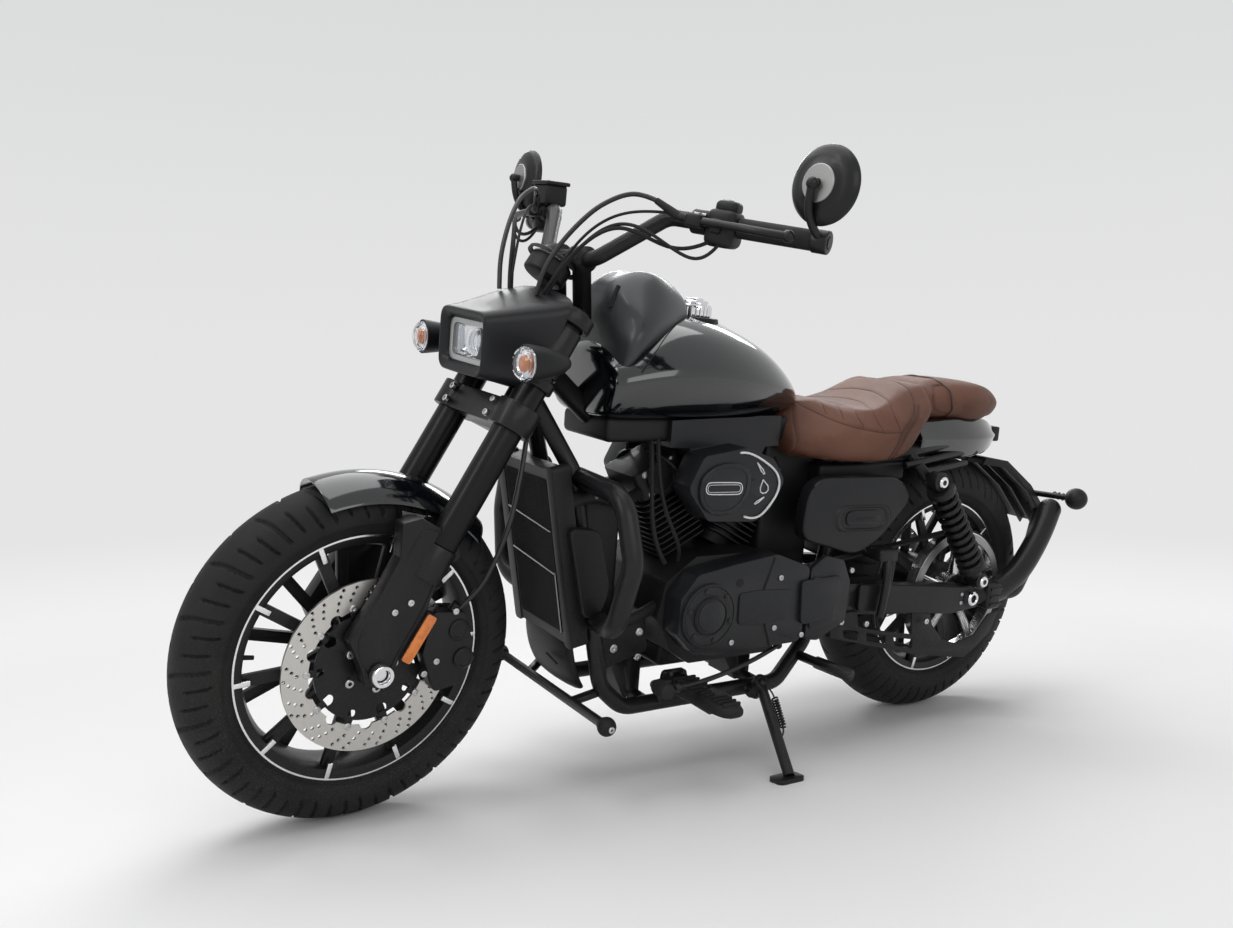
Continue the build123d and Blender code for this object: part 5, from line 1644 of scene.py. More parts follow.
    def press_seams(self, piece: bpy.types.Object, paths: list) -> None:
        """Draws the shell in along every seam."""
        spots = [place for path, _ in paths for place, _ in path]
        tree = KDTree(len(spots))
        for number, spot in enumerate(spots):
            tree.insert(spot, number)
        tree.balance()
        for corner in piece.data.vertices:
            _, _, gap = tree.find(corner.co)
            if gap < self.channel_wide * 2.2:
                corner.co -= corner.normal * self.channel * math.exp(-((gap / self.channel_wide) ** 2) * 1.6)
        piece.data.update()

    def sew(self, paths: list) -> bpy.types.Object:
        """Sets short stitches along both sides of the seams that show thread."""
        master = Bench.ball((0, 0, 0), 0.5, 5)
        places = []
        for path, thread in paths:
            if not thread or len(path) < 3:
                continue
            walked = 0.0
            for (a, normal), (b, _) in zip(path, path[1:]):
                walked += (b - a).length
                if walked < self.stitch:
                    continue
                walked = 0.0
                ahead = (b - a).normalized()
                across = ahead.cross(normal).normalized()
                basis = Matrix((ahead, across, normal)).transposed().to_4x4()
                size = Matrix.Diagonal((self.stitch * 0.62, 0.0011, 0.0011, 1.0))
                for side in (0.0034, -0.0034):
                    places.append(Matrix.Translation(a + across * side - normal * 0.0002) @ basis @ size)
        return Bench.scatter(master, places)

    @staticmethod
    def cord(path: list[tuple[Vector, Vector]], radius: float, sunk: float) -> bpy.types.Object:
        """Returns a thin cord along a path of points with normals, sunk into the surface."""
        return Bench.hose([place - normal * sunk for place, normal in path], radius, 1, 1)

    def welts(self, tree: BVHTree) -> list[bpy.types.Object]:
        """Returns the piped edges of the shell; the rider's seat has none."""
        return []

    def build(self) -> None:
        """Builds shell, channels, seam lines, piping and thread."""
        piece = self.shell()
        tree = BVHTree.FromObject(piece, bpy.context.evaluated_depsgraph_get())
        paths = self.seam_paths(tree)
        self.press_seams(piece, paths)
        thread = self.sew(paths)
        lines = [self.cord(path, self.seam_line, self.channel * 0.8) for path, _ in paths if len(path) > 3]
        self.add(piece, self.name, F.LEATHER, (self.node,), angle=80.0)
        self.add(thread, self.name + "_thread", F.THREAD, angle=60.0)
        self.add(lines + self.welts(tree), self.name + "_welts", F.PIPING, angle=60.0)


@dataclass
class PillionPad(Saddle):
    """The passenger's pad: a front roll with an oval end panel, a rear part and dark piping between them."""

    node: str = "pillion_pad"
    name: str = "passenger_pad"
    cap: float = 0.008
    foam: tuple = ()
    side_seams: tuple = (
        (
            (
                (0.074, 0.781), (0.096, 0.779), (0.113, 0.767), (0.121, 0.751), (0.108, 0.731),
                (0.083, 0.721), (0.062, 0.718),
            ),
            True,
        ),
    )
    top_seams: tuple = ()
    piping_top: tuple = ((0.07, 0.0), (0.07, 0.03), (0.07, 0.06), (0.066, 0.08))
    piping_side: tuple = ((0.063, 0.768), (0.063, 0.757), (0.06, 0.743), (0.054, 0.729), (0.05, 0.712))

    def welts(self, tree: BVHTree) -> list[bpy.types.Object]:
        """Returns the piping that runs over the pad's top and down both flanks."""
        way = []
        for side in (1.0, -1.0):
            top = [
                self.cast(tree, Vector((x, y * side, 1.2)), Vector((0, 0, -1))) for x, y in self.piping_top
            ]
            flank = [
                self.cast(tree, Vector((x, side, z)), Vector((0, -side, 0))) for x, z in self.piping_side
            ]
            half = [hit for hit in top + flank if hit]
            way = half[::-1] if side > 0 else way + half[1:]
        return [Bench.hose(spline([place for place, _ in way], 120), 0.003, 3, 1)]


# ------------------------------------------------------------------ front end
@dataclass
class Nacelle(Assembly):
    """The headlamp shell: a deep bezel, flanks that open backwards and a raised ridge on top."""

    body: Body = Body.STEERING
    # each row: x at the foot, low, high, half width low, half width high, corner, crown, rake of the row
    rows: tuple = (
        (1.19, 0.801, 0.87, 0.06, 0.06, 0.017, 0.0, 0.0),
        (1.2195, 0.7972, 0.8738, 0.0638, 0.0638, 0.018, 0.0, 0.0),
        (1.2225, 0.7955, 0.8755, 0.0655, 0.0655, 0.019, 0.0, 0.0),
        (1.2298, 0.785, 0.886, 0.0725, 0.0735, 0.022, 0.0, 0.0),
        (1.23, 0.7815, 0.8895, 0.0755, 0.0775, 0.023, 0.0, 0.0),
        (1.227, 0.7792, 0.8915, 0.0775, 0.0795, 0.024, 0.0, 0.0),
        (1.205, 0.7755, 0.895, 0.083, 0.085, 0.024, 0.001, 0.0),
        (1.18, 0.77, 0.902, 0.0905, 0.096, 0.026, 0.005, 0.06),
        (1.162, 0.765, 0.91, 0.099, 0.112, 0.028, 0.012, 0.2),
        (1.153, 0.764, 0.9175, 0.108, 0.126, 0.028, 0.018, 0.34),
        (1.15, 0.764, 0.92, 0.112, 0.129, 0.026, 0.018, 0.42),
    )
    wall: float = 0.0025
    # the lamp's opening: half width, low, high; its rings: x, how far inside the opening, corner
    opening: tuple = (0.0635, 0.7975, 0.8735)
    frame_rings: tuple = (
        (1.212, -0.0015, 0.018), (1.216, 0.001, 0.017), (1.2165, 0.0035, 0.016), (1.215, 0.01, 0.012),
        (1.196, 0.0125, 0.011),
    )
    bowl_rings: tuple = (
        (1.199, 0.012, 0.011), (1.19, 0.015, 0.01), (1.18, 0.02, 0.01), (1.174, 0.029, 0.006),
        (1.172, 0.034, 0.003),
    )
    glass_ring: tuple = (1.2085, 0.01, 0.012)
    flutes: int = 9
    flute_pitch: float = 0.0105
    bulb: tuple = ((0.0, 0.0), (0.0185, 0.0), (0.0185, 0.01), (0.015, 0.0145), (0.008, 0.0168), (0.0, 0.0172))
    bulb_foot: tuple = (1.186, 0.012, 0.8355)
    # fork tubes: distance ahead of the steering axis and to the side; shrouds: from, to, radius
    tube: tuple = (0.055, 0.098)
    shrouds: tuple = ((0.858, 0.876, 0.0345), (0.884, 0.975, 0.0305))
    clamp_bolts: tuple = ((0.782, 0.094), (0.808, 0.094), (0.994, 0.091))
    bolt_side: float = 0.072

    def outline(self, row: tuple) -> list[Vector]:
        """Returns one row's points."""
        x, low, high, half_low, half_high, corner, crown, rake = row
        flat = [(-half_low, low), (half_low, low), (half_high, high), (half_high * 0.5, high + crown * 0.75),
                (0.0, high + crown), (-half_high * 0.5, high + crown * 0.75), (-half_high, high)]
        points = [Vector((x - rake * (z - low), y, z)) for y, z in flat]
        return rounded(points, (corner, corner, corner, 0, 0, 0, corner), 6)

    def ring(self, x: float, inset: float, corner: float) -> list[Vector]:
        """Returns the outline of the lamp's opening at x, moved in by an inset."""
        half, low, high = self.opening[0] - inset, self.opening[1] + inset, self.opening[2] - inset
        return rounded([(x, -half, low), (x, half, low), (x, half, high), (x, -half, high)], corner, 6)

    def build(self) -> None:
        """Builds shell, lamp frame, reflector, flutes and glass."""
        shell = Bench.skin([self.outline(row) for row in self.rows], 1, self.wall)
        self.add(shell, "lamp_shell", F.MATTE, ("headlamp_nacelle",), angle=50.0)
        frame = Bench.skin([self.ring(*row) for row in self.frame_rings], 0, 0.001)
        self.add(frame, "lamp_frame", F.FRAME_GREY, angle=40.0)
        mirror = [Bench.skin([self.ring(*row) for row in self.bowl_rings], 1)]
        for number in range(self.flutes):
            y = (number - (self.flutes - 1) // 2) * self.flute_pitch
            mirror.append(Bench.drum((1.178, y, 0.812), (1.178, y, 0.859), 0.0042, sides=16))
        mirror.append(Bench.brick((1.168, -0.048, 0.81), (1.175, 0.048, 0.861)))
        self.add(mirror, "lamp_reflector", F.REFLECTOR, angle=35.0)
        self.add(Bench.lathe(self.bulb, self.bulb_foot, (1, 0, 0), 40), "lamp_bulb", F.LENS, angle=60.0)
        glass = Bench.plate(self.ring(*self.glass_ring), (0.003, 0, 0), 0.0008, 2)
        self.add(glass, "lamp_glass", F.LENS, ("headlamp_lens",), angle=40.0)
        self.collars()

    def collars(self) -> None:
        """Builds the shrouds and stop rings on both fork tubes, and the bolts of the clamps."""
        pieces = [
            Bench.drum(on_fork(low, *self.tube), on_fork(high, *self.tube), radius, sides=48, edge=0.002)
            for low, high, radius in self.shrouds
        ]
        self.add(pieces, "fork_shrouds", F.SATIN, both=True, angle=40.0)
        sides = (self.bolt_side, -self.bolt_side)
        heads = [on_fork(along, ahead, side) for along, ahead in self.clamp_bolts for side in sides]
        self.add(Bench.studs(heads, STEER_AHEAD, 0.0062, 0.004, dome=True), "clamp_bolts", F.ZINC, angle=35.0)


@dataclass
class FrontSignals(Assembly):
    """Bullet-shaped front indicators with a clear faceted lens over an amber bulb."""

    body: Body = Body.STEERING
    middle: Vector = point(1.209, 0.182, 0.822)
    housing: tuple = (
        (0.0, -0.092), (0.0085, -0.089), (0.0165, -0.076), (0.023, -0.055), (0.0282, -0.03), (0.0312, -0.006),
        (0.0316, 0.0), (0.03, 0.0015), (0.0285, 0.0), (0.027, -0.01), (0.0, -0.01),
    )
    dome: tuple = (
        (0.0284, -0.001), (0.028, 0.004), (0.024, 0.0095), (0.017, 0.013), (0.008, 0.0146), (0.0, 0.015),
        (0.0, 0.013), (0.015, 0.0112), (0.025, 0.005), (0.0262, -0.001),
    )
    mirror: tuple = ((0.0265, -0.001), (0.018, -0.006), (0.006, -0.0095), (0.0, -0.0095))
    facets: int = 22
    bulb: tuple = (0.0105, 0.015, 0.0085)
    stalk: float = 0.0085

    def build(self) -> None:
        """Builds housings, stalks, reflectors, bulbs and lenses."""
        cups, stalks, glass, bright, amber = [], [], [], [], []
        for side in (1.0, -1.0):
            at = Vector((self.middle.x, self.middle.y * side, self.middle.z))
            way = Vector((1.0, 0.1 * side, 0.0)).normalized()
            cups.append(Bench.lathe(self.housing, at, way, 48))
            root = at - way * 0.06
            steps = ((0, 0, 0), (-0.004, -0.03 * side, -0.004), (-0.006, -0.075 * side, -0.006))
            stalks.append(Bench.hose([root + Vector(step) for step in steps], self.stalk, 4))
            glass.append(Bench.lathe(self.dome, at, way, self.facets))
            bright.append(Bench.lathe(self.mirror, at, way, 32, closed=False))
            bulb = Bench.ball((0, 0, 0), 1.0, 10)
            bulb.data.transform(Bench.aim(at + way * 0.0015, way) @ Matrix.Diagonal((*self.bulb, 1.0)))
            amber.append(bulb)
        self.add(cups + stalks, "indicator_cups", F.PLASTIC, ("front_signals",), angle=40.0)
        self.add(glass, "indicator_glass", F.LENS, angle=8.0)
        self.add(bright, "indicator_mirrors", F.REFLECTOR, angle=40.0)
        self.add(amber, "indicator_bulbs", F.AMBER, angle=60.0)


@dataclass
class ForkDress(Assembly):
    """Tubes, reflectors, bolts, axle nuts and caliper details on the fork and its lower castings."""

    body: Body = Body.STEERING
    face: float = 0.1133
    axle: Vector = point(*FRONT_AXLE)
    reflector: tuple = ((1.308, 0.39), (1.356, 0.311))
    reflector_half: float = 0.0115
    bolts: tuple = (
        (1.296, 0.305), (1.318, 0.286), (1.265, 0.39), (1.305, 0.455), (1.35, 0.415), (1.378, 0.402),
    )
    nut: tuple = (
        (0.0195, -0.004), (0.0195, 0.008), (0.018, 0.0105), (0.0125, 0.0105), (0.0115, 0.009), (0.0115, 0.0),
        (0.0, 0.0), (0.0, -0.004),
    )
    bead: tuple = (
        (1.333, 0.548), (1.36, 0.495), (1.415, 0.405), (1.442, 0.36), (1.428, 0.315), (1.41, 0.285),
        (1.385, 0.29), (1.37, 0.325), (1.33, 0.39), (1.298, 0.47), (1.272, 0.485), (1.276, 0.515),
    )
    # fork tubes: from, to, distance ahead of the steering axis, to the side, radius
    tube: tuple = (0.548, 1.012, 0.055, 0.098, 0.027)
    pot: tuple = (
        (0.0, 0.0), (0.019, 0.0), (0.019, 0.003), (0.0165, 0.0055), (0.014, 0.0055), (0.013, 0.004),
        (0.0, 0.004),
    )
    pots_at: tuple = ((1.256, 0.356), (1.244, 0.303))

    def build(self) -> None:
        """Builds everything that sits on the castings."""
        start, end = seen_from_left(self.reflector, self.face)
        way = (end - start).normalized()
        across = Vector((-way.z, 0.0, way.x)) * self.reflector_half
        outline = rounded([start - across, end - across, end + across, start + across], 0.006, 5)
        base = Bench.plate([p - LEFT * 0.001 for p in outline], LEFT * 0.0035, 0.0006, 2)
        self.add(base, "reflector_bases", F.PLASTIC, both=True, angle=40.0)
        near, rim = way * 0.002, across * 0.84
        inner = rounded(
            [start - rim + near, end - rim - near, end + rim - near, start + rim + near], 0.005, 5,
        )
        strip = Bench.plate([p + LEFT * 0.002 for p in inner], LEFT * 0.0036, 0.0012, 3)
        self.add(strip, "side_reflectors", F.AMBER, both=True, angle=40.0)
        heads = Bench.studs(seen_from_left(self.bolts, self.face), LEFT, 0.0058, 0.0035, dome=True)
        self.add(heads, "casting_bolts", F.ZINC, both=True, angle=35.0)
        nut = Bench.lathe(self.nut, self.axle + LEFT * (self.face + 0.01), LEFT, 48)
        self.add(nut, "front_axle_nuts", F.CHROME, both=True, angle=35.0)
        line = Bench.loop(seen_from_left(self.bead, self.face, 0.03), 0.0016)
        self.add(line, "casting_beads", F.SATIN, both=True, angle=60.0)
        low, high, ahead, out, radius = self.tube
        tubes = [
            Bench.drum(on_fork(low, ahead, side), on_fork(high, ahead, side), radius, sides=72, edge=0.002)
            for side in (out, -out)
        ]
        self.add(tubes, "fork_tube_skins", F.FORK, ("fork_tubes",), angle=35.0)
        pots = [Bench.lathe(self.pot, (x, 0.113, z), LEFT, 40) for x, z in self.pots_at]
        pots.append(Bench.drum((1.268, 0.1, 0.385), (1.26, 0.108, 0.402), 0.0075, sides=24, edge=0.001))
        self.add(pots, "caliper_pots", F.SATIN, angle=35.0)


@dataclass
class Mirrors(Assembly):
    """Round bar-end mirrors: a black bowl, a turned disc on its back, cranked arm and glass."""

    body: Body = Body.STEERING
    middle: Vector = point(0.855, 0.44, 1.144)
    facing: Vector = point(1.0, 0.12, 0.08, unit=True)
    bar_end: Vector = point(*BAR_END)
    bar_way: Vector = point(*BAR_WAY)
    bowl: tuple = (
        (0.0, 0.0135), (0.031, 0.0125), (0.033, 0.0105), (0.044, 0.0085), (0.056, 0.004), (0.062, -0.002),
        (0.0635, -0.0065), (0.0625, -0.0095), (0.0595, -0.0095), (0.059, -0.0075), (0.0, -0.0075),
    )
    disc: tuple = ((0.0, 0.0165), (0.0285, 0.0158), (0.03, 0.0145), (0.03, 0.011), (0.0, 0.011))
    glass: tuple = ((0.0, -0.0088), (0.059, -0.0088), (0.059, -0.0078), (0.0, -0.0078))
    # weights on the bar's ends: from, to along the bar, radius, sides, rounding
    weights: tuple = ((-0.008, 0.019, 0.0192, 48, 0.0025), (0.019, 0.0205, 0.0105, 6, 0.0))

    def build(self) -> None:
        """Builds both mirrors."""
        bowls, discs, faces, arms = [], [], [], []
        for side in (1.0, -1.0):
            flip = Vector((1.0, side, 1.0))
            at, way = self.middle * flip, self.facing * flip
            bowls.append(Bench.lathe(self.bowl, at, way, 96))
            discs.append(Bench.lathe(self.disc, at, way, 72))
            faces.append(Bench.lathe(self.glass, at, way, 96))
            foot = (self.bar_end + self.bar_way * 0.01) * flip
            hub = at + way * 0.0165
            joint = hub + Vector((0.011, 0.0, -0.002))
            knee = foot + Vector((0.03, 0.002 * side, 0.014))
            elbow = Vector((foot.x + 0.052, foot.y + 0.004 * side, foot.z + 0.045))
            arms.append(Bench.hose([foot, knee, elbow, elbow.lerp(joint, 0.55), joint], 0.0068, 4, 10))
            arms.append(Bench.ball(joint, 0.0098, 12))
            arms.append(Bench.drum(hub - way * 0.002, joint, 0.0072, sides=24))
            for first, last, radius, sides, edge in self.weights:
                ends = [(self.bar_end + self.bar_way * along) * flip for along in (first, last)]
                arms.append(Bench.drum(*ends, radius, sides=sides, edge=edge))
        self.add(bowls + arms, "mirror_bowls", F.SATIN, ("mirrors",), angle=40.0)
        centre = Bench.rig.steer @ Bench.aim(self.middle, self.facing)
        self.add(discs, "mirror_badges", F.BRUSHED, angle=35.0, centre=centre)
        self.add(faces, "mirror_faces", F.MIRROR, angle=35.0)


# ------------------------------------------------------------------ bodywork
@dataclass
class Tank(Assembly):
    """The fuel tank, the cowl over its front, the bright cap and its black ring."""

    # each row: x, low, high, half widths at the foot, belly, shoulder and top, height of the belly and of the
    # shoulder, crown
    tank_rows: tuple = (
        (0.482, 0.73, 0.758, 0.014, 0.034, 0.022, 0.01, 0.744, 0.756, 0.003),
        (0.492, 0.722, 0.772, 0.034, 0.058, 0.04, 0.018, 0.746, 0.768, 0.004),
        (0.54, 0.712, 0.818, 0.066, 0.1, 0.072, 0.03, 0.76, 0.803, 0.006),
        (0.61, 0.708, 0.862, 0.094, 0.132, 0.096, 0.04, 0.778, 0.842, 0.008),
        (0.7, 0.706, 0.892, 0.116, 0.152, 0.112, 0.046, 0.792, 0.868, 0.008),
        (0.79, 0.705, 0.902, 0.124, 0.158, 0.118, 0.05, 0.798, 0.878, 0.006),
        (0.87, 0.705, 0.894, 0.122, 0.152, 0.112, 0.05, 0.794, 0.868, 0.006),
        (0.93, 0.704, 0.868, 0.112, 0.138, 0.1, 0.048, 0.784, 0.842, 0.006),
        (0.968, 0.706, 0.838, 0.1, 0.12, 0.086, 0.044, 0.774, 0.818, 0.004),
        (0.98, 0.716, 0.822, 0.086, 0.102, 0.07, 0.036, 0.77, 0.806, 0.003),
    )
    tank_fat: float = 1.035
    cowl_rows: tuple = (
        (0.762, 0.884, 0.92, 0.018, 0.022, 0.016, 0.008, 0.902, 0.914, 0.001),
        (0.768, 0.88, 0.931, 0.03, 0.034, 0.026, 0.012, 0.904, 0.925, 0.001),
        (0.78, 0.876, 0.942, 0.042, 0.046, 0.036, 0.018, 0.904, 0.934, 0.0),
        (0.8, 0.872, 0.956, 0.056, 0.061, 0.048, 0.026, 0.903, 0.942, -0.003),
        (0.822, 0.866, 0.969, 0.072, 0.077, 0.06, 0.034, 0.9, 0.948, -0.007),
        (0.846, 0.858, 0.979, 0.089, 0.093, 0.07, 0.04, 0.896, 0.952, -0.012),
        (0.872, 0.848, 0.985, 0.104, 0.108, 0.078, 0.045, 0.89, 0.953, -0.015),
        (0.9, 0.834, 0.984, 0.118, 0.122, 0.082, 0.046, 0.882, 0.946, -0.014),
        (0.93, 0.812, 0.968, 0.127, 0.131, 0.082, 0.044, 0.868, 0.926, -0.01),
        (0.946, 0.792, 0.948, 0.124, 0.128, 0.078, 0.042, 0.852, 0.902, -0.006),
        (0.958, 0.78, 0.922, 0.106, 0.11, 0.07, 0.04, 0.838, 0.882, -0.004),
        (0.963, 0.79, 0.902, 0.084, 0.086, 0.062, 0.036, 0.838, 0.872, -0.002),
    )
    cowl_fat: float = 1.02
    seam: float = 0.0017
    seam_rows: int = 9
    slot: tuple = ((0.955, 0.055), (0.948, 0.053), (0.937, 0.048))
    slot_radius: float = 0.0046
    # strip behind the cap: x and half width, and the heights across it
    strip: tuple = ((0.506, 0.01), (0.52, 0.015), (0.56, 0.018), (0.6, 0.019), (0.64, 0.02), (0.684, 0.02))
    strip_high: tuple = (0.0012, 0.0034, 0.0038, 0.0034, 0.0012)
    skirt: tuple = ((0.5, -0.083, 0.664), (0.962, 0.083, 0.712), 0.012)
    cap: Vector = point(0.728, 0.0, 0.896)
    cap_way: tuple = (-0.03, 0, 1)
    cap_ring: tuple = (
        (0.0335, -0.014), (0.0335, 0.0), (0.042, 0.0035), (0.048, 0.002), (0.0495, -0.004), (0.0495, -0.014),
    )
    cap_dome: tuple = (
        (0.0, 0.0), (0.0318, 0.0), (0.0334, 0.003), (0.0334, 0.023), (0.0318, 0.026), (0.0275, 0.0272),
        (0.027, 0.0305), (0.025, 0.0335), (0.0145, 0.0356), (0.0, 0.0362),
    )
    cap_ribs: int = 24
    rib_reach: float = 0.0332

    def hull(self, rows: tuple, fat: float) -> bpy.types.Object:
        """Skins a table of sections, widened by a factor, and smooths it."""
        made = []
        for x, low, high, foot, belly, shoulder, top, belly_z, shoulder_z, crown in rows:
            half = [
                (foot, low), (belly, belly_z - 0.012), (belly, belly_z + 0.012), (shoulder, shoulder_z),
                (top, high),
            ]
            left = [(y * fat, z) for y, z in half]
            right = [(-y * fat, z) for y, z in half[::-1]]
            made.append([Vector((x, y, z)) for y, z in [*left, (0.0, high + crown), *right, (0.0, low)]])
        return Bench.skin(made, 3, capped=True)

    @staticmethod
    def dropped(tree: BVHTree, x: float, y: float) -> Vector | None:
        """Returns where a plumb line over this place first meets a piece."""
        return tree.ray_cast(Vector((x, y, 1.2)), Vector((0, 0, -1)))[0]

    def laid(
        self, piece: bpy.types.Object, points: Sequence[tuple[float, float]], radius: float,
    ) -> bpy.types.Object:
        """Lays a cord over a piece.

        Args:
            piece: The piece, in the upright frame.
            points: The cord's way, seen from above.
            radius: The cord's radius.

        Returns:
            The cord, whose middle runs on the piece's surface.
        """
        tree = BVHTree.FromObject(piece, bpy.context.evaluated_depsgraph_get())
        spots = [self.dropped(tree, x, y) for x, y in points]
        return Bench.hose([spot for spot in spots if spot], radius, 3, 8)

    def make_strip(self, tank: bpy.types.Object) -> bpy.types.Object:
        """Returns the low strip along the top of the tank."""
        tree = BVHTree.FromObject(tank, bpy.context.evaluated_depsgraph_get())
        rows = []
        for x, half in self.strip:
            spots = [self.dropped(tree, x, half * t) for t in (1, 0.5, 0, -0.5, -1)]
            top = [spot + Vector((0, 0, high)) for spot, high in zip(spots, self.strip_high)]
            rows.append(top + [spot - Vector((0, 0, 0.004)) for spot in spots[::-1]])
        return Bench.skin(rows, 1, capped=True)

    def build(self) -> None:
        """Builds tank, cowl, seams, slots, strip and skirt."""
        tank = self.hull(self.tank_rows, self.tank_fat)
        cowl = self.hull(self.cowl_rows, self.cowl_fat)
        edge = [(row[0], row[4] * self.cowl_fat + 0.0008) for row in self.cowl_rows[: self.seam_rows]]
        seams = [self.laid(tank, edge, self.seam), self.laid(cowl, self.slot, self.slot_radius)]
        self.add(seams, "cowl_seams", F.RUBBER, both=True, angle=50.0)
        self.add(self.make_strip(tank), "tank_strip", F.PLASTIC, angle=50.0)
        self.add(tank, "tank_skin", F.GLOSS, ("fuel_tank",), angle=60.0)
        self.add(cowl, "cowl_skin", F.COWL, ("tank_cowl",), angle=60.0)
        self.add(Bench.brick(*self.skirt), "tank_skirt", F.PLASTIC, angle=35.0)
        self.make_cap()

    def make_cap(self) -> None:
        """Builds the cap's ring, its ribbed dome and its tab."""
        x, _, z = self.cap
        self.add(Bench.lathe(self.cap_ring, (x, 0, z), self.cap_way, 72), "cap_ring", F.PLASTIC, angle=35.0)
        dome = Bench.lathe(self.cap_dome, (x, 0, z + 0.001), self.cap_way, 72)
        places = []
        for number in range(self.cap_ribs):
            turn = math.tau * number / self.cap_ribs
            spot = (x + self.rib_reach * math.cos(turn), self.rib_reach * math.sin(turn), z + 0.014)
            places.append(Bench.aim(spot, (0, 0, 1)))
        ribs = Bench.scatter(Bench.drum((0, 0, -0.0085), (0, 0, 0.0085), 0.0018, sides=10), places)
        tab = Bench.brick((x - 0.01, -0.017, z + 0.0335), (x + 0.01, 0.017, z + 0.04), 0.0022)
        self.add([dome, ribs, tab], "cap_dome", F.CHROME, ("fuel_cap",), angle=35.0)


@dataclass
class SideCovers(Assembly):
    """The covers below the seat, each with a long recessed slot."""

    outline: tuple = (
        (0.497, 0.598), (0.268, 0.594), (0.222, 0.547), (0.312, 0.459), (0.374, 0.43), (0.53, 0.474),
        (0.524, 0.56),
    )
    slot: tuple = (
        (0.428, 0.536), (0.304, 0.533), (0.29, 0.508), (0.304, 0.484), (0.428, 0.487), (0.44, 0.512),
    )
    # rim of the slot: size of its outline and distance to the left
    rim: tuple = ((1.16, 0.156), (1.1, 0.1595), (1.02, 0.161), (0.92, 0.159), (0.88, 0.1566))
    dash: tuple = ((0.333, 0.1585, 0.507), (0.391, 0.1606, 0.513), 0.0008, 2)

    def grown(self, size: float, side: float) -> list[Vector]:
        """Returns the slot's outline scaled about its middle, at a distance to the left."""
        corners = seen_from_left(self.slot, 0.0)
        middle = sum(corners, Vector()) / len(corners)
        return rounded([middle + (corner - middle) * size + LEFT * side for corner in corners], 0.02)

    def build(self) -> None:
        """Builds both covers."""
        plate = Bench.plate(seen_from_left(self.outline, 0.124, 0.03), LEFT * 0.033, 0.0125, 5)
        rim = Bench.skin([self.grown(size, side) for size, side in self.rim], 1)
        pad = Bench.plate(self.grown(0.7, 0.154), LEFT * 0.0062, 0.0026, 3)
        dash = Bench.brick(*self.dash)
        self.add([plate, rim, pad], "side_panels", F.MATTE, ("side_covers",), both=True, angle=38.0)
        self.add(dash, "side_dashes", F.RUBBER, both=True, angle=30.0)


@dataclass
class AirboxDress(Assembly):
    """The airbox cover's raised lobe, its bare oval rim, the pale edge line behind it and pale lines round
    its facets; the pale lines are painted highlights on the cover's edges.
    """

    lobe: tuple = (
        (0.803, 0.585), (0.792, 0.618), (0.748, 0.638), (0.69, 0.632), (0.676, 0.6), (0.694, 0.548),
        (0.747, 0.531), (0.79, 0.548),
    )
    lobe_middle: tuple = (0.744, 0.588)
    oval: tuple = ((0.788, 0.601), (0.702, 0.598), (0.702, 0.575), (0.788, 0.578))
    oval_middle: tuple = (0.745, 0.588)
    # pale line along the cover's rear edge: a painted highlight
    line: tuple = (
        (0.708, 0.6535), (0.688, 0.657), (0.64, 0.634), (0.608, 0.612), (0.6, 0.58), (0.626, 0.545),
        (0.654, 0.519), (0.686, 0.53),
    )
    # pale outlines of the cover's facets: painted highlights on their edges
    facets: tuple = (
        ((0.664, 0.634), (0.628, 0.606), (0.646, 0.6)),
        ((0.646, 0.6), (0.622, 0.584), (0.64, 0.566), (0.658, 0.578)),
        ((0.64, 0.566), (0.662, 0.545), (0.678, 0.552)),
    )

    def drawn_in(self, outline: tuple, middle: tuple, wide: float, high: float) -> list[tuple[float, float]]:
        """Returns an outline scaled towards a middle point by a width and a height."""
        return [(x * wide + middle[0] * (1 - wide), z * high + middle[1] * (1 - high)) for x, z in outline]

    def build(self) -> None:
        """Builds the dress of the left cover."""
        lobe = Bench.plate(seen_from_left(self.lobe, 0.15, 0.04), LEFT * 0.0145, 0.006, 4)
        edge = self.drawn_in(self.lobe, self.lobe_middle, 0.84, 0.84)
        bead = Bench.loop(seen_from_left(edge, 0.1645, 0.03), 0.0013)
        self.add([lobe, bead], "airbox_lobe", F.COVER, angle=38.0)
        rim = Bench.loop(seen_from_left(self.oval, 0.165, 0.0125), 0.0011)
        core = self.drawn_in(self.oval, self.oval_middle, 0.9, 0.62)
        inner = Bench.loop(seen_from_left(core, 0.165, 0.0075), 0.0006)
        self.add([rim, inner], "badge_rims", F.STRIPE, angle=60.0)
        # painted highlights: pale lines on the cover's rear edge and round its facets
        lines = [Bench.hose(seen_from_left(self.line, 0.1575), 0.0022, 2, 12)]
        lines += [Bench.loop(seen_from_left(facet, 0.157), 0.0013) for facet in self.facets]
        self.add(lines, "airbox_highlight_lines", F.STRIPE, angle=60.0)


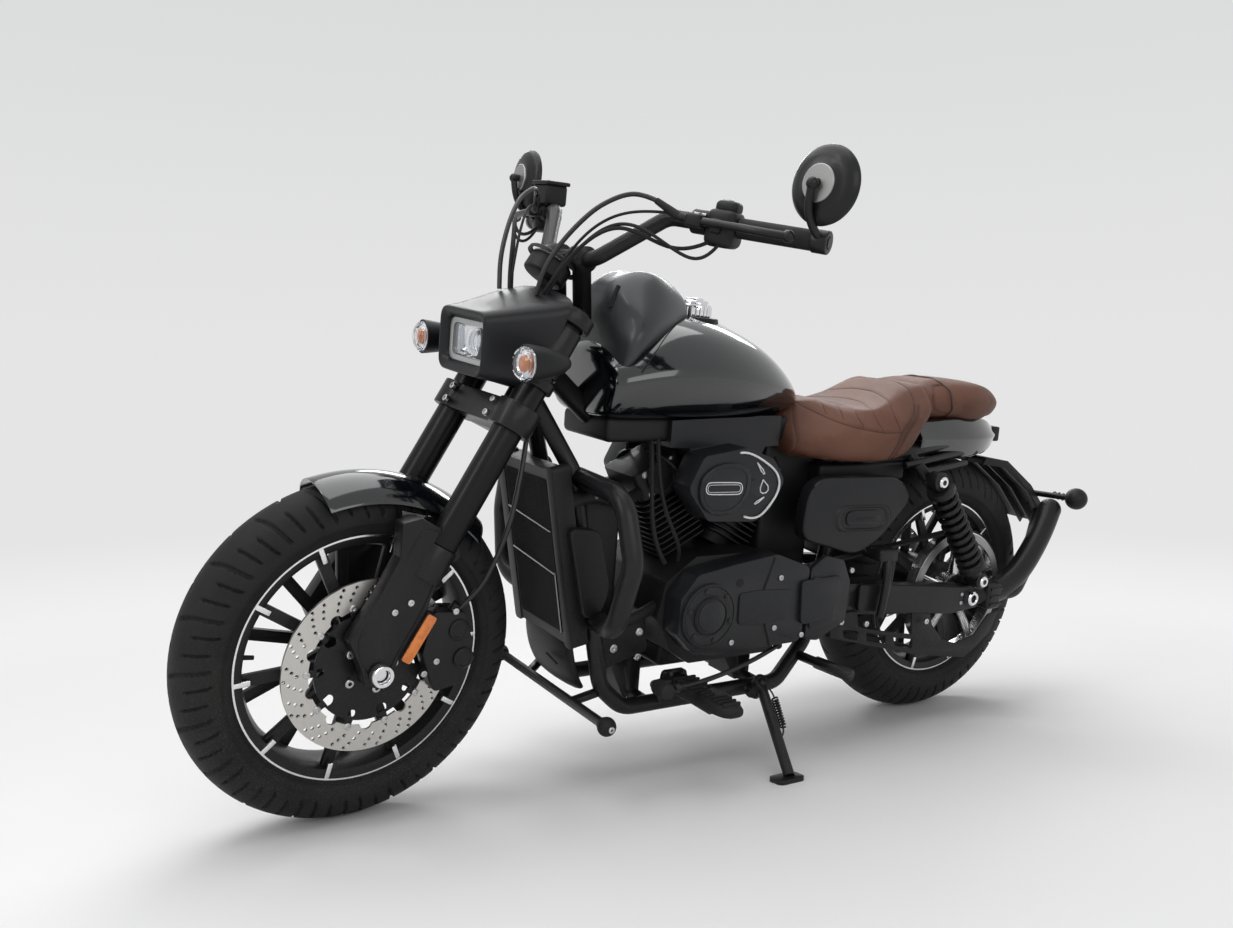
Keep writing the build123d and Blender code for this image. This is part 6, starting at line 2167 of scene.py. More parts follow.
# ------------------------------------------------------------------ cockpit
@dataclass
class Cockpit(Assembly):
    """Perches, levers, switch pods, boots and leads on both sides, and the brake fluid jar.

    Pods, levers and switches are laid out about the bar's left end: X ahead of the bar, Y outwards along it,
    Z up.
    """

    body: Body = Body.STEERING
    bar_end: Vector = point(*BAR_END)
    bar_way: Vector = point(*BAR_WAY)
    # blocks: low corner, high corner, rounding, steps of the rounding
    pod_blocks: tuple = (
        ((-0.026, -0.191, -0.036), (0.027, -0.137, 0.026), 0.013, 4),
        ((-0.021, -0.183, 0.018), (0.014, -0.143, 0.041), 0.009, 4),
        ((0.022, -0.178, -0.014), (0.034, -0.158, 0.01), 0.004),
        ((0.01, -0.219, -0.01), (0.045, -0.19, 0.012), 0.005),
    )
    jar_blocks: tuple = (
        ((0.894, -0.263, 1.086), (0.944, -0.209, 1.128), 0.007, 4),
        ((0.891, -0.266, 1.126), (0.947, -0.206, 1.134), 0.003),
    )
    keys: tuple = (
        ((-0.03, -0.174, 0.004), (-0.024, -0.156, 0.014), 0.0015, 2),
        ((-0.029, -0.17, -0.018), (-0.024, -0.159, -0.008), 0.0015, 2),
        ((-0.004, -0.172, 0.039), (0.008, -0.156, 0.0435), 0.0015, 2),
    )
    blade: tuple = ((0.031, -0.21, 0.001), (0.038, -0.168, 0.002), (0.052, -0.11, 0.001), (0.052, -0.066, 0),
                    (0.046, -0.036, 0))
    boot: tuple = (0.034, -0.236, 0.004)
    perch_bolts: tuple = ((0.031, -0.204, 0.012), (0.018, -0.196, 0.012))
    jar_screws: tuple = ((0.9, -0.257, 1.134), (0.938, -0.215, 1.134))
    # leads on the left and cables: radius and route
    leads: tuple = (
        (0.0034, ((0.92, 0.268, 1.044), (0.958, 0.252, 1.02), (1.002, 0.226, 1.028), (1.04, 0.166, 1.064),
                  (1.078, 0.102, 1.012), (1.103, 0.066, 0.945), (1.107, 0.052, 0.916))),
        (0.003, ((0.915, 0.282, 1.04), (0.94, 0.276, 1.006), (0.98, 0.264, 1.012), (1.018, 0.206, 1.058),
                  (1.05, 0.142, 1.062), (1.085, 0.088, 0.99), (1.101, 0.056, 0.92))),
        (0.0026, ((0.95, 0.222, 1.082), (0.99, 0.186, 1.084), (1.03, 0.14, 1.078), (1.074, 0.092, 1.022),
                  (1.098, 0.064, 0.95), (1.103, 0.06, 0.918))),
    )
    cables: tuple = (
        (
            0.0044,
            (
                (0.96, 0.221, 1.079), (0.978, 0.188, 1.1), (1.006, 0.15, 1.108), (1.044, 0.122, 1.086),
                (1.072, 0.096, 1.05), (1.098, 0.074, 1.004), (1.112, 0.062, 0.965), (1.118, 0.054, 0.925),
            ),
        ),
        (
            0.0044,
            (
                (0.96, -0.221, 1.079), (0.98, -0.19, 1.102), (1.008, -0.156, 1.112), (1.048, -0.134, 1.092),
                (1.08, -0.11, 1.056), (1.104, -0.09, 1.01), (1.118, -0.074, 0.97), (1.122, -0.064, 0.925),
            ),
        ),
        (
            0.0045,
            (
                (1.262, 0.1, 0.38), (1.24, 0.109, 0.406), (1.216, 0.118, 0.44), (1.19, 0.122, 0.5),
                (1.172, 0.121, 0.56), (1.154, 0.11, 0.632), (1.139, 0.096, 0.7),
            ),
        ),
    )

    def bar_turn(self) -> Matrix:
        """Returns the turn from the bar's own directions to the machine's."""
        ahead = self.bar_way.cross(Vector((0, 0, 1))).normalized()
        return Matrix((ahead, self.bar_way, ahead.cross(self.bar_way))).transposed()

    def on_bar(self, pieces: list[bpy.types.Object]) -> bpy.types.Object:
        """Joins pieces and sets them down on the bar."""
        piece = Bench.join(pieces)
        piece.data.transform(Matrix.Translation(self.bar_end) @ self.bar_turn().to_4x4())
        return piece

    def build(self) -> None:
        """Builds both sides and the jar."""
        pod = [Bench.brick(*block) for block in self.pod_blocks]
        pod.append(Bench.drum((0, -0.222, 0), (0, -0.192, 0), 0.0205, sides=40, edge=0.0025))
        pod.append(Bench.drum((0.034, -0.216, 0.001), (0.034, -0.238, 0.004), 0.0075, sides=16, edge=0.001))
        pod.append(Bench.ring((0, -0.164, -0.004), (0, 1, 0), 0.03, 0.0008, 48, 6))
        pods = Bench.mirror(self.on_bar(pod))
        jar = [Bench.brick(*block) for block in self.jar_blocks]
        foot = Bench.drum((0.919, -0.236, 1.07), (0.919, -0.236, 1.09), 0.014, 0.018, 24)
        self.add([pods, *jar, foot], "switch_pods", F.PLASTIC, ("hand_controls",), angle=35.0)
        keys = self.on_bar([Bench.brick(*block) for block in self.keys])
        self.add(keys, "switch_keys", F.FRAME_GREY, both=True, angle=35.0)
        blade = Bench.hose(self.blade, 0.0084, 5, 10)
        blade.data.transform(Matrix.Diagonal((1.0, 1.0, 0.85, 1.0)))
        tip = Bench.ball((0.0455, -0.0335, 0.0), 0.0102, 14)
        self.add(self.on_bar([blade, tip]), "levers", F.SATIN, both=True, angle=50.0)
        heads = Bench.mirror(
            self.on_bar([Bench.studs(self.perch_bolts, (0, 0, 1), 0.0055, 0.003, dome=True)])
        )
        screws = Bench.studs(self.jar_screws, (0, 0, 1), 0.0035, 0.0015, dome=True)
        self.add([heads, screws], "perch_bolts", F.ZINC, angle=35.0)
        start = self.bar_end + self.bar_turn() @ Vector(self.boot)
        hoses = [Bench.drum(start, start + Vector((0.02, -0.036, 0.022)), 0.008, 0.0056, 24)]
        hoses += [Bench.hose(points, radius, 3, 8) for radius, points in self.leads]
        self.add(hoses, "bar_leads", F.RUBBER, both=True, angle=45.0)
        cables = [Bench.hose(spline(points, 48), radius, 3, 1) for radius, points in self.cables]
        self.add(cables, "cable_skins", F.HOSE, ("control_cables",), angle=50.0)


@dataclass
class Dial(Assembly):
    """The round gauge's bezel, plain scale, needle and display window."""

    body: Body = Body.STEERING
    middle: Vector = point(1.062, 0.0, 0.971)
    facing: Vector = point(-0.55, 0.0, 0.84, unit=True)
    face: float = 0.0142
    bezel: tuple = (
        (0.0435, 0.0), (0.0435, 0.003), (0.0465, 0.0045), (0.0495, 0.002), (0.05, -0.004), (0.0485, -0.004),
    )
    marks: int = 25
    first_mark: float = -120.0
    pitch: float = 10.0
    # a mark: where it starts, half its width
    long_mark: tuple = (0.03, 0.0008)
    short_mark: tuple = (0.034, 0.0004)
    mark_end: float = 0.039
    needle_turn: float = -118.0

    def build(self) -> None:
        """Builds everything on the gauge's face."""
        place = Bench.aim(self.middle + self.facing * self.face, self.facing)
        bezel = Bench.lathe(self.bezel, (0, 0, 0), (0, 0, 1), 72)
        bezel.data.transform(place)
        self.add(bezel, "gauge_bezel", F.PLASTIC, angle=35.0)
        marks = []
        for number in range(self.marks):
            start, half = self.short_mark if number % 3 else self.long_mark
            mark = Bench.brick((start, -half, 0.0), (self.mark_end, half, 0.0006))
            turn = Matrix.Rotation(math.radians(self.first_mark + number * self.pitch), 4, "Z")
            mark.data.transform(place @ turn)
            marks.append(mark)
        self.add(marks, "gauge_marks", F.STRIPE, angle=30.0)
        window = Bench.brick((-0.03, -0.016, 0.0), (-0.012, 0.016, 0.0008), 0.0003)
        window.data.transform(place)
        self.add(window, "gauge_window", F.FRAME_GREY, angle=30.0)
        needle = Bench.drum((-0.006, 0, 0.0022), (0.034, 0, 0.0022), 0.0014, 0.0004, 8)
        boss = Bench.drum((0, 0, 0), (0, 0, 0.0032), 0.005, sides=24, edge=0.0008)
        pointer = Bench.join([needle, boss])
        pointer.data.transform(place @ Matrix.Rotation(math.radians(self.needle_turn), 4, "Z"))
        self.add(pointer, "gauge_needle", F.RED, angle=30.0)


# ------------------------------------------------------------------ engine and chassis details
@dataclass
class EngineDress(Assembly):
    """Lines, rings, raised panels, screws, plug caps, leads and pipes on the engine's left side."""

    cover: float = 0.17
    rear: float = 0.17
    disc: Vector = point(0.765, 0.185, 0.346)
    # rings about the disc: step to the left, radius, half of its thickness
    rings: tuple = ((0.0002, 0.0355, 0.0013), (-0.005, 0.0575, 0.0011))
    disc_lid: tuple = ((0.0, 0.0), (0.03, 0.0), (0.031, 0.0014), (0.029, 0.0028), (0.0, 0.0034))
    seam: tuple = (
        (0.608, 0.447), (0.612, 0.43), (0.634, 0.372), (0.635, 0.345), (0.606, 0.285), (0.602, 0.266),
    )
    plug: tuple = (0.69, 0.402)
    window: tuple = ((0.674, 0.335), (0.688, 0.349))
    band: tuple = (
        (0.69, 0.381), (0.64, 0.384), (0.556, 0.378), (0.561, 0.318), (0.64, 0.312), (0.688, 0.318),
    )
    panel: tuple = ((0.536, 0.394), (0.43, 0.398), (0.424, 0.372), (0.446, 0.308), (0.53, 0.302))
    cover_bolts: tuple = (
        (0.396, 0.404), (0.588, 0.404), (0.594, 0.302), (0.765, 0.396), (0.812, 0.33), (0.52, 0.28),
        (0.7, 0.284),
    )
    crank: Vector = point(0.69, 0.0, 0.346)
    leans: tuple = (27.0, -27.0)
    head_up: float = 0.278
    head_side: float = 0.059
    lid: tuple = (
        (0.0, 0.0), (0.0345, 0.0), (0.0345, 0.006), (0.032, 0.0085), (0.024, 0.0085), (0.0225, 0.0065),
        (0.0, 0.0065),
    )
    # pipes: radius, quarter resolution, sides that they are on, points on the left
    pipes: tuple = (
        (0.0125, 5, (1.0, -1.0), ((1.04, 0.098, 0.56), (1.0, 0.092, 0.572), (0.95, 0.07, 0.56),
                                  (0.9, 0.062, 0.545), (0.862, 0.05, 0.56))),
        (0.0115, 5, (1.0,), ((0.99, 0.09, 0.33), (0.95, 0.1, 0.318), (0.9, 0.112, 0.33),
                             (0.848, 0.1, 0.345), (0.824, 0.09, 0.35))),
        (0.0045, 3, (1.0,), ((0.836, 0.12, 0.44), (0.87, 0.126, 0.48), (0.876, 0.116, 0.56),
                             (0.862, 0.09, 0.64), (0.85, 0.06, 0.69))),
        (0.0038, 3, (1.0,), ((0.8, 0.112, 0.44), (0.806, 0.13, 0.47), (0.846, 0.128, 0.52),
                             (0.858, 0.108, 0.6), (0.84, 0.07, 0.69))),
    )
    clamp: tuple = ((0.992, 0.09, 0.5735), (0.984, 0.087, 0.572))

    def build(self) -> None:
        """Builds the cover's dress, then the cylinders' top ends and the pipes."""
        (x, z), (low, high) = self.plug, self.window
        lines = [
            Bench.ring(
                self.disc + LEFT * step, LEFT, radius, thick, 72, 8,
            ) for step, radius, thick in self.rings
        ]
        lines.append(Bench.hose(seen_from_left(self.seam, self.cover), 0.0024, 2, 10))
        lines.append(Bench.drum((x, self.cover - 0.004, z), (x, self.cover + 0.0008, z), 0.0085, sides=24))
        corners = (low[0], self.cover - 0.004, low[1]), (high[0], self.cover + 0.0012, high[1])
        lines.append(Bench.brick(*corners))
        self.add(lines, "cover_seams", F.RUBBER, angle=40.0)
        raised = [
            Bench.plate(seen_from_left(self.band, self.cover - 0.002, 0.01), LEFT * 0.0045, 0.0018, 3),
            Bench.plate(seen_from_left(self.panel, self.rear - 0.002, 0.014), LEFT * 0.01, 0.0035, 3),
            Bench.lathe(self.disc_lid, self.disc, LEFT, 64),
        ]
        self.add(raised, "cover_panels", F.COVER, angle=38.0)
        bolts = Bench.studs(seen_from_left(self.cover_bolts, self.cover), LEFT, 0.0058, 0.0028, dome=True)
        self.add(bolts, "cover_bolts", F.ZINC, angle=35.0)
        self.make_top_ends()

    def make_top_ends(self) -> None:
        """Builds head covers, head bolts, plug caps with their leads, and the pipes."""
        lids, bolts, pipes, caps = [], [], [], []
        for lean in self.leans:
            way = Vector((math.sin(math.radians(lean)), 0.0, math.cos(math.radians(lean))))
            flat = way.cross(LEFT)
            head = self.crank + way * self.head_up
            for side in (1.0, -1.0):
                lids.append(Bench.lathe(self.lid, head + LEFT * self.head_side * side, LEFT * side, 48))
                for corner in range(4):
                    angle = math.radians(45 + corner * 90)
                    step = flat * 0.047 * math.cos(angle) + way * 0.03 * math.sin(angle)
                    place = head + LEFT * self.head_side * side + step
                    bolts.append(Bench.studs([place], LEFT * side, 0.0048, 0.0035))
                cap = head - way * 0.02 + flat * 0.02 + LEFT * 0.06 * side
                out = LEFT * side + flat * 0.3
                caps.append(
                    Bench.drum(cap - LEFT * 0.004 * side, cap + out * 0.02, 0.0085, 0.007, 20, 0.0012)
                )
                tip = cap + out * 0.018
                bend = tip + LEFT * 0.014 * side + way * 0.004
                lead = [
                    tip, bend, tip + way * 0.05 + LEFT * 0.01 * side, head + way * 0.055 + LEFT * 0.03 * side,
                ]
                pipes.append(Bench.hose(lead, 0.0035, 3))
        self.add(lids, "head_lids", F.ENGINE, angle=35.0)
        self.add(bolts, "head_bolts", F.ZINC, angle=35.0)
        for radius, quarter, sides, points in self.pipes:
            pipes += [Bench.hose([(x, y * side, z) for x, y, z in points], radius, quarter) for side in sides]
        self.add(pipes + caps, "engine_pipes", F.RUBBER, angle=45.0)
        clamps = []
        for side in (1.0, -1.0):
            start, end = ((x, y * side, z) for x, y, z in self.clamp)
            clamps.append(Bench.drum(start, end, 0.014, sides=32))
        self.add(clamps, "pipe_clamps", F.ZINC, angle=35.0)


@dataclass
class RadiatorDress(Assembly):
    """A fine wire mesh with two frame bars and a short edge bar in light grey as painted highlights, a smooth
    shroud with a slot, and side tanks.
    """

    top: Vector = point(1.068, 0.0, 0.622)
    low: Vector = point(1.006, 0.0, 0.296)
    half: float = 0.08
    proud: float = 0.0165
    wire: float = 0.00075
    wires: int = 44
    rows: int = 84
    # cross bars, light grey as painted highlights: height as a share of the mesh, slope
    bars: tuple = ((0.2, -0.03), (-0.08, -0.03))
    # rows of the shroud: front, height, half width, how far its sides sweep back
    shroud: tuple = (
        (1.021, 0.3, 0.086, 0.006), (1.026, 0.285, 0.09, 0.012), (1.021, 0.24, 0.09, 0.016),
        (1.002, 0.202, 0.086, 0.016), (0.98, 0.188, 0.078, 0.01),
    )
    slot: tuple = ((1.0268, 0.028, 0.256), (1.0262, 0.046, 0.252), (1.0242, 0.064, 0.247))
    tank: tuple = ((1.052, 0.52), (0.985, 0.512), (0.956, 0.4), (0.975, 0.352), (1.01, 0.346))

    def build(self) -> None:
        """Builds mesh, bars in light grey as painted highlights, shroud and tanks."""
        up = (self.top - self.low).normalized()
        out = Vector((up.z, 0.0, -up.x))
        face = (self.top + self.low) / 2 + out * self.proud
        tall = up * ((self.top - self.low).length - 0.04)
        wide = LEFT * self.half
        wires = []
        for number in range(self.wires):
            at = face + wide * ((number + 0.5) / self.wires * 2 - 1)
            wires.append(Bench.drum(at - tall / 2, at + tall / 2, self.wire, sides=4))
        for number in range(self.rows):
            at = face + tall * ((number + 0.5) / self.rows - 0.5)
            wires.append(Bench.drum(at - wide, at + wide, self.wire, sides=4))
        self.add(wires, "radiator_mesh", F.SATIN, angle=30.0)
        # painted highlights: light grey bars across the mesh and along its left edge
        bars = []
        for share, slope in self.bars:
            at = face + out * 0.0025 + tall * share
            bars.append(Bench.drum(at - wide - tall * slope, at + wide + tall * slope, 0.0014, sides=8))
        edge = face + out * 0.002 + LEFT * 0.0785
        bars.append(Bench.drum(edge - tall * 0.5, edge - tall * 0.1, 0.0013, sides=8))
        self.add(bars, "radiator_highlight_bars", F.FRAME_GREY, angle=40.0)
        rows = []
        for x, z, half, deep in self.shroud:
            front = [
                Vector((x - deep * abs(t) ** 3, half * t, z)) for t in (1, 0.85, 0.55, 0, -0.55, -0.85, -1)
            ]
            rows.append(front + [Vector((x - deep - 0.014, half * t, z + 0.004)) for t in (-1, 0, 1)])
        shroud = Bench.skin(rows, 2, capped=True)
        self.add(shroud, "radiator_shroud", F.PLASTIC, ("belly_spoiler",), angle=50.0)
        self.add(Bench.hose(self.slot, 0.0022, 3), "shroud_slot", F.RUBBER, angle=40.0)
        tank = Bench.plate(seen_from_left(self.tank, 0.1, 0.02), LEFT * 0.026, 0.008, 4)
        self.add(tank, "side_tanks", F.PLASTIC, both=True, angle=40.0)


def coiled(
    start: Vector, way: Vector, across: Vector, radius: float, pitch: float, coils: int, steps: int,
) -> list[Vector]:
    """Returns points along a coil.

    Args:
        start: Middle of the coil's first turn.
        way: Direction of its axis.
        across: Direction from the axis to its first point.
        radius: Radius of the coil.
        pitch: Length of one turn.
        coils: Number of turns.
        steps: Points in a turn.

    Returns:
        The points.
    """
    points = []
    for step in range(coils * steps + 1):
        turn = math.tau * step / steps
        spot = start + way * (pitch * step / steps)
        points.append(spot + across * radius * math.cos(turn) + way.cross(across) * radius * math.sin(turn))
    return points


@dataclass
class Springs(Assembly):
    """The coil springs over both rear dampers, their collars and bright bolts."""

    top: Vector = point(0.166, 0.168, 0.583)
    low: Vector = point(0.004, 0.176, 0.352)
    radius: float = 0.0262
    wire: float = 0.006
    coils: int = 10
    # where the spring sits: distance from the upper and from the lower eye
    seats: tuple = (0.036, 0.048)
    # section of the damper: from its upper eye down, then from its lower eye up
    upper: tuple = (
        (0.0, 0.0), (0.015, 0.0), (0.016, 0.018), (0.031, 0.02), (0.0315, 0.03), (0.029, 0.035),
        (0.0175, 0.036), (0.0175, 0.118), (0.0205, 0.12),
    )
    lower: tuple = (
        (0.0205, 0.056), (0.031, 0.05), (0.0315, 0.038), (0.018, 0.03), (0.013, 0.012), (0.013, 0.0),
        (0.0, 0.0),
    )
    nut: tuple = (
        (0.0, 0.0), (0.0125, 0.0), (0.0125, 0.004), (0.0105, 0.0062), (0.006, 0.0062), (0.0055, 0.0035),
        (0.0, 0.0035),
    )

    def build(self) -> None:
        """Builds springs, dampers and bolts."""
        way = (self.low - self.top).normalized()
        length = (self.low - self.top).length
        start, end = self.seats[0], length - self.seats[1]
        flat = way.cross(LEFT).normalized()
        points = coiled(
            self.top + way * start, way, flat, self.radius, (end - start) / self.coils, self.coils, 10,
        )
        spring = Bench.hose(points, self.wire, 3, 3)
        profile = [*self.upper, *((radius, length - up) for radius, up in self.lower)]
        pieces = [Bench.lathe(profile, self.top, way, 56)]
        for eye, radius in ((self.top, 0.021), (self.low, 0.0185)):
            pieces.append(Bench.drum(eye - LEFT * 0.014, eye + LEFT * 0.014, radius, sides=40, edge=0.002))
        self.add(pieces, "dampers", F.SATIN, ("shock_absorbers",), both=True, angle=35.0)
        self.add(spring, "springs", F.SATIN, both=True, angle=60.0)
        caps = [Bench.lathe(self.nut, eye + LEFT * 0.0145, LEFT, 32) for eye in (self.top, self.low)]
        self.add(caps, "damper_bolts", F.CHROME, both=True, angle=35.0)


@dataclass
class RearDress(Assembly):
    """The swingarm's boxed end, hollow axle, belt guard screws, thick tail arm and lamp details."""

    axle: Vector = point(*REAR_AXLE)
    arm: tuple = (
        (-0.06, 0.15, 0.307), (-0.09, 0.152, 0.309), (-0.15, 0.154, 0.33), (-0.232, 0.138, 0.398),
        (-0.282, 0.124, 0.45), (-0.312, 0.112, 0.486),
    )
    cuff: tuple = ((-0.088, 0.122, 0.276), (-0.04, 0.178, 0.338), 0.01, 4)
    boxed: tuple = (
        (0.352, 0.366), (0.06, 0.338), (-0.034, 0.33), (-0.034, 0.28), (0.06, 0.272), (0.352, 0.306),
    )
    fins: tuple = (0.286, 0.304, 0.322)
    axle_end: tuple = (
        (0.0085, 0.0), (0.0165, 0.0), (0.0165, 0.008), (0.014, 0.0105), (0.0098, 0.0105), (0.0085, 0.009),
    )
    guard_bolts: tuple = ((0.404, 0.292), (0.144, 0.266), (0.33, 0.28))
    box_bolts: tuple = ((0.03, 0.316), (0.03, 0.296))
    # hangers of the rider's pegs: radius and route
    hangers: tuple = (
        (0.0085, ((0.286, 0.16, 0.428), (0.292, 0.176, 0.4), (0.3, 0.18, 0.34), (0.306, 0.176, 0.296))),
        (0.0065, ((0.268, 0.16, 0.43), (0.276, 0.172, 0.4), (0.29, 0.174, 0.34), (0.3, 0.17, 0.296))),
    )
    hanger_root: tuple = ((0.262, 0.12, 0.412), (0.316, 0.172, 0.44), 0.006)
    rails: tuple = (
        ((0.218, 0.118, 0.61), (0.12, 0.112, 0.622), (0.02, 0.092, 0.63), (-0.02, 0.08, 0.628)),
        ((0.15, 0.116, 0.596), (0.06, 0.106, 0.6), (-0.01, 0.09, 0.606)),
    )
    hood: tuple = ((-0.1846, -0.0385, 0.6455), (-0.158, 0.0385, 0.6805), 0.004)

    def build(self) -> None:
        """Builds the rear end's small pieces."""
        arm = [
            Bench.hose(self.arm, 0.027, 7, 10), Bench.ball(self.arm[-1], 0.0272, 16), Bench.brick(*self.cuff),
        ]
        arm.append(Bench.plate(seen_from_left(self.boxed, 0.145, 0.012), LEFT * 0.013, 0.004, 3))
        arm += [Bench.brick((-0.084, 0.177, z), (-0.046, 0.1805, z + 0.006), 0.001) for z in self.fins]
        self.add(arm, "tail_arm", F.SATIN, angle=40.0)
        tube_end = Bench.lathe(self.axle_end, self.axle + LEFT * 0.16, LEFT, 48)
        self.add(tube_end, "rear_axle_nuts", F.CHROME, both=True, angle=35.0)
        bolts = [
            Bench.studs(seen_from_left(self.guard_bolts, 0.1635), LEFT, 0.0065, 0.003, dome=True),
            Bench.studs(seen_from_left(self.box_bolts, 0.158), LEFT, 0.0042, 0.0025, dome=True),
        ]
        self.add(bolts, "rear_bolts", F.ZINC, angle=35.0)
        hangers = [Bench.hose(points, radius, 5) for radius, points in self.hangers]
        self.add(
            [*hangers, Bench.brick(*self.hanger_root)], "rider_peg_hangers", F.SATIN, both=True, angle=40.0,
        )
        rails = [Bench.hose(points, 0.0075, 4) for points in self.rails]
        self.add(rails, "tail_rails", F.SATIN, both=True, angle=50.0)
        self.add(Bench.brick(*self.hood), "tail_lamp_hood", F.PLASTIC, angle=35.0)
        rings = []
        for number in range(3):
            spot = (-0.344 - 0.0004 * number, 0.098 + number * 0.012, 0.5184)
            rings.append(Bench.ring(spot, LEFT, 0.0078, 0.0016, 32, 8))
        self.add(rings, "stalk_rings", F.RUBBER, both=True, angle=50.0)


@dataclass
class PulleyTrim(Assembly):
    """The bright faces of the rear pulley and its bolts."""

    body: Body = Body.REAR_WHEEL
    axle: Vector = point(*REAR_AXLE)
    flange: tuple = ((0.127, 0.0), (0.143, 0.0), (0.143, 0.003), (0.127, 0.003))
    hub: tuple = ((0.024, 0.0), (0.043, 0.0), (0.043, 0.0035), (0.024, 0.0035))
    bolts: int = 5

    def build(self) -> None:
        """Builds the flange's ring, the hub's ring and the bolts."""
        faces = [
            Bench.lathe(self.flange, self.axle + LEFT * 0.1172, LEFT, 144),
            Bench.lathe(self.hub, self.axle + LEFT * 0.111, LEFT, 64),
        ]
        centre = Bench.rig.park @ Bench.aim(self.axle, LEFT)
        self.add(faces, "pulley_faces", F.BRUSHED, angle=35.0, centre=centre)
        spots = [around(self.axle, 0.034, 90 + 72 * number, 0.1145) for number in range(self.bolts)]
        self.add(Bench.studs(spots, LEFT, 0.0058, 0.0045), "pulley_bolts", F.ZINC, angle=35.0)


@dataclass
class LowerDress(Assembly):
    """Ribbed foot pads, pedal tips, stand spring, guard end knobs and bright end bolts."""

    # each row of the foot pad: y, middle x, half width, middle z, half depth
    pad_rows: tuple = (
        (0.146, 0.801, 0.022, 0.208, 0.011), (0.152, 0.801, 0.032, 0.208, 0.014),
        (0.21, 0.797, 0.032, 0.207, 0.015), (0.268, 0.793, 0.029, 0.206, 0.014),
        (0.305, 0.79, 0.024, 0.205, 0.012), (0.314, 0.789, 0.014, 0.205, 0.007),
    )
    pad_corners: tuple = (
        (-1, -0.6), (-0.7, -1), (0.7, -1), (1, -0.6), (1, 0.6), (0.7, 1), (-0.7, 1), (-1, 0.6),
    )
    pad_ribs: int = 12
    knob: Vector = point(1.0, 0.211, 0.176)
    knob_seat: tuple = ((1.0, 0.196, 0.176), (1.0, 0.206, 0.176))
    end_bolts: tuple = ((1.0, 0.2272, 0.176), (0.79, 0.136, 0.184))
    side_bolts: tuple = ((0.884, 0.122, 0.262), (0.958, 0.112, 0.232))
    rod: tuple = ((0.88, 0.25, 0.246), (0.78, 0.226, 0.236), (0.64, 0.18, 0.244), (0.56, 0.15, 0.256))
    stand_pivot: Vector = point(0.593, 0.146, 0.176)
    stand_foot: Vector = point(0.628, 0.294, 0.034)
    spring_radius: float = 0.0066
    spring_wire: float = 0.0019
    spring_long: float = 0.062
    spring_coils: int = 11

    def make_pads(self) -> list[bpy.types.Object]:
        """Returns a foot pad with its ribs and the shift pedal's ribbed tip."""
        rows = []
        for y, x, half, z, deep in self.pad_rows:
            rows.append([Vector((x + half * a, y, z + deep * b)) for a, b in self.pad_corners])
        pieces = [Bench.skin(rows, 1, capped=True)]
        for number in range(self.pad_ribs):
            x, y, drop = 0.8 - 0.0008 * number, 0.16 + number * 0.0122, 0.0004 * number
            half = 0.026 - 0.0006 * number
            pieces.append(
                Bench.brick((x - half, y, 0.217 - drop), (x + half, y + 0.0062, 0.2262 - drop), 0.0015, 2)
            )
        pieces.append(
            Bench.drum((0.908, 0.226, 0.244), (0.9125, 0.268, 0.2475), 0.0135, sides=28, edge=0.002)
        )
        for number in range(5):
            spot = (0.9087 + number * 0.0008, 0.232 + number * 0.0075, 0.2446 + number * 0.0006)
            pieces.append(Bench.ring(spot, (0.1, 1, 0.08), 0.0135, 0.0014, 28, 6))
        return pieces

    def build(self) -> None:
        """Builds the pieces below the engine."""
        self.add(self.make_pads(), "foot_pads", F.RUBBER, both=True, angle=35.0)
        knobs = [Bench.ball(self.knob, 0.0175, 16), Bench.drum(*self.knob_seat, 0.013, sides=28, edge=0.002)]
        self.add(knobs, "cross_bar_knobs", F.RUBBER, both=True, angle=50.0)
        bolts = [
            Bench.studs(self.end_bolts, LEFT, 0.006, 0.0025, dome=True),
            Bench.studs(self.side_bolts, LEFT, 0.0068, 0.003, dome=True),
        ]
        self.add(bolts, "lower_bolts", F.ZINC, both=True, angle=35.0)
        rod = [
            Bench.hose(self.rod, 0.0048, 3),
            *(Bench.ball(end, 0.0085, 12) for end in (self.rod[0], self.rod[-1])),
        ]
        self.add(rod, "shift_rod", F.SATIN, angle=45.0)
        self.make_stand_spring()

    def make_stand_spring(self) -> None:
        """Builds the spring behind the stand's leg, with its hooks."""
        way = (self.stand_foot - self.stand_pivot).normalized()
        back = Vector((-1, 0, 0)) - way * Vector((-1, 0, 0)).dot(way)
        back.normalize()
        start = self.stand_pivot + way * 0.012 + back * 0.0245
        pitch = self.spring_long / self.spring_coils
        coil = coiled(start + way * 0.018, way, back, self.spring_radius, pitch, self.spring_coils, 8)
        upper = [start - way * 0.004 - back * 0.008, start + way * 0.006, start + way * 0.02]
        lower = [start + way * 0.078, start + way * 0.096, start + way * 0.104 - back * 0.016]
        pieces = [Bench.hose(coil, self.spring_wire, 2, 3)]
        pieces += [Bench.hose(points, self.spring_wire, 2) for points in (upper, lower)]
        self.add(pieces, "stand_spring", F.SATIN, angle=60.0, body=Body.STAND)


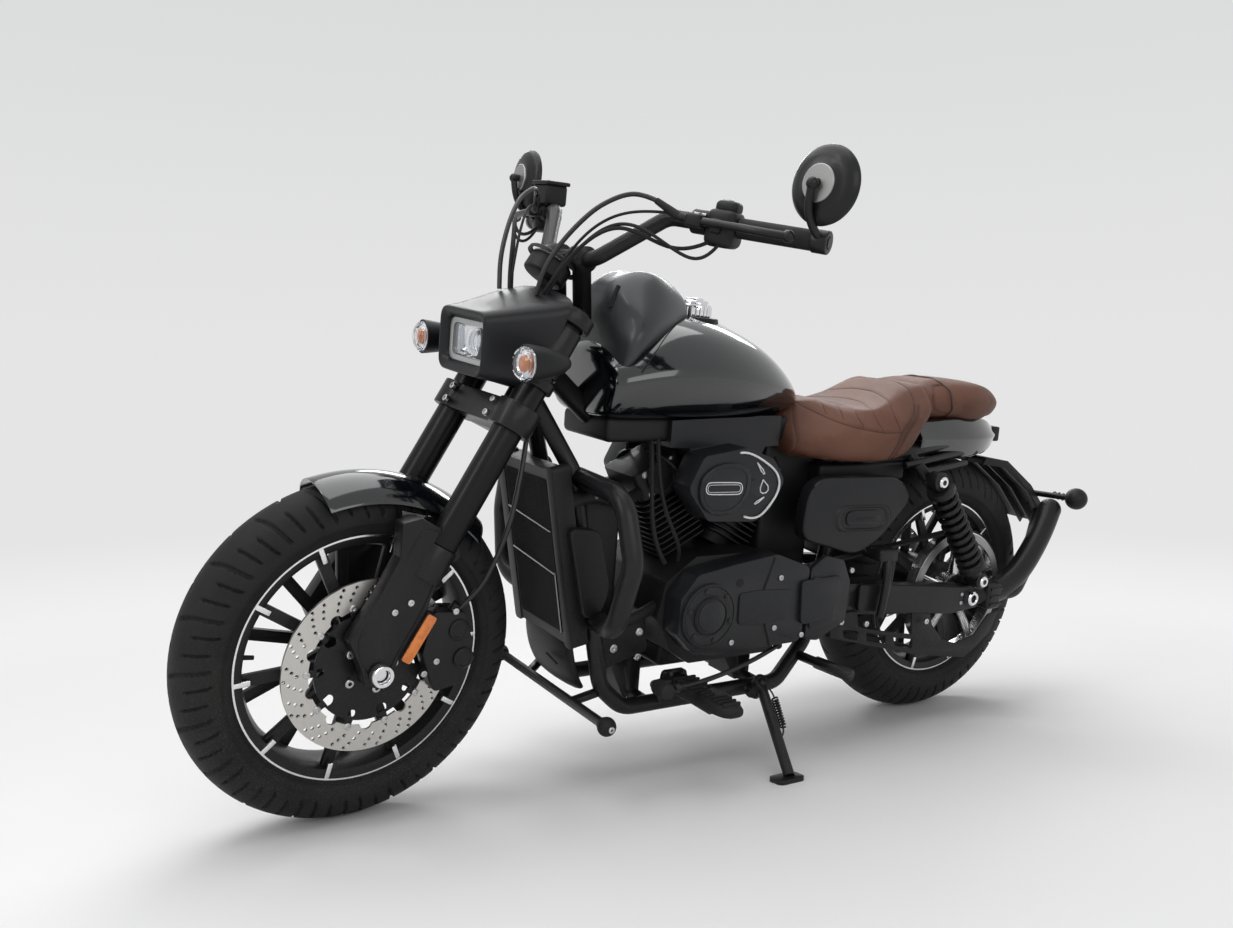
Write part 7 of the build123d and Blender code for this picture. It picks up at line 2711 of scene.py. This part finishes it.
@dataclass
class InnerParts(Assembly):
    """What fills the machine behind its covers: electrics box, inner mudguard and fan shroud."""

    axle: Vector = point(*REAR_AXLE)
    # blocks: low corner, high corner, rounding
    case: tuple = ((0.424, -0.058, 0.38), (0.56, 0.058, 0.652), 0.01)
    case_lid: tuple = ((0.418, -0.052, 0.56), (0.43, 0.052, 0.64), 0.004)
    fan: tuple = ((0.9, -0.058, 0.3), (0.985, 0.058, 0.585), 0.012)
    tray: tuple = ((0.19, -0.095, 0.574), (0.44, 0.095, 0.614), 0.008)
    sump: tuple = ((0.6, -0.075, 0.214), (0.8, 0.075, 0.262), 0.01)
    bracket: tuple = ((0.966, 0.322), (0.858, 0.344), (0.846, 0.262), (0.945, 0.236))
    bracket_bolts: tuple = ((0.869, 0.303), (0.925, 0.276))
    # inner mudguard: radius, half width, first and last angle, rows
    reach: float = 0.34
    half: float = 0.088
    arc: tuple = (14, 80)
    rows: int = 15

    def make_guard(self) -> bpy.types.Object:
        """Returns the inner mudguard."""
        rows = []
        for step in range(self.rows):
            turn = math.radians(self.arc[0] + (self.arc[1] - self.arc[0]) * step / (self.rows - 1))
            way = Vector((math.cos(turn), 0.0, math.sin(turn)))
            inner = []
            for t in (1, 0.6, 0, -0.6, -1):
                inner.append(self.axle + way * (self.reach - 0.01 * t ** 2) + LEFT * self.half * t)
            rows.append(inner + [spot + way * 0.004 for spot in inner[::-1]])
        return Bench.skin(rows, 1, capped=True)

    def build(self) -> None:
        """Builds the inner parts."""
        bracket = Bench.plate(seen_from_left(self.bracket, 0.091, 0.01), LEFT * 0.008, 0.0015, 2)
        blocks = [Bench.brick(*block) for block in (self.case, self.case_lid, self.fan, self.tray, self.sump)]
        self.add([*blocks, self.make_guard(), Bench.mirror(bracket)], "inner_parts", F.PLASTIC, angle=40.0)
        bolts = Bench.studs(seen_from_left(self.bracket_bolts, 0.099), LEFT, 0.0085, 0.004, dome=True)
        self.add(bolts, "bracket_bolts", F.ZINC, both=True, angle=35.0)


ASSEMBLIES: tuple[type[Assembly], ...] = (
    Tyre, RearTyre, WheelTrim, RearWheelTrim, FrontDisc, RearDisc, Saddle, PillionPad, Nacelle, FrontSignals,
    ForkDress, Mirrors, Tank, SideCovers, AirboxDress, Cockpit, Dial, EngineDress, RadiatorDress, Springs,
    RearDress, PulleyTrim, LowerDress, InnerParts,
)
# ------------------------------------------------------------------ assembly
def main() -> None:
    """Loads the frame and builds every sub-assembly in order."""
    logging.basicConfig(level=logging.INFO, format="%(relativeCreated)7d %(message)s")
    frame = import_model()
    FRAME_NODES.update(frame["nodes"])
    Bench.rig = Rig.from_joints(frame["joints"])
    Studio().build(Bench.rig)
    for assembly in ASSEMBLIES:
        assembly().build()
        LOG.info("%s built", assembly.__name__)
    for shell in SHELLS:
        shell.build()
    LOG.info("%d pieces", Bench.tally)


if __name__ == "__main__":
    main()
